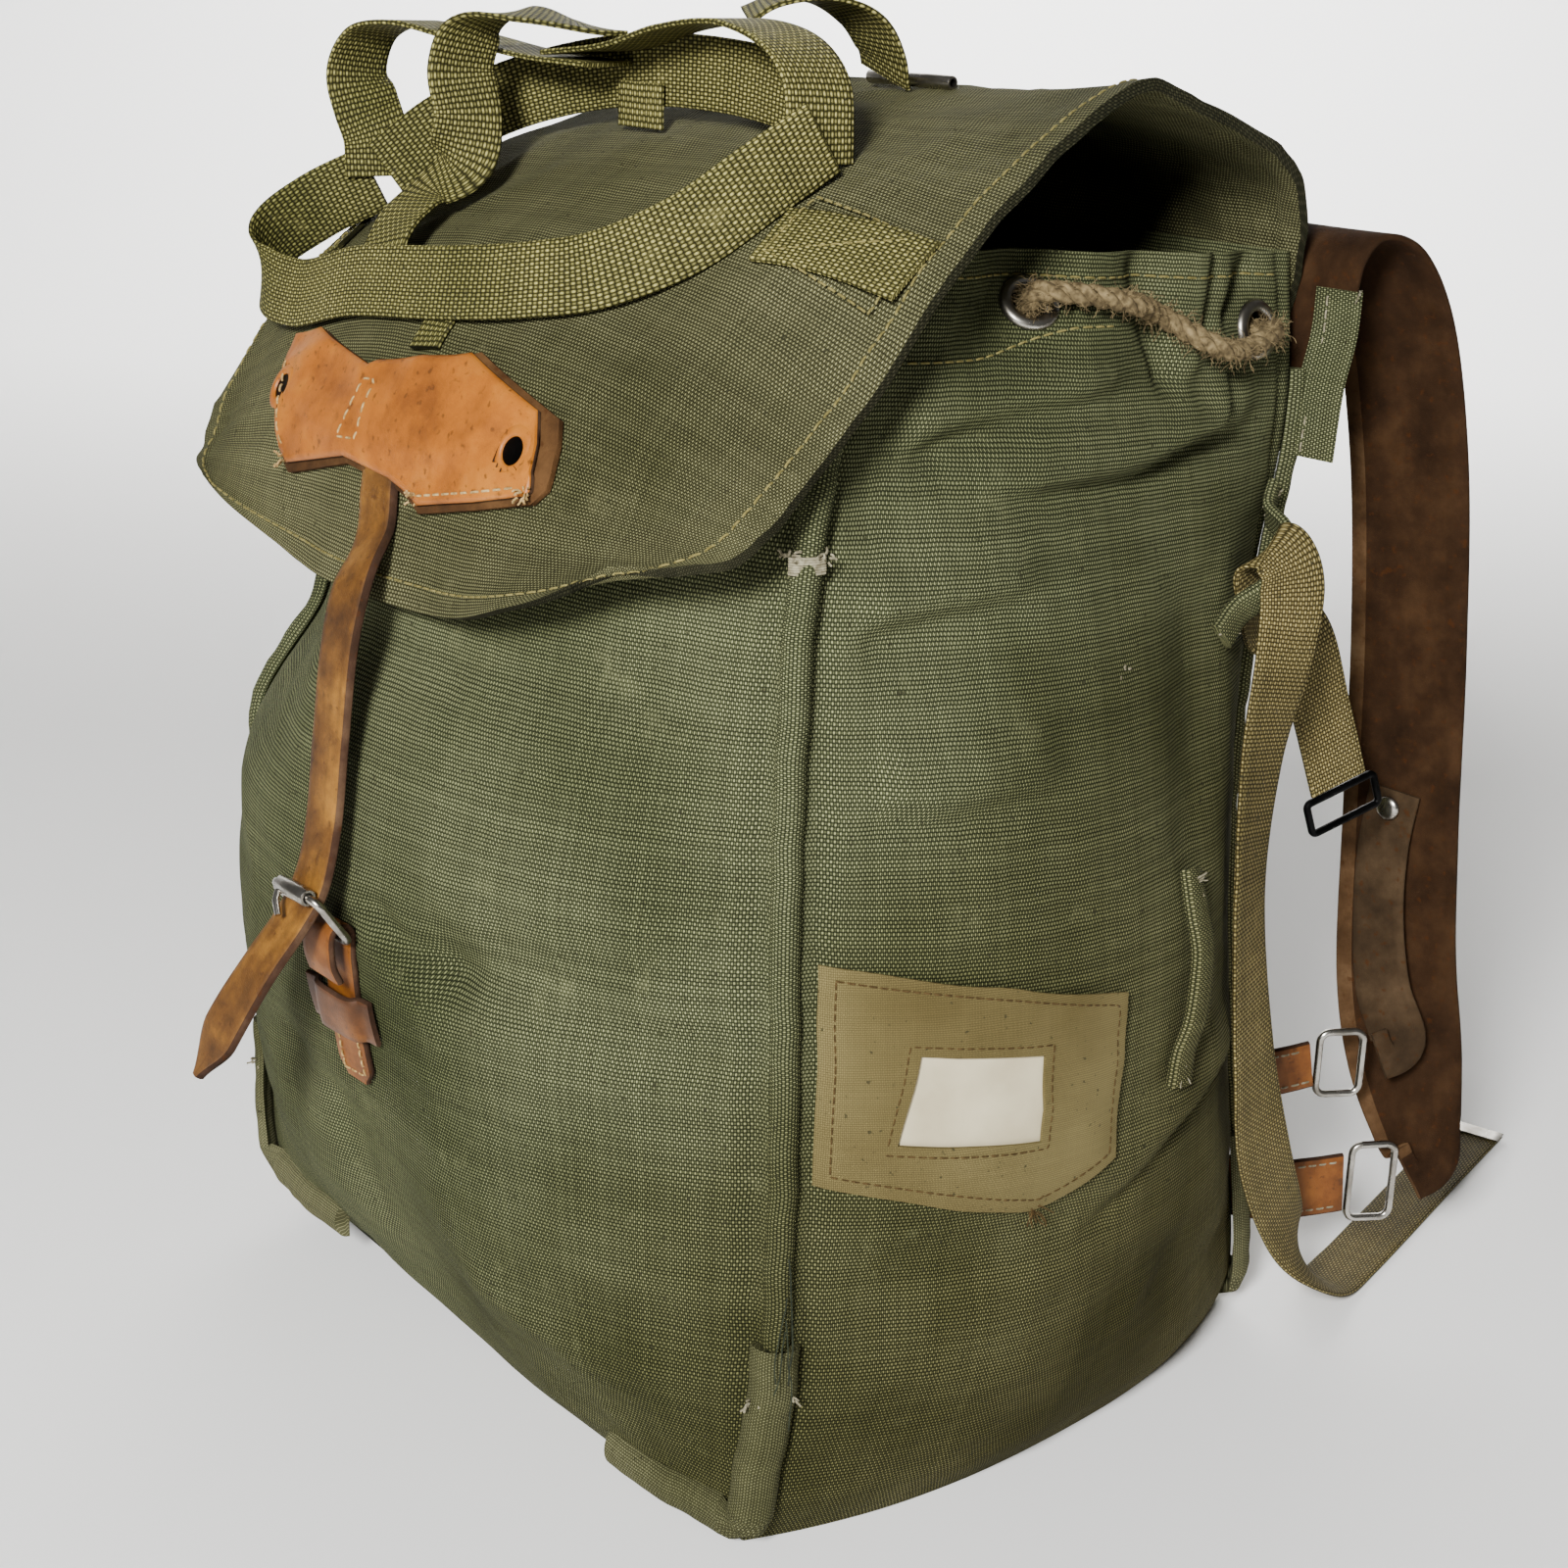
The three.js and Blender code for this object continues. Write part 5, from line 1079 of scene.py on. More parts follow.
class BagShape:
    """The cloth surfaces of the bag and places on them, in millimetres."""

    # z, seam x and y at the front, seam x and y at the back, swell of the front, side and back.
    SECTIONS = (
        (0, 150, -122, 150, 132, 0, 24, 4),
        (20, 157, -125, 154, 134, 16, 32, 6),
        (70, 163, -122, 153, 128, 46, 43, 8),
        (140, 163, -120, 149, 119, 64, 50, 11),
        (200, 162, -120, 146, 114, 67, 52, 13),
        (260, 160, -119, 142, 117, 55, 46, 12),
        (320, 156, -114, 142, 126, 33, 30, 8),
        (375, 147, -96, 145, 131, 19, 15, 4),
        (430, 119, -50, 140, 131, 9, 9, 2),
    )
    # Row, y in the middle and at the edges, z at the left, middle and right, half width.
    FLAP = (
        (0, 139.5, 138.5, 397, 397, 397, 136),
        (1, 139.5, 138, 419, 424, 420, 141),
        (2, 126, 122, 434, 453, 448, 150),
        (3, 95, 95, 442, 469, 465, 156),
        (4, 55, 55, 444, 476, 477, 158),
        (5, 20, 22, 442, 474, 485, 157),
        (6, -25, -25, 433, 464, 458, 160),
        (7, -66, -65, 416, 446, 431, 163),
        (8, -103, -100, 388, 424, 394, 165),
        (9, -131, -122, 356, 401, 372, 166),
        (10, -149, -137, 341, 371, 358, 163),
        (11, -158, -148, 331, 340, 349, 151),
        (12, -164, -157, 326, 310, 341, 124),
    )
    TOP = 430.0
    LAST_ROW = 12.0
    BULGE = 2.4
    CROWN = 2.2
    LEAN = 0.00012
    PIVOT_Y = 20.0
    GATHER_FROM = 352.0
    GATHER_HEIGHT = 4.4
    HEM = 391.0
    CORNER_LIFT = 14.0
    DRAWN_IN = 20.0
    CORNER_POINT = 5.0
    STEADY_ROW = 11.0
    ROW_LENGTH = 38.0
    LAST_ROW_LENGTH = 31.0
    FLARE = 9.0

    def __init__(self) -> None:
        """Keep the sections that were worked out before."""
        self._sections: dict[float, tuple[float, ...]] = {}
        self._rows: dict[float, tuple[float, ...]] = {}

    @staticmethod
    def columns(table: Sequence[Sequence[float]], value: float) -> tuple[float, ...]:
        """All columns of a table at a key, by Hermite steps between its rows.

        Args:
            table: rows that start with their key.
            value: key that is looked up.

        Returns:
            The columns after the key.
        """
        last = len(table) - 1
        i = 0
        while i < last - 1 and value > table[i + 1][0]:
            i += 1
        a = table[i]
        b = table[i + 1]
        before = table[max(i - 1, 0)]
        after = table[min(i + 2, last)]
        span = b[0] - a[0]
        t = (value - a[0]) / span
        t2 = t * t
        t3 = t2 * t
        out = []
        for c in range(1, len(a)):
            slope_a = (b[c] - before[c]) / (b[0] - before[0]) * span
            slope_b = (after[c] - a[c]) / (after[0] - a[0]) * span
            out.append(
                (2 * t3 - 3 * t2 + 1) * a[c]
                + (t3 - 2 * t2 + t) * slope_a
                + (3 * t2 - 2 * t3) * b[c]
                + (t3 - t2) * slope_b
            )
        return tuple(out)

    def section(self, z: float) -> tuple[float, ...]:
        """Body section at a height."""
        found = self._sections.get(z)
        if found is None:
            found = self.columns(self.SECTIONS, z)
            self._sections[z] = found
        return found

    def row(self, row: float) -> tuple[float, ...]:
        """Flap section at a row."""
        found = self._rows.get(row)
        if found is None:
            found = self.columns(self.FLAP, row)
            self._rows[row] = found
        return found

    @staticmethod
    def ripple(across: float, up: float, seed: float) -> float:
        """Slack of a worn canvas panel: broad swells, a few crumples and fine unevenness."""
        broad = 1.9 * noise.noise(vec(across / 70, up / 58, seed))
        crumple = noise.noise(vec(across / 38 + up / 90, up / 30, seed + 5))
        fine = 0.45 * noise.noise(vec(across / 17, up / 13, seed + 9))
        return broad + 1.9 * (0.22 - abs(crumple)) + fine

    def relief(self, panel: Panel, u: float, z: float, half: float, seed: float) -> float:
        """Folds, slack and seam puckers of a body panel, nothing at its seams.

        Args:
            panel: which folds count.
            u: place across from -1 to 1.
            z: height.
            half: half width of the panel.
            seed: which slack it has.

        Returns:
            Height over the plain panel.
        """
        across = u * half
        height = sum(f.relief(across, z) for f in FOLDS if f.panel is panel)
        height += self.ripple(across, z, seed)
        away = (1 - abs(u)) * half
        height += 1.3 * math.sin(z / 6.5 + 3 * noise.noise(vec(z / 40, u, seed))) * math.exp(-away / 12)
        groove = 2.4 * math.exp(-(((away - 7.5) / 3.0) ** 2)) * smoothstep(20, 60, z)
        return height * (1 - u**8) * smoothstep(-4, 14, z) - groove

    @staticmethod
    def lifted(x: float, y: float) -> float:
        """How far the base stands off the floor where the front left corner is crumpled."""
        return BagShape.CORNER_LIFT * smoothstep(35, -80, x) * smoothstep(0, -120, y)

    def _leaned(self, x: float, y: float, z: float) -> Vector:
        """Point with the mouth's lean towards the back, and the left front drawn in under the flap."""
        drawn = smoothstep(215, 280, z) * smoothstep(-20, -130, x) * smoothstep(110, -60, y)
        lift = self.lifted(x, y) * (1 - smoothstep(0, 90, z))
        drawn *= self.DRAWN_IN
        return vec(x + drawn, y + drawn, z * (1 - self.LEAN * (y - self.PIVOT_Y)) + lift)

    def front(self, u: float, z: float) -> Vector:
        """Front panel, u from the left seam (-1) to the right seam (1)."""
        front_x, front_y, _, _, sag, _, _ = self.section(z)
        swell = sag * (1 - abs(u) ** self.BULGE) + self.relief(Panel.FRONT, u, z, front_x, 1.0)
        return self._leaned(u * front_x, front_y - swell, z)

    def side(self, side: Side, u: float, z: float) -> Vector:
        """Side panel, u from the front seam (-1) to the back seam (1).

        Args:
            side: which side.
            u: place across.
            z: height.

        Returns:
            Point of the panel.
        """
        front_x, front_y, back_x, back_y, _, sag, _ = self.section(z)
        dx = back_x - front_x
        dy = back_y - front_y
        length = math.hypot(dx, dy)
        gathered = self.GATHER_HEIGHT * smoothstep(self.GATHER_FROM, self.TOP, z) * (1 - u**6)
        swell = sag * (1 - abs(u) ** self.BULGE) + gathered * math.cos(math.pi * 3.5 * (u + 0.12))
        swell += self.relief(Panel.SIDE, u, z, length / 2, 20.0 + side.value)
        swell += 0.8 * smoothstep(self.HEM - 1.5, self.HEM + 1.5, z) * (1 - u**8)
        t = (u + 1) / 2
        x = front_x + dx * t + dy / length * swell
        return self._leaned(side.value * x, front_y + dy * t - dx / length * swell, z)

    def back(self, u: float, z: float) -> Vector:
        """Back panel, u from the left seam (-1) to the right seam (1)."""
        _, _, back_x, back_y, _, _, sag = self.section(z)
        swell = sag * (1 - abs(u) ** self.BULGE)
        swell += 0.6 * self.ripple(u * back_x, z, 40.0) * (1 - u**8)
        return self._leaned(u * back_x, back_y + swell, z)

    def flap_base(self, s: float, row: float) -> Vector:
        """Flap without its small relief, s from the left edge (-1) to the right edge (1)."""
        y_mid, y_side, z_left, z_mid, z_right, half = self.row(row)
        crown = abs(s) ** self.CROWN
        z_side = z_left if s < 0 else z_right
        point = self.CORNER_POINT * math.exp(-(((row - self.STEADY_ROW) / 0.5) ** 2))
        half += point * smoothstep(-0.7, -1.0, s)
        return vec(s * half, y_mid + (y_side - y_mid) * crown, z_mid + (z_side - z_mid) * crown)

    def flap_normal(self, s: float, row: float) -> Vector:
        """Way the flap looks out."""
        along = self.flap_base(s + 0.004, row) - self.flap_base(s - 0.004, row)
        down = self.flap_base(s, row + 0.02) - self.flap_base(s, row - 0.02)
        return -along.cross(down).normalized()

    def flap_out(self, s: float, row: float) -> Vector:
        """Steady way out of the flap, also at its drawn-in front corners."""
        return self.flap_normal(s, min(row, self.STEADY_ROW))

    def to_edge(self, s: float, row: float) -> float:
        """Distance from a place on the flap to its nearest free edge."""
        return min((1 - abs(s)) * self.row(row)[5], (self.LAST_ROW - row) * self.LAST_ROW_LENGTH)

    def flap(self, s: float, row: float) -> Vector:
        """Upper face of the flap with its slack, hem and wavy edge.

        Args:
            s: place across from -1 to 1.
            row: row from the rear hem (0) to the front edge (12).

        Returns:
            Point of the flap.
        """
        base = self.flap_base(s, row)
        across = s * self.row(row)[5]
        length = row * self.ROW_LENGTH
        height = 1.3 * self.ripple(across, length, 60.0)
        height += 0.9 * (1 - smoothstep(9.0, 11.5, self.to_edge(s, row)))
        loose = smoothstep(10.6, 12.0, row) + smoothstep(0.8, 1.0, abs(s)) * smoothstep(4.0, 6.0, row)
        height += 2.2 * min(loose, 1.0) * math.sin(across / 17 + length / 23 + 2.0)
        height += self.FLARE * smoothstep(10.2, 12.4, row) * smoothstep(0, 80, across)
        return base + self.flap_out(s, row) * height

    @staticmethod
    def _falling(low: float, high: float, target: float, value: Callable[[float], float]) -> float:
        """Place between low and high where a falling value reaches its target.

        Args:
            low: start of the search.
            high: end of the search.
            target: value that is sought.
            value: function that falls.

        Returns:
            The place.
        """
        for _ in range(26):
            mid = (low + high) / 2
            if value(mid) > target:
                low = mid
            else:
                high = mid
        return (low + high) / 2

    def flap_place(self, x: float, row: float) -> Seat:
        """Place on the flap at a width and a row."""
        s = x / self.row(row)[5]
        return Seat(self.flap(s, row), self.flap_normal(s, row))

    def flap_seat(self, x: float, y: float) -> Seat:
        """Place on the flap under a plan position."""
        return self.flap_place(
            x, self._falling(1.6, 12.0, y, lambda r: self.flap_base(x / self.row(r)[5], r).y)
        )

    def flap_front_seat(self, x: float, z: float) -> Seat:
        """Place on the front of the flap at a height."""
        return self.flap_place(
            x, self._falling(8.0, 12.0, z, lambda r: self.flap_base(x / self.row(r)[5], r).z)
        )

    def _normal(self, surface: Surface, u: float, z: float, turn: float) -> Vector:
        """Way a body panel looks out."""
        along = surface(min(u + 0.012, 1.0), z) - surface(max(u - 0.012, -1.0), z)
        up = surface(u, min(z + 2.5, self.TOP)) - surface(u, max(z - 2.5, 0.0))
        return along.cross(up).normalized() * turn

    def front_seat(self, x: float, z: float) -> Seat:
        """Place on the front panel."""
        u = x / self.section(z)[0]
        return Seat(self.front(u, z), self._normal(self.front, u, z, 1))

    def side_seat(self, side: Side, y: float, z: float) -> Seat:
        """Place on a side panel at a depth and a height."""
        u = self._falling(-1.0, 1.0, -y, lambda a: -self.side(side, a, z).y)
        return Seat(self.side(side, u, z), self._normal(lambda a, b: self.side(side, a, b), u, z, side.value))


def offset_grid(grid: Grid, distance: float) -> list[list[Vector]]:
    """The grid moved along its own normals.

    Args:
        grid: rows of points.
        distance: how far it moves.

    Returns:
        The moved grid.
    """
    rows = len(grid)
    columns = len(grid[0])
    out = []
    for i in range(rows):
        line = []
        for j in range(columns):
            along = grid[i][min(j + 1, columns - 1)] - grid[i][max(j - 1, 0)]
            up = grid[min(i + 1, rows - 1)][j] - grid[max(i - 1, 0)][j]
            line.append(grid[i][j] + along.cross(up).normalized() * distance)
        out.append(line)
    return out


def patch(
    name: str,
    seats: Sequence[Sequence[Seat]],
    lift: float,
    thickness: float,
    flats: Sequence[Sequence[Pair]],
    bevel: float = 0.0,
    keep: Callable[[int, int], bool] | None = None,
) -> MeshMaker:
    """A flat piece of even thickness that lies on a grid of seats.

    Args:
        name: name of the piece.
        seats: rows of places on a surface.
        lift: gap below it.
        thickness: its thickness.
        flats: flat coordinates of the grid.
        bevel: how far its border drops, so that its edge looks rounded.
        keep: which cells are kept.

    Returns:
        The mesh, not yet built.
    """
    last_row = len(seats) - 1
    last_column = len(seats[0]) - 1
    outer = []
    for i, line in enumerate(seats):
        out_line = []
        for j, seat in enumerate(line):
            at_border = i in (0, last_row) or j in (0, last_column)
            out_line.append(seat.raised(lift + thickness - (bevel if at_border else 0.0)))
        outer.append(out_line)
    inner = [[seat.raised(lift) for seat in line] for line in seats]
    made = MeshMaker(name)
    made.shell(outer, inner, flats, keep)
    return made


def ridge(
    name: str, rows: Sequence[Seat], width: float, height: float, lift: float, rough: float
) -> MeshMaker:
    """A half-round ridge along seats, a little uneven as rolled cloth is.

    Args:
        name: name of the piece.
        rows: seats along it.
        width: its width.
        height: its height.
        lift: gap below it.
        rough: how uneven it is.

    Returns:
        The mesh, not yet built.
    """
    rings = []
    lengths = [0.0]
    for i, row in enumerate(rows):
        ahead = rows[min(i + 1, len(rows) - 1)].point
        behind = rows[max(i - 1, 0)].point
        along = (ahead - behind).normalized()
        out = (row.normal - along * row.normal.dot(along)).normalized()
        across = along.cross(out)
        uneven = rough * noise.noise(row.point / 9.0)
        slide = rough * noise.noise(row.point / 15.0 + vec(7, 7, 7))
        ring = []
        for angle in spread(10, math.pi, 0.0):
            x = math.cos(angle) * width / 2 + slide
            y = lift + math.sin(angle) * (height + uneven)
            ring.append(row.point + across * x + out * y)
        rings.append(ring)
        if i:
            lengths.append(lengths[-1] + (row.point - rows[i - 1].point).length)
    made = MeshMaker(name)
    made.sweep(rings, lengths, [j * width * 0.16 for j in range(12)])
    return made


@dataclass
class BagBody:
    """Canvas body: four walls, the base, rolled corner seams and the bindings at their feet."""

    shape: BagShape
    cell: float = 2.2
    slack: float = 1.12
    seam_width: float = 10.0
    seam_height: float = 6.2
    seam_top: float = 388.0
    binding_width: float = 16.5
    binding_height: float = 6.5
    binding_top: float = 84.0
    binding_foot: float = 11.0
    pierced: float = 7.6
    eyelets: tuple[Pair, ...] = ((3.4, 413.0), (108.0, 403.0))
    rim: float = 9.0
    hem_stitch: Stitch = Stitch(3.4, 1.6, 0.4, 0.45)

    def wall(
        self, name: str, point: Surface, half: float, turn: int, holes: Sequence[Vector] = ()
    ) -> list[Vector]:
        """One wall of the body as a closed sheet; hands back the inner points at its foot.

        Args:
            name: solid that it stands for.
            point: surface of the wall.
            half: half width of the wall.
            turn: 1 where the surface runs to the right as seen from outside, -1 where it runs to the left.
            holes: middles of the eyelets.

        Returns:
            Inner points at the foot of the wall.
        """
        columns = int(2 * half * self.slack / self.cell)
        across = [turn * u for u in spread(columns, -0.9985, 0.9985)]
        heights = spread(int(self.shape.TOP / self.cell), 0.0, self.shape.TOP)
        outer = [[point(u, z) for u in across] for z in heights]
        inner = offset_grid(outer, -CANVAS)
        for line in (0, len(heights) - 1):
            for j in range(columns + 1):
                inner[line][j].z = outer[line][j].z
        flats = [[(u * half * self.slack, z) for u in across] for z in heights]

        def keep(i: int, j: int) -> bool:
            """Whether a cell is clear of the holes."""
            middle = (outer[i][j] + outer[i + 1][j + 1]) / 2
            return all((middle - hole).length > self.pierced for hole in holes)

        made = MeshMaker(f"canvas_{name}")
        made.shell(outer, inner, flats, keep if holes else None)
        made.build(CANVAS_FINISH, name)
        return inner[0] if turn > 0 else list(reversed(inner[0]))

    def corner(self, side: Side, is_front: bool, z: float) -> Seat:
        """Place on a corner seam, looking out between its two walls."""
        point = (self.shape.front if is_front else self.shape.back)(float(side.value), z)
        return Seat(point, vec(0.78 * side.value, -0.62 if is_front else 0.62, 0).normalized())

    def build(self) -> None:
        """Make the walls, the base, the seams and the bindings."""
        shape = self.shape
        feet = {"front": self.wall("front_panel", shape.front, 160, 1)}
        feet["back"] = self.wall("back_panel", shape.back, 148, -1)
        for side in Side:
            holes = [self.eyelet_seat(side, y, z).point for y, z in self.eyelets]
            feet[side.word] = self.wall(
                f"side_panel_{side.word}", lambda u, z, s=side: shape.side(s, u, z), 128, side.value, holes
            )
        outline = feet["front"] + feet["right"] + feet["back"][::-1] + feet["left"][::-1]
        rings = []
        for z in (0.2, CANVAS):
            rings.append([vec(p.x * 0.994, p.y * 0.994, z + shape.lifted(p.x, p.y)) for p in outline])
        base = MeshMaker("canvas_base")
        base.sweep(rings, [0.0, 2.0], [float(j) for j in range(len(outline) + 1)])
        base.build(CANVAS_FINISH, "base_panel")
        for side in Side:
            for is_front in (True, False):
                self.edge(side, is_front)

    def eyelet_seat(self, side: Side, y: float, z: float) -> Seat:
        """Seat of an eyelet, levelled over its whole rim."""
        steps = ((self.rim, 0), (-self.rim, 0), (0, self.rim), (0, -self.rim))
        places = [self.shape.side_seat(side, y + a, z + b).point for a, b in steps]
        normal = (places[0] - places[1]).cross(places[2] - places[3]).normalized() * side.value
        return Seat(self.shape.side_seat(side, y, z).point, normal)

    def edge(self, side: Side, is_front: bool) -> None:
        """Rolled seam and binding of one corner.

        Args:
            side: which side.
            is_front: whether it is a front corner.
        """
        place = "front" if is_front else "back"
        heights = spread(80, self.binding_top - 6, self.seam_top)
        rows = [self.corner(side, is_front, z) for z in heights]
        seam = ridge(f"rolled_seam_{place}_{side.word}", rows, self.seam_width, self.seam_height, 0.2, 0.9)
        seam.build(CANVAS_FINISH, *([f"seam_front_{side.word}"] if is_front else []))
        standing = [self.corner(side, is_front, z) for z in spread(24, self.binding_top, 15.0)]
        foot = []
        for share in spread(26, 0.04, 0.42):
            u = side.value * (1 - share)
            point = (self.shape.front if is_front else self.shape.back)(u, self.binding_foot)
            turned_to = self.corner(side, is_front, self.binding_foot).normal.lerp(
                vec(0.1 * side.value, -1 if is_front else 1, 0), min(0.4 + share * 6, 1.0)
            )
            foot.append(Seat(point, turned_to.normalized()))
        name = f"binding_tape_{place}_{side.word}"
        binding = ridge(name, standing + foot, self.binding_width, self.binding_height, 1.0, 1.0)
        binding.build(TAPE_FINISH, f"binding_{place}_{side.word}")

    def dress(self) -> None:
        """Hem stitches of the mouth, bar tacks at the corners and loose thread ends."""
        shape = self.shape
        hem = ThreadWork("mouth_hem_stitches", GOLD_THREAD, 3)
        for side in Side:
            depths = spread(60, -62.0, 34.0)
            low = [shape.side_seat(side, y, 397 + 10 * smoothstep(-30, 20, y)) for y in depths]
            hem.run(low, self.hem_stitch)
            high = [shape.side_seat(side, y, shape.TOP - 8.0) for y in spread(70, -40.0, 122.0)]
            hem.run(high, self.hem_stitch)
        hem.build()
        tacks = ThreadWork("bar_tacks", PALE_THREAD, 5)
        for side in Side:
            for z in (342.0, 62.0):
                seat = self.corner(side, True, z).lifted(4.6)
                for k in range(7):
                    a = Seat(seat.point + vec(-3.6 * side.value, -4.4, k * 0.8 - 3), seat.normal)
                    b = Seat(seat.point + vec(3.2 * side.value, 4.4, k * 0.8 - 2.4), seat.normal)
                    tacks.stitch(a, b, 0.5, 1.6)
                for end in (a, b):
                    tacks.tuft(end, 9, 3.4, 0.4)
            tacks.tuft(self.corner(side, False, 70.0).lifted(5.0), 9, 5.0)
        tacks.build()
        loose = ThreadWork("loose_dark_threads", DARK_THREAD, 8)
        for z, length in ((118.0, 44.0), (104.0, 30.0), (96.0, 36.0), (92.0, 22.0)):
            seat = self.corner(Side.RIGHT, True, z)
            loose.hair(seat.raised(4.0) + vec(4, 0, 0), vec(0.25, -0.1, -1), length, 0.3, 0.22, 0.12)
        loose.build()


@dataclass
class TopFlap:
    """Canvas flap with a sewn hem, draped from the back over the top to the front."""

    shape: BagShape
    columns: int = 104
    rows: int = 132
    hem: float = 9.0
    hem_stitch: Stitch = Stitch(3.6, 1.5, 0.42, 0.5)

    def build(self) -> None:
        rows = spread(self.rows, 0.0, self.shape.LAST_ROW)
        places = spread(self.columns, 1.0, -1.0)
        outer = [[self.shape.flap(s, row) for s in places] for row in rows]
        inner = []
        for i, row in enumerate(rows):
            line = []
            for j, s in enumerate(places):
                thick = CANVAS * lerp(2.1, 1.0, smoothstep(8.0, 11.0, self.shape.to_edge(s, row)))
                line.append(outer[i][j] - self.shape.flap_out(s, row) * thick)
            inner.append(line)
        middle = self.columns // 2
        walk = [0.0]
        for a, b in zip(outer, outer[1:]):
            walk.append(walk[-1] + (b[middle] - a[middle]).length)
        halves = [self.shape.row(row)[5] for row in rows]
        flats = [[(s * half, way) for s in places] for half, way in zip(halves, walk)]
        made = MeshMaker("canvas_flap")
        made.shell(outer, inner, flats)
        piece = made.build(FLAP_FINISH, "flap", edge=HEM_EDGE)
        LOG.info("flap: %.0f mm from the rear hem to the front edge", walk[-1])

    def dress(self) -> None:
        """Hem stitches inside all three free edges and along the rear ridge."""
        shape = self.shape
        hem = ThreadWork("flap_hem_stitches", GOLD_THREAD, 11)
        low = shape.LAST_ROW - self.hem / shape.LAST_ROW_LENGTH
        for sign in (-1, 1):
            seats = []
            for row in spread(120, 1.0, low):
                half = shape.row(row)[5]
                seats.append(shape.flap_place(sign * (half - self.hem), row))
            hem.run(seats, self.hem_stitch)
        half = shape.row(low)[5] - self.hem
        hem.run([shape.flap_place(x, low) for x in spread(90, -half, half)], self.hem_stitch)
        for row in (1.25, 1.55):
            seats = [shape.flap_place(x, row) for x in spread(80, -128.0, 128.0)]
            hem.run(seats, self.hem_stitch)
        hem.build()


@dataclass
class MouthGear:
    """Nickel eyelets in the mouth and the jute cord drawn through them."""

    # Radius and height of an eyelet's section.
    PROFILE = (
        (6.2, -1.4), (7.0, -1.4), (7.0, 1.0), (10.8, 1.0), (10.6, 1.9),
        (9.7, 2.7), (8.4, 3.1), (7.2, 3.0), (6.4, 2.4), (6.2, 1.5),
    )

    body: BagBody
    cord_radius: float = 3.9
    strand_count: int = 3
    strand_radius: float = 2.05
    strand_off: float = 1.9
    twist: float = 19.0
    cord_steps: int = 720

    def build(self) -> None:
        """Make the eyelets and the cord."""
        for side in Side:
            for name, (y, z) in zip(("front", "rear"), self.body.eyelets):
                seat = self.body.eyelet_seat(side, y, z)
                made = MeshMaker(f"nickel_eyelet_{name}_{side.word}")
                turned(made, self.PROFILE, 32, seat.point, seat.normal)
                made.build(STEEL_FINISH, f"eyelet_{name}_{side.word}")
        self.cord()

    def side_run(self, side: Side) -> list[Vector]:
        """Cord of one side from inside the front eyelet to inside the rear one."""
        shape = self.body.shape
        (y0, z0), (y1, z1) = self.body.eyelets
        seats = [self.body.eyelet_seat(side, y, z) for y, z in self.body.eyelets]
        low = vec(0, 0, -1.2)
        into = [seats[0].raised(d) + low for d in (-10.0, -3.0, 4.0, 9.0)]
        out = [seats[1].raised(d) + low for d in (9.0, 4.0, -3.0, -10.0)]
        hang = []
        for t, sag in ((0.24, -1.0), (0.42, 2.0), (0.6, 9.0), (0.78, 8.0)):
            z = lerp(z0, z1, t) - sag
            hang.append(shape.side_seat(side, lerp(y0, y1, t), z).raised(self.cord_radius + 5.0))
        return into + hang + out

    def cord(self) -> None:
        """Three twisted strands along one closed loop, with stray fibres."""
        points = self.side_run(Side.RIGHT)
        points += [vec(78, 116, 404), vec(-78, 116, 404)]
        points += list(reversed(self.side_run(Side.LEFT)))
        points += [vec(-62, -36, 413), vec(62, -36, 413)]
        path = SmoothPath(points, closed=True)
        steps = self.cord_steps
        centre = [path.point(i / steps) for i in range(steps)]
        total = sum((centre[i] - centre[i - 1]).length for i in range(steps))
        rings = rod_rings(centre, 1.0, 4, True)
        turns = round(total / self.twist)
        made = MeshMaker("jute_drawstring")
        walked = 0.0
        strands: list[list[Vector]] = [[] for _ in range(self.strand_count)]
        for i in range(steps):
            across = rings[i][0] - centre[i]
            beside = rings[i][1] - centre[i]
            for k in range(self.strand_count):
                angle = 2 * math.pi * (turns * walked / total + k / self.strand_count)
                off = across * math.cos(angle) + beside * math.sin(angle)
                strands[k].append(centre[i] + off * self.strand_off)
            walked += (centre[(i + 1) % steps] - centre[i]).length
        for strand in strands:
            rod(made, strand, self.strand_radius, 8, closed=True)
        made.build(ROPE_FINISH, "drawstring", sharp_deg=80.0)
        fibres = ThreadWork("jute_fibres", ROPE_FINISH, 21)
        for i in range(steps):
            if abs(centre[i].x) < 120:
                continue
            for _ in range(5):
                stray = Vector([fibres.draw.uniform(-1, 1) for _ in range(3)])
                root = centre[i] + stray.normalized() * 3.4
                fibres.hair(root, stray, fibres.draw.uniform(2.0, 6.5), 0.1, 0.55, 0.05)
        fibres.build()


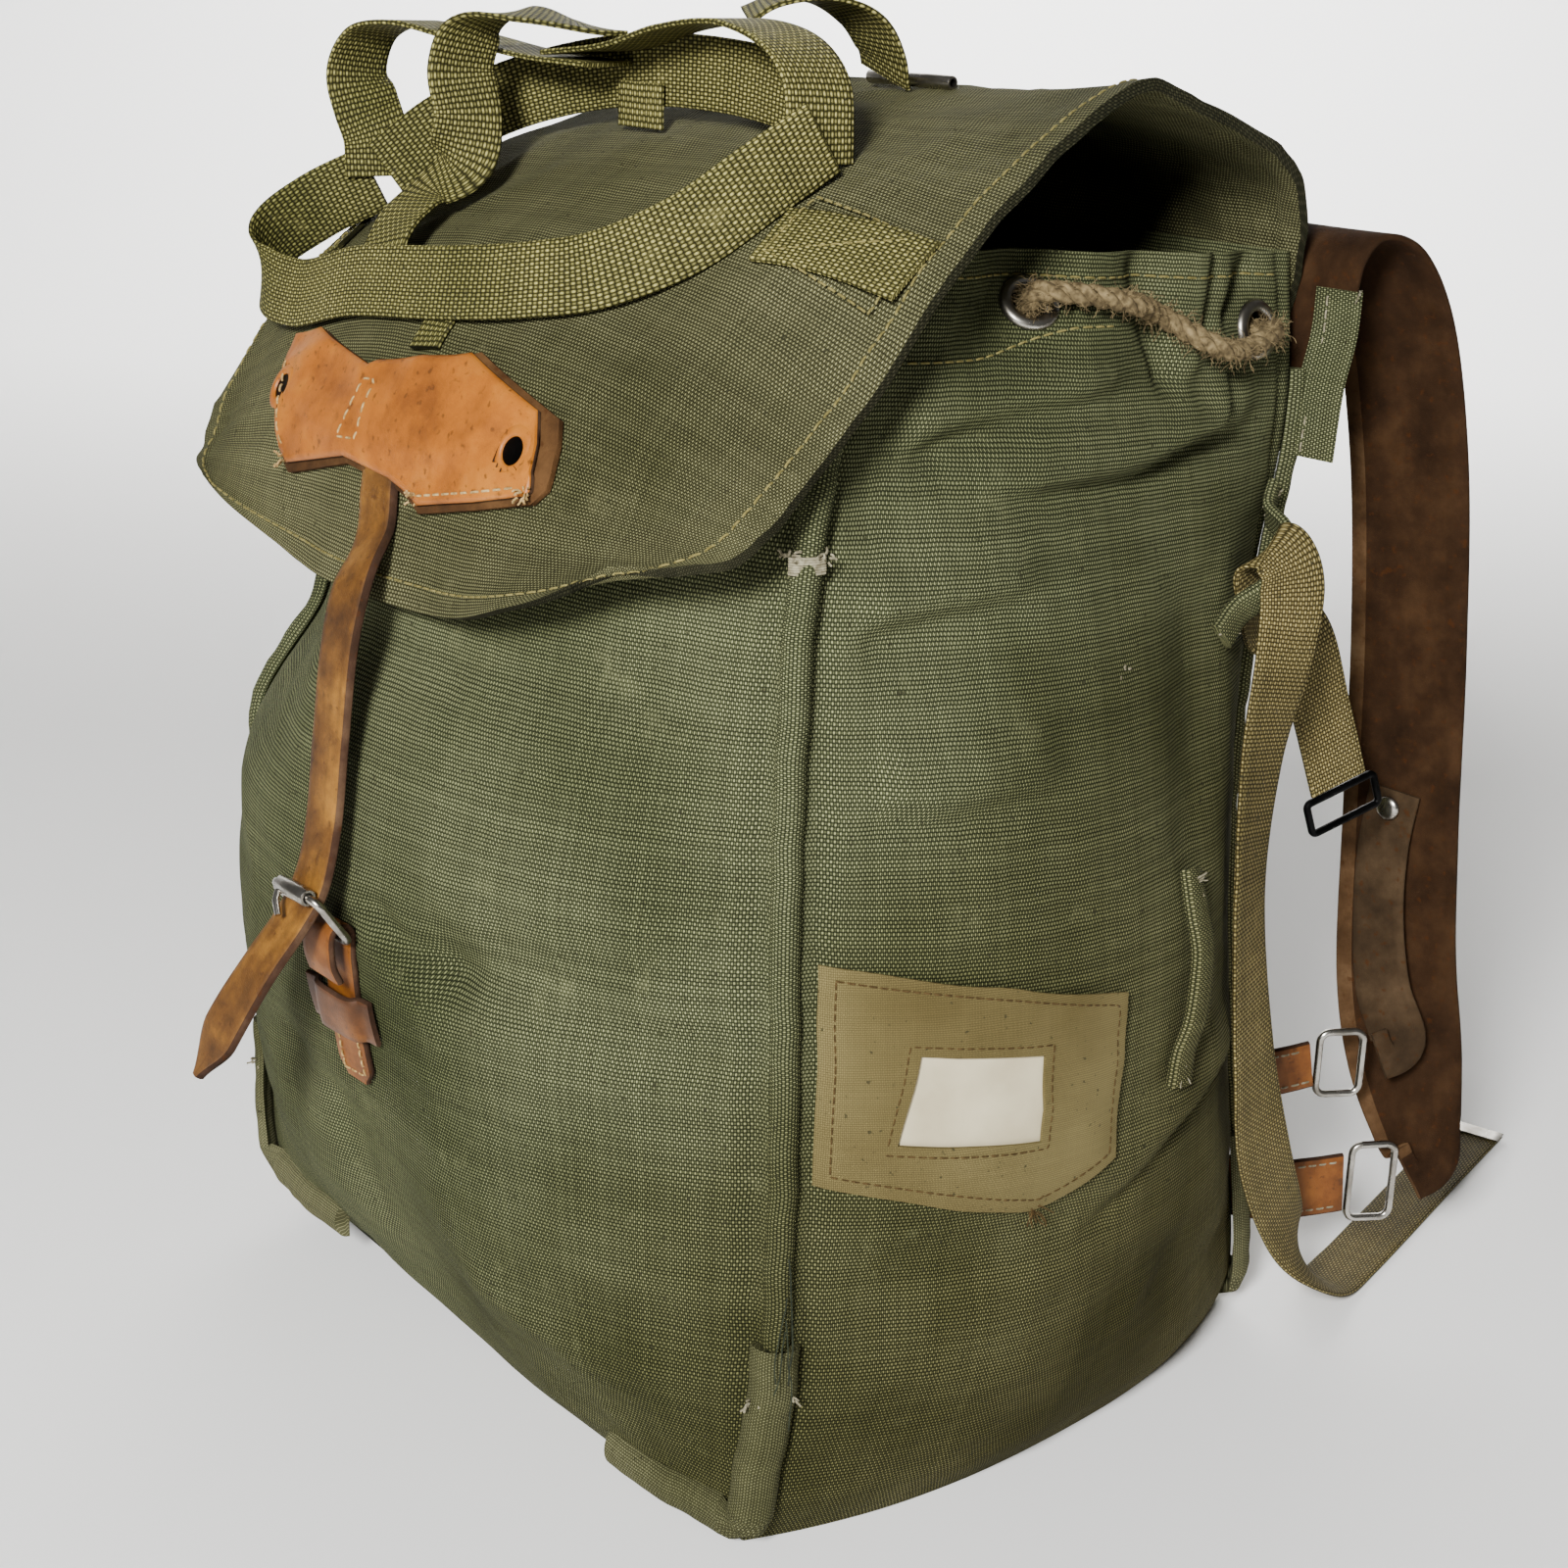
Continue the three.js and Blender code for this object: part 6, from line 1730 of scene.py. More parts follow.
@dataclass
class ClosingGear:
    """Leather yoke on the flap, the closing strap, and the roller buckle that holds it."""

    # Outlines of the upper layer and of the backing: x and height of their upper and lower edges.
    UPPER = (
        (
            (-97, 380.0), (-95, 382.5), (-78, 387.5), (-50, 384.3), (-30, 382.0), (-26, 384.0),
            (15, 391.0), (22, 392.6), (64.5, 381.0), (70, 372.0), (73.5, 362.5), (74.2, 359.5),
        ),
        (
            (-97, 379.0), (-92, 372.0), (-85, 361.5), (-79, 351.5), (-75, 346.5), (-69, 344.0),
            (-45, 349.5), (-29, 353.0), (-18, 352.3), (0, 350.6), (10, 348.0), (19, 345.0),
            (50, 351.3), (73, 357.0), (74.2, 358.5),
        ),
    )
    UNDER = (
        (
            (-97.5, 380.0), (-95, 382.5), (-78, 387.6), (-50, 384.4), (-30, 382.0), (-26, 384.0),
            (15, 391.2), (24, 393.8), (74.3, 380.0), (78, 373.0), (79.3, 366.0),
        ),
        (
            (-97.5, 379.0), (-92, 370.5), (-85, 359.5), (-79, 349.0), (-75, 343.5), (-69, 340.7),
            (-45, 346.9), (-29, 350.8), (-18, 350.0), (0, 348.6), (10, 345.8), (19, 342.4),
            (50, 349.0), (74.5, 355.0), (78.8, 360.0), (79.3, 364.5),
        ),
    )
    HOLES = ((61.0, 368.5), (-86.0, 366.5))
    # Stations of the hanging strap: x, y, z and the way its face looks.
    CLOSING = (
        (1, -175, 318, 0, -1, 0.2), (1, -180.5, 300, 0, -1, 0.18),
        (1.5, -186, 265, 0, -1, 0.15), (4, -191.5, 236, 0, -1, 0.1),
        (6.5, -198.4, 218, 0, -1, 0.3), (5.5, -205.5, 206, 0, -1, 0.8),
        (0, -215, 190, 0, -1, 0.6), (-8, -224, 170, 0.1, -1, 0.5),
        (-17, -232, 147, 0.1, -1, 0.5),
    )

    shape: BagShape
    hole: float = 6.4
    backing: float = 2.2
    strap_width: float = 20.0
    strap_thickness: float = 3.2
    chape_width: float = 19.0
    keeper_width: float = 18.0
    bar_lift: float = 6.6
    bar_z: float = 194.5
    frame_size: tuple[float, float, float] = (28.0, 22.0, 4.0)
    tilt: float = 0.62
    slant: float = 8.0
    foot: float = 134.0
    yoke_stitch: Stitch = Stitch(3.4, 1.8, 0.45, 0.4)
    edge_stitch: Stitch = Stitch(3.4, 1.8, 0.5, 0.4)
    chape_stitch: Stitch = Stitch(2.8, 1.4, 0.45, 0.4)
    end_stitch: Stitch = Stitch(2.6, 1.3, 0.45, 0.4)

    def chape_seat(self, off: float, z: float) -> Seat:
        """Place on the front panel off the chape's slanting middle line."""
        return self.shape.front_seat(off + self.slant * (z - self.foot) / (self.bar_z - self.foot), z)

    @staticmethod
    def curve(points: Sequence[Pair], x: float) -> float:
        """Height of a straight-cut outline at a place along it."""
        for (x0, z0), (x1, z1) in zip(points, points[1:]):
            if x <= x1:
                return lerp(z0, z1, (x - x0) / (x1 - x0))
        return points[-1][1]

    def yoke_seats(
        self, outline: tuple[tuple[Pair, ...], ...]
    ) -> tuple[list[list[Seat]], list[list[Pair]]]:
        """Grid of seats under one layer of the yoke, with a column at each corner of its outline.

        Args:
            outline: upper and lower edge of the layer.

        Returns:
            Rows of seats, and their flat coordinates.
        """
        marks = sorted({x for edge in outline for x, _ in edge})
        places = [marks[0]]
        for a, b in zip(marks, marks[1:]):
            places += spread(max(1, round((b - a) / 2.4)), a, b)[1:]
        seats = []
        flats = []
        for t in [0.0, 0.03] + spread(20, 0.07, 0.93) + [0.97, 1.0]:
            heights = [lerp(self.curve(outline[1], x), self.curve(outline[0], x), t) for x in places]
            seats.append([self.shape.flap_front_seat(x, z) for x, z in zip(places, heights)])
            flats.append(list(zip(places, heights)))
        return seats, flats

    def build(self) -> None:
        """Make the yoke, the strap, the chape with its keeper, and the buckle."""
        seats, flats = self.yoke_seats(self.UNDER)
        lining = patch("yoke_backing_leather", seats, SEAT, self.backing, flats, 0.2)
        lining.build(BACKING_FINISH, "yoke_backing")
        seats, flats = self.yoke_seats(self.UPPER)

        def keep(i: int, j: int) -> bool:
            """Whether a cell is clear of the two holes."""
            x = (flats[i][j][0] + flats[i + 1][j + 1][0]) / 2
            z = (flats[i][j][1] + flats[i + 1][j + 1][1]) / 2
            return all(math.hypot(x - hx, z - hz) > self.hole for hx, hz in self.HOLES)

        lift = SEAT + self.backing + 0.2
        upper = patch("yoke_leather", seats, lift, LEATHER, flats, 0.9, keep)
        upper.build(YOKE_FINISH, "yoke", sharp_deg=70, edge=EDGE_FINISH)
        for k, (x, z) in enumerate(self.HOLES):
            seat = self.shape.flap_front_seat(x, z)
            rim = MeshMaker(f"yoke_hole_rim_{k}")
            profile = ((4.6, 2.9), (4.9, 5.4), (5.6, 5.9), (7.4, 5.7), (8.5, 5.1), (8.2, 2.9))
            turned(rim, profile, 28, seat.point, seat.normal)
            rim.build(YOKE_FINISH)
            # A black disc closes each hole below its rim: painted shade, as the hole shows only darkness
            # there.
            dark = MeshMaker(f"yoke_hole_floor_{k}")
            turned(dark, ((0.0, 3.0), (5.0, 3.0), (5.0, 4.9), (0.0, 4.9)), 24, seat.point, seat.normal)
            dark.build(BLACK_FINISH)
        self.strap()
        self.buckle()

    def strap(self) -> None:
        """Closing strap with its free pointed end, the chape and its keeper."""
        tucked = ((-9.5, 357.0, 1.3), (-7.5, 346.0, 0.3), (-4.0, 332.0, 0.0))
        rows = [self.shape.flap_front_seat(x, z).row(SEAT + LEATHER / 2 - sunk) for x, z, sunk in tucked]
        rows += rows_of(self.CLOSING)

        def pointed(t: float) -> float:
            """Width of the strap along its length."""
            return self.strap_width * (1 - 0.82 * smoothstep(0.93, 1.01, t))

        made = band("closing_strap_leather", rows, pointed, self.strap_thickness, 120, 0.5)
        made.build(STRAP_FINISH, "closing_strap", edge=EDGE_FINISH)
        rows = [self.chape_seat(0, z).row(SEAT + LEATHER / 2) for z in (self.foot, 160.0, 186.0)]
        seat = self.chape_seat(0, self.bar_z)
        for degrees in (40, 90, 140):
            angle = math.radians(degrees)
            at = seat.raised(self.bar_lift - 4 * math.cos(angle)) + vec(0, 0, 4 * math.sin(angle))
            rows.append(BandRow(at, vec(0, -math.cos(angle), -math.sin(angle))))
        for z in (186.0, 179.0):
            seat = self.chape_seat(0, z)
            rows.append(BandRow(seat.raised(self.bar_lift + 3.4 - (186.0 - z) / 3), seat.normal * -1))

        def cut(t: float) -> float:
            """Width of the chape along its length."""
            return self.chape_width * (0.62 + 0.38 * smoothstep(0.0, 0.035, t))

        made = band("buckle_chape_leather", rows, cut, LEATHER, 110)
        made.build(CHAPE_FINISH, "buckle_chape", edge=EDGE_FINISH)
        bridge = ((-19, 2.3), (-13, 3.1), (-10.5, 5.4), (0, 6.2), (10.5, 5.4), (13, 3.1), (19, 2.3))
        rows = [self.chape_seat(x, 164.0).row(lift) for x, lift in bridge]
        made = band("chape_keeper_leather", rows, self.keeper_width, 2.0, 40, 0.4)
        made.build(KEEPER_FINISH, "chape_keeper", edge=EDGE_FINISH)

    def buckle(self) -> None:
        """Wire frame, roller sleeve and stub prong."""
        width, height, corner = self.frame_size
        bar = self.chape_seat(0, self.bar_z).raised(self.bar_lift)
        up = vec(0, -math.sin(self.tilt), math.cos(self.tilt))
        made = MeshMaker("closing_buckle_wire")
        rod(made, wire_loop(bar + up * height / 2, vec(1, 0, 0), up, width, height, corner), WIRE, 12, True)
        top = bar + up * height
        prong = [top + vec(-7, -2.2, -1.5), top + vec(-5, -4.4, -4.0), top + vec(-1.5, -5.6, -8.0)]
        rod(made, prong, 1.2, 10)
        made.build(STEEL_FINISH, "closing_buckle")
        sleeve = MeshMaker("closing_roller_sleeve")
        profile = ((1.9, -9.0), (2.8, -9.0), (3.0, -8.7), (3.0, 8.7), (2.8, 9.0), (1.9, 9.0))
        turned(sleeve, profile, 28, bar + up * height, vec(1, 0, 0))
        sleeve.build(STEEL_FINISH, "closing_roller")

    def dress(self) -> None:
        """Stitches of the yoke and the chape, with knots of thread at the yoke's corners."""
        work = ThreadWork("yoke_stitches", WAXED_THREAD, 31)
        seat = self.shape.flap_front_seat
        lift = SEAT + self.backing + 0.2 + LEATHER
        square = ((-27.2, 377.4), (-20.6, 378.3), (-20.7, 359.5), (-32.5, 358.5), (-27.2, 377.4))
        low_right = ((19, 348.0), (50, 354.2), (70, 359.0))
        low_left = ((-91.5, 374.0), (-82.5, 361.0), (-76, 351.0), (-70, 347.0))
        work.run(seats_along(square, seat, 14, lift), self.yoke_stitch)
        work.run(seats_along(low_right, seat, 14, lift), self.edge_stitch)
        work.run(seats_along(low_left, seat, 14, lift), self.yoke_stitch)
        for x, z in ((72.5, 357.5), (-72.0, 344.5), (17.0, 346.5)):
            work.tuft(seat(x, z).lifted(lift - 0.6), 12, 2.6, 0.42)
        lift = SEAT + LEATHER
        for x in (-6.0, 6.0):
            work.run(seats_along(((x, 138.0), (x, 154.0)), self.chape_seat, 20, lift), self.chape_stitch)
        end = ((-6.0, 137.5), (6.0, 137.5))
        work.run(seats_along(end, self.chape_seat, 12, lift), self.end_stitch)
        work.build()


@dataclass
class WebHarness:
    """Ring of webbing on the flap, its slack straps, anchors and steel bar."""

    # Stations of the ring: x and y on the flap, height over it, and the way its face looks in plan.
    RING_FRONT = (
        (-127, -80, 3.4, -0.75, 0.65), (-141, -93, 8, -0.85, 0.5),
        (-146, -106, 11, -1, -0.1), (-138, -117, 10, -0.6, -0.8),
        (-112, -127, 5, -0.25, -1), (-64, -132, 3.8, -0.05, -1),
        (-10, -132.5, 3.9, 0, -1), (30, -127, 3.6, 0.15, -1),
        (58, -117, 3, 0.4, -0.9), (78, -97, 3, 0.75, -0.65),
        (90, -74, 3.2, 0.92, -0.4), (96, -54, 4, 0.98, -0.2),
    )
    RING_BACK = (
        (-119, -79, 4, -0.6, 0.8), (-104, -62, 6, -0.6, 0.8),
        (-80, -48, 7, -0.35, 0.95), (-45, -37, 8, -0.2, 1),
        (-10, -34, 8, 0, 1), (30, -33, 7, 0, 1),
        (62, -36, 5, 0.15, 1), (82, -41, 4.5, 0.3, 0.95),
    )
    # Stations of the slack straps: x, y, z and the way the face looks.
    ARCHES = {
        "left_arch": (
            (-124.6, -81.9, 436, -0.75, 0.65, 0), (-125.6, -82, 450, -0.75, 0.65, 0.1),
            (-134, -81, 462, -0.85, 0.4, 0.2), (-141, -80, 474, -0.95, 0.1, 0.3),
            (-134, -78, 487, -0.6, 0, 0.8), (-115, -74, 492, -0.1, 0, 1),
            (-85, -65, 488, 0.05, 0, 1), (-55, -57, 483.5, 0, 0, 1),
            (-22, -52, 482, 0, 0, 1),
        ),
        "right_arch": (
            (91.4, -52.8, 457, 0.98, -0.2, 0), (91, -52.7, 468, 0.98, -0.2, 0.1),
            (87, -51, 482, 0.9, -0.2, 0.4), (72, -48, 493, 0.5, -0.1, 0.85),
            (45, -47, 499, 0.1, 0, 1), (15, -49, 496, -0.15, 0, 1),
            (-10, -52, 489, -0.2, 0, 1), (-42, -55, 485.2, 0, 0, 1),
        ),
        "front_arch": (
            (-60, -125.4, 404.4, 0, -1, 0.3), (-60.5, -121.2, 418, 0, -0.95, 0.35),
            (-65, -109, 430, 0, -0.6, 0.8), (-66, -97, 437, 0.1, -0.6, 0.8),
            (-59, -90, 446, 0.5, -0.6, 0.6), (-57, -87, 462, 0.95, -0.3, 0.1),
            (-61, -87, 480, 0.9, -0.2, -0.4), (-54, -84, 494, 0.2, -0.2, -1),
            (-40, -74, 498, -0.2, 0, -1), (-28, -60, 494.5, -0.2, -0.2, -1),
            (-24, -47, 492.4, 0, -0.1, -1),
        ),
        "far_arch": (
            (24, -27.9, 500, 0, -0.3, 1), (30, -20, 505, 0, -0.1, 1),
            (38, -4, 505.5, 0, 0.2, 1), (42, 10, 499, 0, 0.7, 0.7),
            (41, 20, 488, 0, 0.95, 0.3), (38, 25.5, 480.4, 0, 1, 0.2),
        ),
    }
    # Width of each anchor and its places on the flap.
    ANCHORS = {
        "front": (16.0, ((-7, -138.2), (-8, -134), (-8, -126))),
        "right": (WEB_WIDTH, ((97, -76), (112, -73), (132, -70), (154, -68))),
        "left": (WEB_WIDTH, ((-133.5, -84), (-145, -83), (-157, -82))),
    }

    shape: BagShape
    rear_anchor: Pair = (-18.0, -40.1)
    rear_top: float = 476.0
    bar_place: Pair = (44.0, 32.5)
    bar_radius: float = 2.5
    bar_half: float = 21.0
    box_stitch: Stitch = Stitch(3.0, 1.4, 0.4, 0.4)

    def standing(self, table: Sequence[tuple[float, ...]]) -> list[BandRow]:
        """Stations of webbing that stands with its lower edge on the flap."""
        rows = []
        for x, y, lift, nx, ny in table:
            seat = self.shape.flap_seat(x, y)
            up = vec(0, 0.3 * max(-ny, 0.0), 1).normalized()
            face = vec(nx, ny, 0)
            face = (face - up * face.dot(up)).normalized()
            rows.append(BandRow(seat.raised(lift) + up * (WEB_WIDTH / 2), face))
        return rows

    def build(self) -> None:
        """Make every length of webbing and the bar."""
        for name, table, steps in (("front_band", self.RING_FRONT, 130), ("back_band", self.RING_BACK, 90)):
            made = band(f"web_{name}", self.standing(table), WEB_WIDTH, WEBBING, steps)
            made.build(WEB_FINISH, f"harness_{name}")
        for name, table in self.ARCHES.items():
            band(f"web_{name}", rows_of(table), WEB_WIDTH, WEBBING, 90).build(WEB_FINISH, f"harness_{name}")
        for name, (width, places) in self.ANCHORS.items():
            rows = [self.shape.flap_seat(x, y).row(SEAT + WEBBING / 2) for x, y in places]
            band(f"web_anchor_{name}", rows, width, WEBBING, 24).build(WEB_FINISH, f"harness_anchor_{name}")
        foot = self.shape.flap_seat(*self.rear_anchor).point.z + SEAT + 2
        rows = [BandRow(vec(*self.rear_anchor, z), vec(0, -1, 0)) for z in spread(3, foot, self.rear_top)]
        band("web_anchor_rear", rows, WEB_WIDTH, WEBBING, 20).build(WEB_FINISH, "harness_anchor_rear")
        made = MeshMaker("harness_steel_bar")
        half = self.bar_half
        wide = self.bar_radius
        end = ((1.5, half), (wide - 0.2, half), (wide, half - 0.4))
        profile = [(r, -h) for r, h in end] + list(reversed(end))
        turned(made, profile, 24, self.shape.flap_seat(*self.bar_place).raised(wide + SEAT), vec(1, 0, 0))
        made.build(STEEL_FINISH, "harness_bar")

    def dress(self) -> None:
        """Stitched boxes where the anchors are sewn down."""
        work = ThreadWork("harness_stitches", GOLD_THREAD, 41)
        for x0, x1, y0, y1 in ((101.0, 148.0, -82.0, -60.0), (-154.0, -138.0, -92.0, -74.0)):
            loop = ((x0, y0), (x1, y0), (x1, y1), (x0, y1), (x0, y0), (x1, y1))
            work.run(seats_along(loop, self.shape.flap_seat, 12, SEAT + WEBBING), self.box_stitch)
        work.build()


@dataclass
class SideFittings:
    """Canvas tube loops on both sides, and the web strap with its ladder buckle on the right."""

    # Depth and height of the upper and lower end of each loop, and the share of its rise along it.
    LOOPS = {"upper": (112, 342, 72, 304), "lower": (29, 222, 22, 160)}
    RISE = ((-0.1, 0.0), (0.1, 0.2), (0.3, 0.95), (0.5, 1.0), (0.7, 0.95), (0.9, 0.2), (1.1, 0.0))
    SHORT_END = (
        (169, 153, 226, 0.95, -0.3, 0), (165, 143, 256, 0.95, -0.3, 0),
        (163, 128, 288, 0.95, -0.2, 0),
    )
    # Places on the side panel, with the height above it and the way the band faces.
    OVER = (
        (106, 298, 7, (0.95, 0, 0)),
        (95, 309, 7, (0.95, 0, 0)),
        (89, 318, 7.5, (0.95, 0, 0)),
        (86, 325, 9.5, (0.9, 0, -0.3)),
        (84, 330, 15, (-0.2, 0.5, -0.85)),
        (84, 325, 20.5, (-0.9, 0.3, -0.3)),
        (84, 313, 21.5, (-0.92, 0.39, 0)),
        (81, 290, 19, (-0.96, 0.25, 0)),
        (77, 255, 11, (-1, -0.05, 0)),
        (72, 205, 8, (-0.95, -0.25, 0)),
    )
    FLOOR = WEBBING / 2 + 0.3
    LONG_END = (
        (193, 84, 140, -0.99, -0.1, 0), (190, 100, 95, -0.98, 0.17, 0),
        (184, 128, 50, -0.85, 0.2, -0.4), (177, 156, 18, -0.4, -0.2, -0.9),
        (172, 176, 3.5, -0.05, -0.1, -1),
        (166, 200, FLOOR, 0, 0, -1),
        (158, 232, FLOOR, 0, 0, -1),
        (143, 290, FLOOR, 0, 0, -1),
        (128, 350, FLOOR, 0, 0, -1),
    )

    shape: BagShape
    loop_width: float = 12.0
    loop_thickness: float = 4.0
    loop_lift: float = 2.55
    loop_rise: float = 3.2
    held_rise: float = 12.5
    ladder: tuple[float, float, float] = (31.0, 13.0, 2.0)

    def build(self) -> None:
        """Make the loops, the strap, its tip and its buckle."""
        for side in Side:
            for name, (y0, z0, y1, z1) in self.LOOPS.items():
                held = side is Side.RIGHT and name == "upper"
                height = self.held_rise if held else self.loop_rise
                rows = []
                for t, rise in self.RISE:
                    seat = self.shape.side_seat(side, lerp(y0, y1, t), lerp(z0, z1, t))
                    rows.append(seat.row(self.loop_lift + rise * height))
                key = f"loop_{name}_{side.word}"
                made = band(f"canvas_{key}", rows, self.loop_width, self.loop_thickness, 48, 0.8)
                made.build(CANVAS_FINISH, key, sharp_deg=80.0)
        rows = rows_of(self.SHORT_END)
        for y, z, lift, face in self.OVER:
            rows.append(BandRow(self.shape.side_seat(Side.RIGHT, y, z).raised(lift), vec(*face)))
        rows += rows_of(self.LONG_END)
        band("web_side_strap", rows, WEB_WIDTH, WEBBING, 300).build(SIDE_WEB_FINISH, "side_strap")
        x, y, _, _, _, _ = self.LONG_END[-1]
        steps = (0.0, 4.5, 9.0)
        tip = [BandRow(vec(x + 0.242 * d, y - 0.97 * d, WEBBING + 1.0), vec(0, 0, 1)) for d in steps]
        band("strap_tip_steel", tip, WEB_WIDTH + 1, 0.7, 8).build(STEEL_FINISH, "strap_tip")
        width, height, corner = self.ladder
        up = vec(-0.12, -0.3, 0.95).normalized()
        across = up.cross(vec(0.95, -0.3, 0)).normalized()
        centre = vec(*self.SHORT_END[0][:3]) - up * (height / 2 + 2.2)
        made = MeshMaker("ladder_buckle_wire")
        rod(made, wire_loop(centre, across, up, width, height, corner), WIRE, 12, True)
        made.build(BLACK_FINISH, "side_buckle")

    def dress(self) -> None:
        """Pale thread at the feet of the loops."""
        work = ThreadWork("loop_tacks", PALE_THREAD, 51)
        work.tuft(self.shape.side_seat(Side.RIGHT, 3.0, 300.0), 6, 1.6, 0.4)
        for side in Side:
            for y0, z0, y1, z1 in self.LOOPS.values():
                for t in (-0.02, 1.02):
                    seat = self.shape.side_seat(side, lerp(y0, y1, t), lerp(z0, z1, t))
                    for k in range(4):
                        shift = vec(0, 1.2 * k - 2, 1.3 * k - 2)
                        a = Seat(seat.raised(4.6) + shift + vec(0, -3.5, 0), seat.normal)
                        b = Seat(seat.raised(4.6) + shift + vec(0, 3.5, 1), seat.normal)
                        work.stitch(a, b, 0.4, 0.5)
                    work.tuft(seat.lifted(4.0), 6, 4.5)
        work.build()


@dataclass
class LabelPocket:
    """Khaki pocket with a window and a blank card, on the right side."""

    # Depth on the side, and heights of the upper and lower edge there.
    STATIONS = (
        (-111, 217, 141), (-98, 215, 138), (-85, 212, 135), (-71, 209, 131),
        (-57, 207, 128), (-43, 203, 125), (-27, 200, 129), (-10, 197, 136),
    )
    BORDER = ((-107.5, 212.5), (-57, 203.0), (-14, 193.5), (-14, 139.0), (-43, 129.5), (-107.5, 145.0))
    # Cells of the grid below, in and above the window, and left, in and right of it.
    ROWS = (5, 11, 5)
    COLUMNS = (8, 16, 12)

    shape: BagShape
    window: tuple[float, float, float, float] = (-91.0, -45.0, 156.0, 187.0)
    slope: float = -0.1
    skew: float = 6.0
    card: float = 0.8
    cloth: float = 1.2
    gap: float = 0.3
    overlap: float = 5.0
    stitch: Stitch = Stitch(2.6, 1.0, 0.32, 0.3)

    def seat(self, y: float, z: float) -> Seat:
        """Place on the right side."""
        return self.shape.side_seat(Side.RIGHT, y, z)

    def drop(self, y: float) -> float:
        """How far the window leans down at a place along it."""
        return self.slope * (y - self.window[0])

    def build(self) -> None:
        """Make the pocket with its window, and the card behind it."""
        y0, y1, z0, z1 = self.window
        seats = []
        flats = []
        start = self.STATIONS[0][0]
        end = self.STATIONS[-1][0]
        before, inside, after = self.COLUMNS
        for part, count in enumerate(self.ROWS):
            for t in spread(count, 0.0, 1.0)[min(part, 1) :]:
                line = []
                flat = []
                left = y0 + self.skew * (0.0, t, 1.0)[part]
                columns = spread(before, start, left) + spread(inside, left, y1)[1:]
                for y in columns + spread(after, y1, end)[1:]:
                    top, bottom = BagShape.columns(self.STATIONS, y)
                    lean = self.drop(min(max(y, y0), y1))
                    marks = (bottom, z0 + lean, z1 + lean, top)
                    z = lerp(marks[part], marks[part + 1], t)
                    line.append(self.seat(y, z))
                    flat.append((y, z))
                seats.append(line)
                flats.append(flat)

        def keep(i: int, j: int) -> bool:
            """Whether a cell is outside the window."""
            low, high, _ = self.ROWS
            return not (low <= i < low + high and before <= j < before + inside)

        lift = SEAT + self.card + self.gap
        made = patch("khaki_label_pocket", seats, lift, self.cloth, flats, 0.4, keep)
        made.build(TWILL_FINISH, "label_pocket")
        card = []
        flats = []
        for t in spread(14, 0.0, 1.0):
            places = spread(20, y0 - self.overlap + self.skew * t, y1 + self.overlap)
            height = lerp(z0 - self.overlap, z1 + self.overlap, t)
            card.append([self.seat(y, height + self.drop(y)) for y in places])
            flats.append([(y, t * 40) for y in places])
        patch("blank_label_card", card, SEAT, self.card, flats).build(CARD_FINISH, "label_card")

    def dress(self) -> None:
        """Brown stitch lines round the pocket and its window, and a frayed corner."""
        work = ThreadWork("label_stitches", BROWN_THREAD, 61)
        lift = SEAT + self.card + self.gap + self.cloth
        y0, y1, z0, z1 = self.window
        frame_line = (
            (y0 - 3, z0 - 3),
            (y1 + 3, z0 - 3 + self.drop(y1)),
            (y1 + 3, z1 + 3 + self.drop(y1)),
            (y0 - 3 + self.skew, z1 + 3),
        )
        for loop in (self.BORDER, frame_line):
            work.run(seats_along((*loop, loop[0]), self.seat, 18, lift), self.stitch)
        work.tuft(self.seat(-43.0, 125.5).lifted(1.5), 16, 6.0)
        work.build()


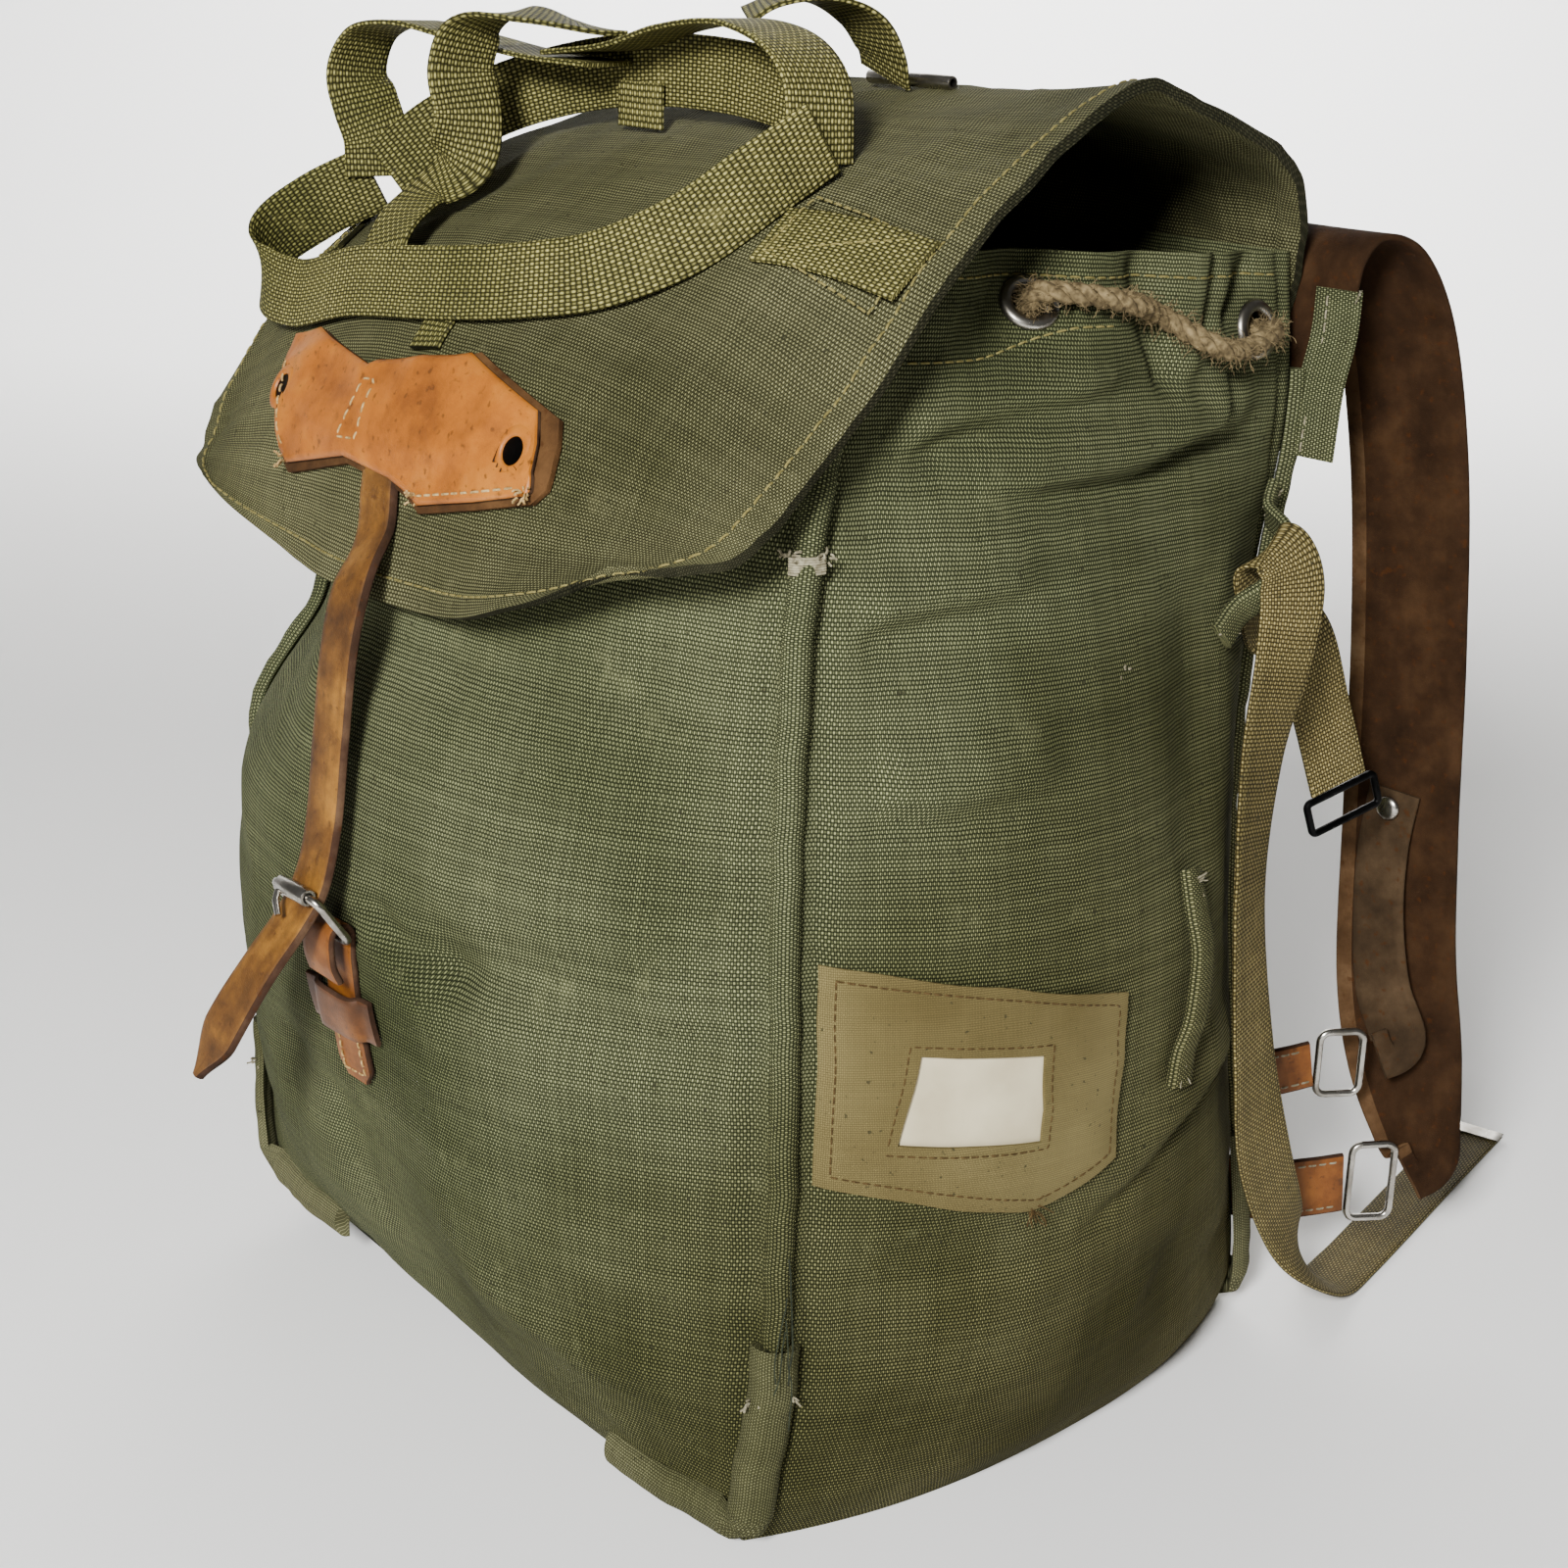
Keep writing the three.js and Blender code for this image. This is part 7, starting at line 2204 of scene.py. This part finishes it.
@dataclass
class BackHarness:
    """Leather shoulder straps with their auxiliary straps, wings, anchor tabs and buckles."""

    SHOULDER = (
        (138, 134, 352, 0, 1, 0), (138, 136.5, 378, 0, 1, 0),
        (138, 141.2, 396, 0, 1, 0), (138, 142, 412, 0, 1, -0.1),
        (139, 146, 424, 0, 0.7, -0.7), (141, 156, 430, 0, 0, -1),
        (144, 172, 424, 0, -0.6, -0.8), (148, 186, 398, 0.1, -1, -0.3),
        (154, 197, 345, 0.1, -1, 0), (160, 202, 270, 0.1, -1, 0),
        (165, 203, 195, 0.15, -1, 0), (171, 203, 135, 0.3, -1, 0),
        (179, 205, 97, 0.6, -0.8, 0), (187, 206, 72, 0.8, -0.6, 0),
        (193, 204.5, 58, 0.83, -0.55, 0), (191.6, 197.2, 54, 0.83, -0.55, 0),
    )
    AUXILIARY = (
        (163, 199.9, 212, 0.1, -1, 0), (162, 197.5, 190, 0.1, -1, 0),
        (165, 195, 160, 0.15, -1, 0), (173, 192, 132, 0.4, -0.85, 0),
        (184, 190.5, 111, 0.8, -0.6, 0), (181, 182.6, 107.5, 0.83, -0.55, 0),
    )
    # Width of each tab, width of its buckle, and the tab's stations.
    TABS = {
        "lower": (
            26.0,
            33.0,
            (
                (126, 136, 49, 0, 1, 0), (144, 139.2, 49.5, 0, 1, 0),
                (160, 147, 50.5, -0.5, 0.9, 0), (170, 160, 52, -0.8, 0.6, 0),
                (177, 172.5, 53, -0.83, 0.55, 0),
            ),
        ),
        "upper": (
            20.0,
            27.0,
            (
                (124, 129.6, 100, 0, 1, 0), (143, 129.8, 101, 0, 1, 0),
                (156, 140, 103, -0.6, 0.85, 0), (162, 150, 104.5, -0.8, 0.6, 0),
                (166, 158, 106, -0.83, 0.55, 0),
            ),
        ),
    }

    strap_width: float = 50.0
    end_width: float = 26.0
    wing_x: float = 157.0
    wing_width: float = 20.0
    auxiliary_width: float = 22.0
    rivet_z: float = 205.0
    tab_stitch: Stitch = Stitch(3.0, 1.4, 0.42, 0.4)
    wing_stitch: Stitch = Stitch(3.2, 1.6, 0.42, 0.4)

    def width(self, t: float) -> float:
        """Width of a shoulder strap along its length."""
        return lerp(self.strap_width, self.end_width, smoothstep(0.72, 1.0, t))

    def build(self) -> None:
        """Make both sides."""
        for side in Side:
            self.strap(side)
            self.tabs(side)

    def strap(self, side: Side) -> None:
        """Shoulder strap with its rubbed edge, wing, auxiliary strap and rivet of one side."""
        rows = rows_of(self.SHOULDER, side)
        lanes = (7, 8, 9, 10, 11) if side is Side.RIGHT else (0, 18, 19, 20, 21)
        made = band(f"shoulder_strap_leather_{side.word}", rows, self.width, LEATHER, 200, 0.0, lanes)
        made.build(FLESH_AND_SHADE_FINISH, f"shoulder_strap_{side.word}", edge=RUBBED_EDGE)
        wing = []
        for _, y, z, _, _, _ in self.SHOULDER[:4]:
            wing.append(BandRow(vec(side.value * self.wing_x, y - 2.4, z), vec(0, 1, 0)))
        made = band(f"canvas_wing_{side.word}", wing, self.wing_width, 1.4, 30)
        made.build(CANVAS_FINISH, f"back_wing_{side.word}")
        rows = rows_of(self.AUXILIARY, side)
        made = band(f"auxiliary_strap_suede_{side.word}", rows, self.auxiliary_width, WEBBING, 60)
        made.build(SUEDE_FINISH, f"auxiliary_strap_{side.word}")
        x, y, _, _, _, _ = self.AUXILIARY[0]
        rivet = MeshMaker(f"steel_rivet_{side.word}")
        profile = ((0.0, 0.0), (5.0, 0.0), (4.9, 0.7), (4.2, 1.5), (2.6, 2.0), (0.0, 2.2))
        at = vec(side.value * (x - 0.6), y - WEBBING / 2 - 1.9, self.rivet_z)
        turned(rivet, profile, 24, at, vec(0.1 * side.value, -1, 0))
        rivet.build(STEEL_FINISH, f"rivet_{side.word}")

    def tabs(self, side: Side) -> None:
        """Anchor tabs and their wire buckles of one side."""
        along = vec(0.55, 0.83, 0).normalized()
        for name, (width, loop, table) in self.TABS.items():
            made = band(f"anchor_tab_{name}_{side.word}", rows_of(table, side), width, LEATHER, 50)
            made.build(CHAPE_FINISH, f"tab_{name}_{side.word}", edge=EDGE_FINISH)
            centre = vec(*table[-1][:3]) + along * (9.0 + WIRE + 1.6)
            points = wire_loop(centre, vec(0, 0, 1), along, loop, 18.0, 4.0)
            wire = MeshMaker(f"tab_buckle_wire_{name}_{side.word}")
            rod(wire, [vec(side.value * p.x, p.y, p.z) for p in points], WIRE, 12, True)
            wire.build(STEEL_FINISH, f"tab_buckle_{name}_{side.word}")

    def dress(self) -> None:
        """White stitches of the tabs and the wings, and a loose thread at each wing."""
        work = ThreadWork("back_stitches", PALE_THREAD, 71)
        for side in Side:
            for width, _, table in self.TABS.values():
                strap = StrapPath(rows_of(table, side))
                for off in (-width / 2 + 3, width / 2 - 3):
                    for face in (1, -1):
                        seats = [strap.seat(t, off, face * LEATHER / 2, face) for t in spread(30, 0.3, 0.95)]
                        work.run(seats, self.tab_stitch)
            seats = []
            for t in spread(24, 0.0, 1.0):
                y = lerp(131.6, 139.0, smoothstep(0.0, 0.8, t)) - 0.75
                at = vec(side.value * (self.wing_x - 4.0), y, lerp(354.0, 410.0, t))
                seats.append(Seat(at, vec(0, -1, 0)))
            work.run(seats, self.wing_stitch)
            root = vec(side.value * 165, 138.5, 408)
            work.hair(root, vec(0.4 * side.value, -0.5, 0.4), 26.0, 0.3, 0.3, 0.1)
        work.build()


@dataclass
class Studio:
    """Camera at the photo's place, soft lights, a pale floor and a pale room."""

    # Place, target, size in metres, power in watts.
    LAMPS = {
        "key_softbox": ((1.05, -1.6, 1.2), (0, 0, 0.22), 0.45, 104.0),
        "backdrop_softbox": ((-1.6, 1.7, 2.6), (-3.2, 3.2, 1.2), 2.4, 260.0),
    }

    # Focal length and frame in pixels of the photo, camera's place in millimetres, turns in degrees.
    focus: float = 2530.0
    frame: float = 1600.0
    at: tuple[float, float, float] = (698.3, -599.4, 528.0)
    yaw: float = 48.4
    pitch: float = 19.0
    roll: float = 1.6
    sensor: float = 36.0
    # Floor in metres: its near and far reach, the radius of its sweep, its half width and its height.
    near: float = -6.0
    far: float = 2.2
    sweep: float = 1.6
    half_width: float = 9.0
    wall: float = 6.0
    sunk: float = 0.0004

    def camera(self) -> None:
        """Set the camera by its place, turn and lens."""
        yaw = math.radians(self.yaw)
        pitch = math.radians(self.pitch)
        roll = math.radians(self.roll)
        right = vec(math.cos(yaw), math.sin(yaw), 0)
        ahead = vec(-math.sin(yaw) * math.cos(pitch), math.cos(yaw) * math.cos(pitch), -math.sin(pitch))
        up = right.cross(ahead)
        axis_x = right * math.cos(roll) + up * math.sin(roll)
        axis_y = up * math.cos(roll) - right * math.sin(roll)
        data = bpy.data.cameras.new("photo_camera")
        data.sensor_width = self.sensor
        data.lens = self.sensor * self.focus / self.frame
        data.clip_start = 0.05
        made = bpy.data.objects.new("photo_camera", data)
        turn = Matrix((axis_x, axis_y, -ahead)).transposed().to_4x4()
        made.matrix_world = Matrix.Translation(vec(*self.at) * MM) @ turn
        bpy.context.scene.collection.objects.link(made)
        bpy.context.scene.camera = made

    def lights(self) -> None:
        """Two softboxes and a pale room."""
        for name, (place, target, size, power) in self.LAMPS.items():
            data = bpy.data.lights.new(name, "AREA")
            data.shape = "DISK"
            data.size = size
            data.energy = power
            made = bpy.data.objects.new(name, data)
            made.location = place
            made.rotation_euler = (vec(*target) - vec(*place)).to_track_quat("-Z", "Y").to_euler()
            bpy.context.scene.collection.objects.link(made)
        world = bpy.data.worlds.new("pale_room")
        world.use_nodes = True
        back = world.node_tree.nodes["Background"]
        back.inputs["Color"].default_value = linear("#f4f4f2")
        back.inputs["Strength"].default_value = 0.14
        bpy.context.scene.world = world

    def floor(self) -> None:
        """Plain pale floor under the bag, swept up far behind it."""
        mesh = bpy.data.meshes.new("pale_floor")
        yaw = math.radians(self.yaw)
        away = vec(-math.sin(yaw), math.cos(yaw), 0)
        beside = vec(math.cos(yaw), math.sin(yaw), 0)
        round_to = self.sweep
        profile = [(self.near, 0.0), (self.far, 0.0)]
        for angle in spread(24, 0.0, math.pi / 2)[1:]:
            profile.append((self.far + round_to * math.sin(angle), round_to - round_to * math.cos(angle)))
        profile.append((self.far + round_to, self.wall))
        points = []
        for distance, height in profile:
            for wide in (-self.half_width, self.half_width):
                points.append(away * distance + beside * wide + vec(0, 0, height - self.sunk))
        faces = [(2 * k, 2 * k + 1, 2 * k + 3, 2 * k + 2) for k in range(len(profile) - 1)]
        mesh.from_pydata(points, [], faces)
        mesh.polygons.foreach_set("use_smooth", [True] * len(faces))
        paper = bpy.data.materials.new("white_paper_floor")
        paper.use_nodes = True
        shader = paper.node_tree.nodes["Principled BSDF"]
        shader.inputs["Base Color"].default_value = linear("#fbfaf8")
        shader.inputs["Roughness"].default_value = 0.9
        mesh.materials.append(paper)
        made = bpy.data.objects.new("pale_floor", mesh)
        bpy.context.scene.collection.objects.link(made)

    def build(self) -> None:
        """Set up the whole studio."""
        self.camera()
        self.lights()
        self.floor()


def main() -> None:
    """Build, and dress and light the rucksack."""
    logging.basicConfig(level=logging.INFO)
    shape = BagShape()
    body = BagBody(shape)
    carried = [kind(shape) for kind in (TopFlap, ClosingGear, WebHarness, SideFittings, LabelPocket)]
    for part in (body, *carried, BackHarness()):
        part.build()
        part.dress()
    MouthGear(body).build()
    Studio().build()


if __name__ == "__main__":
    main()
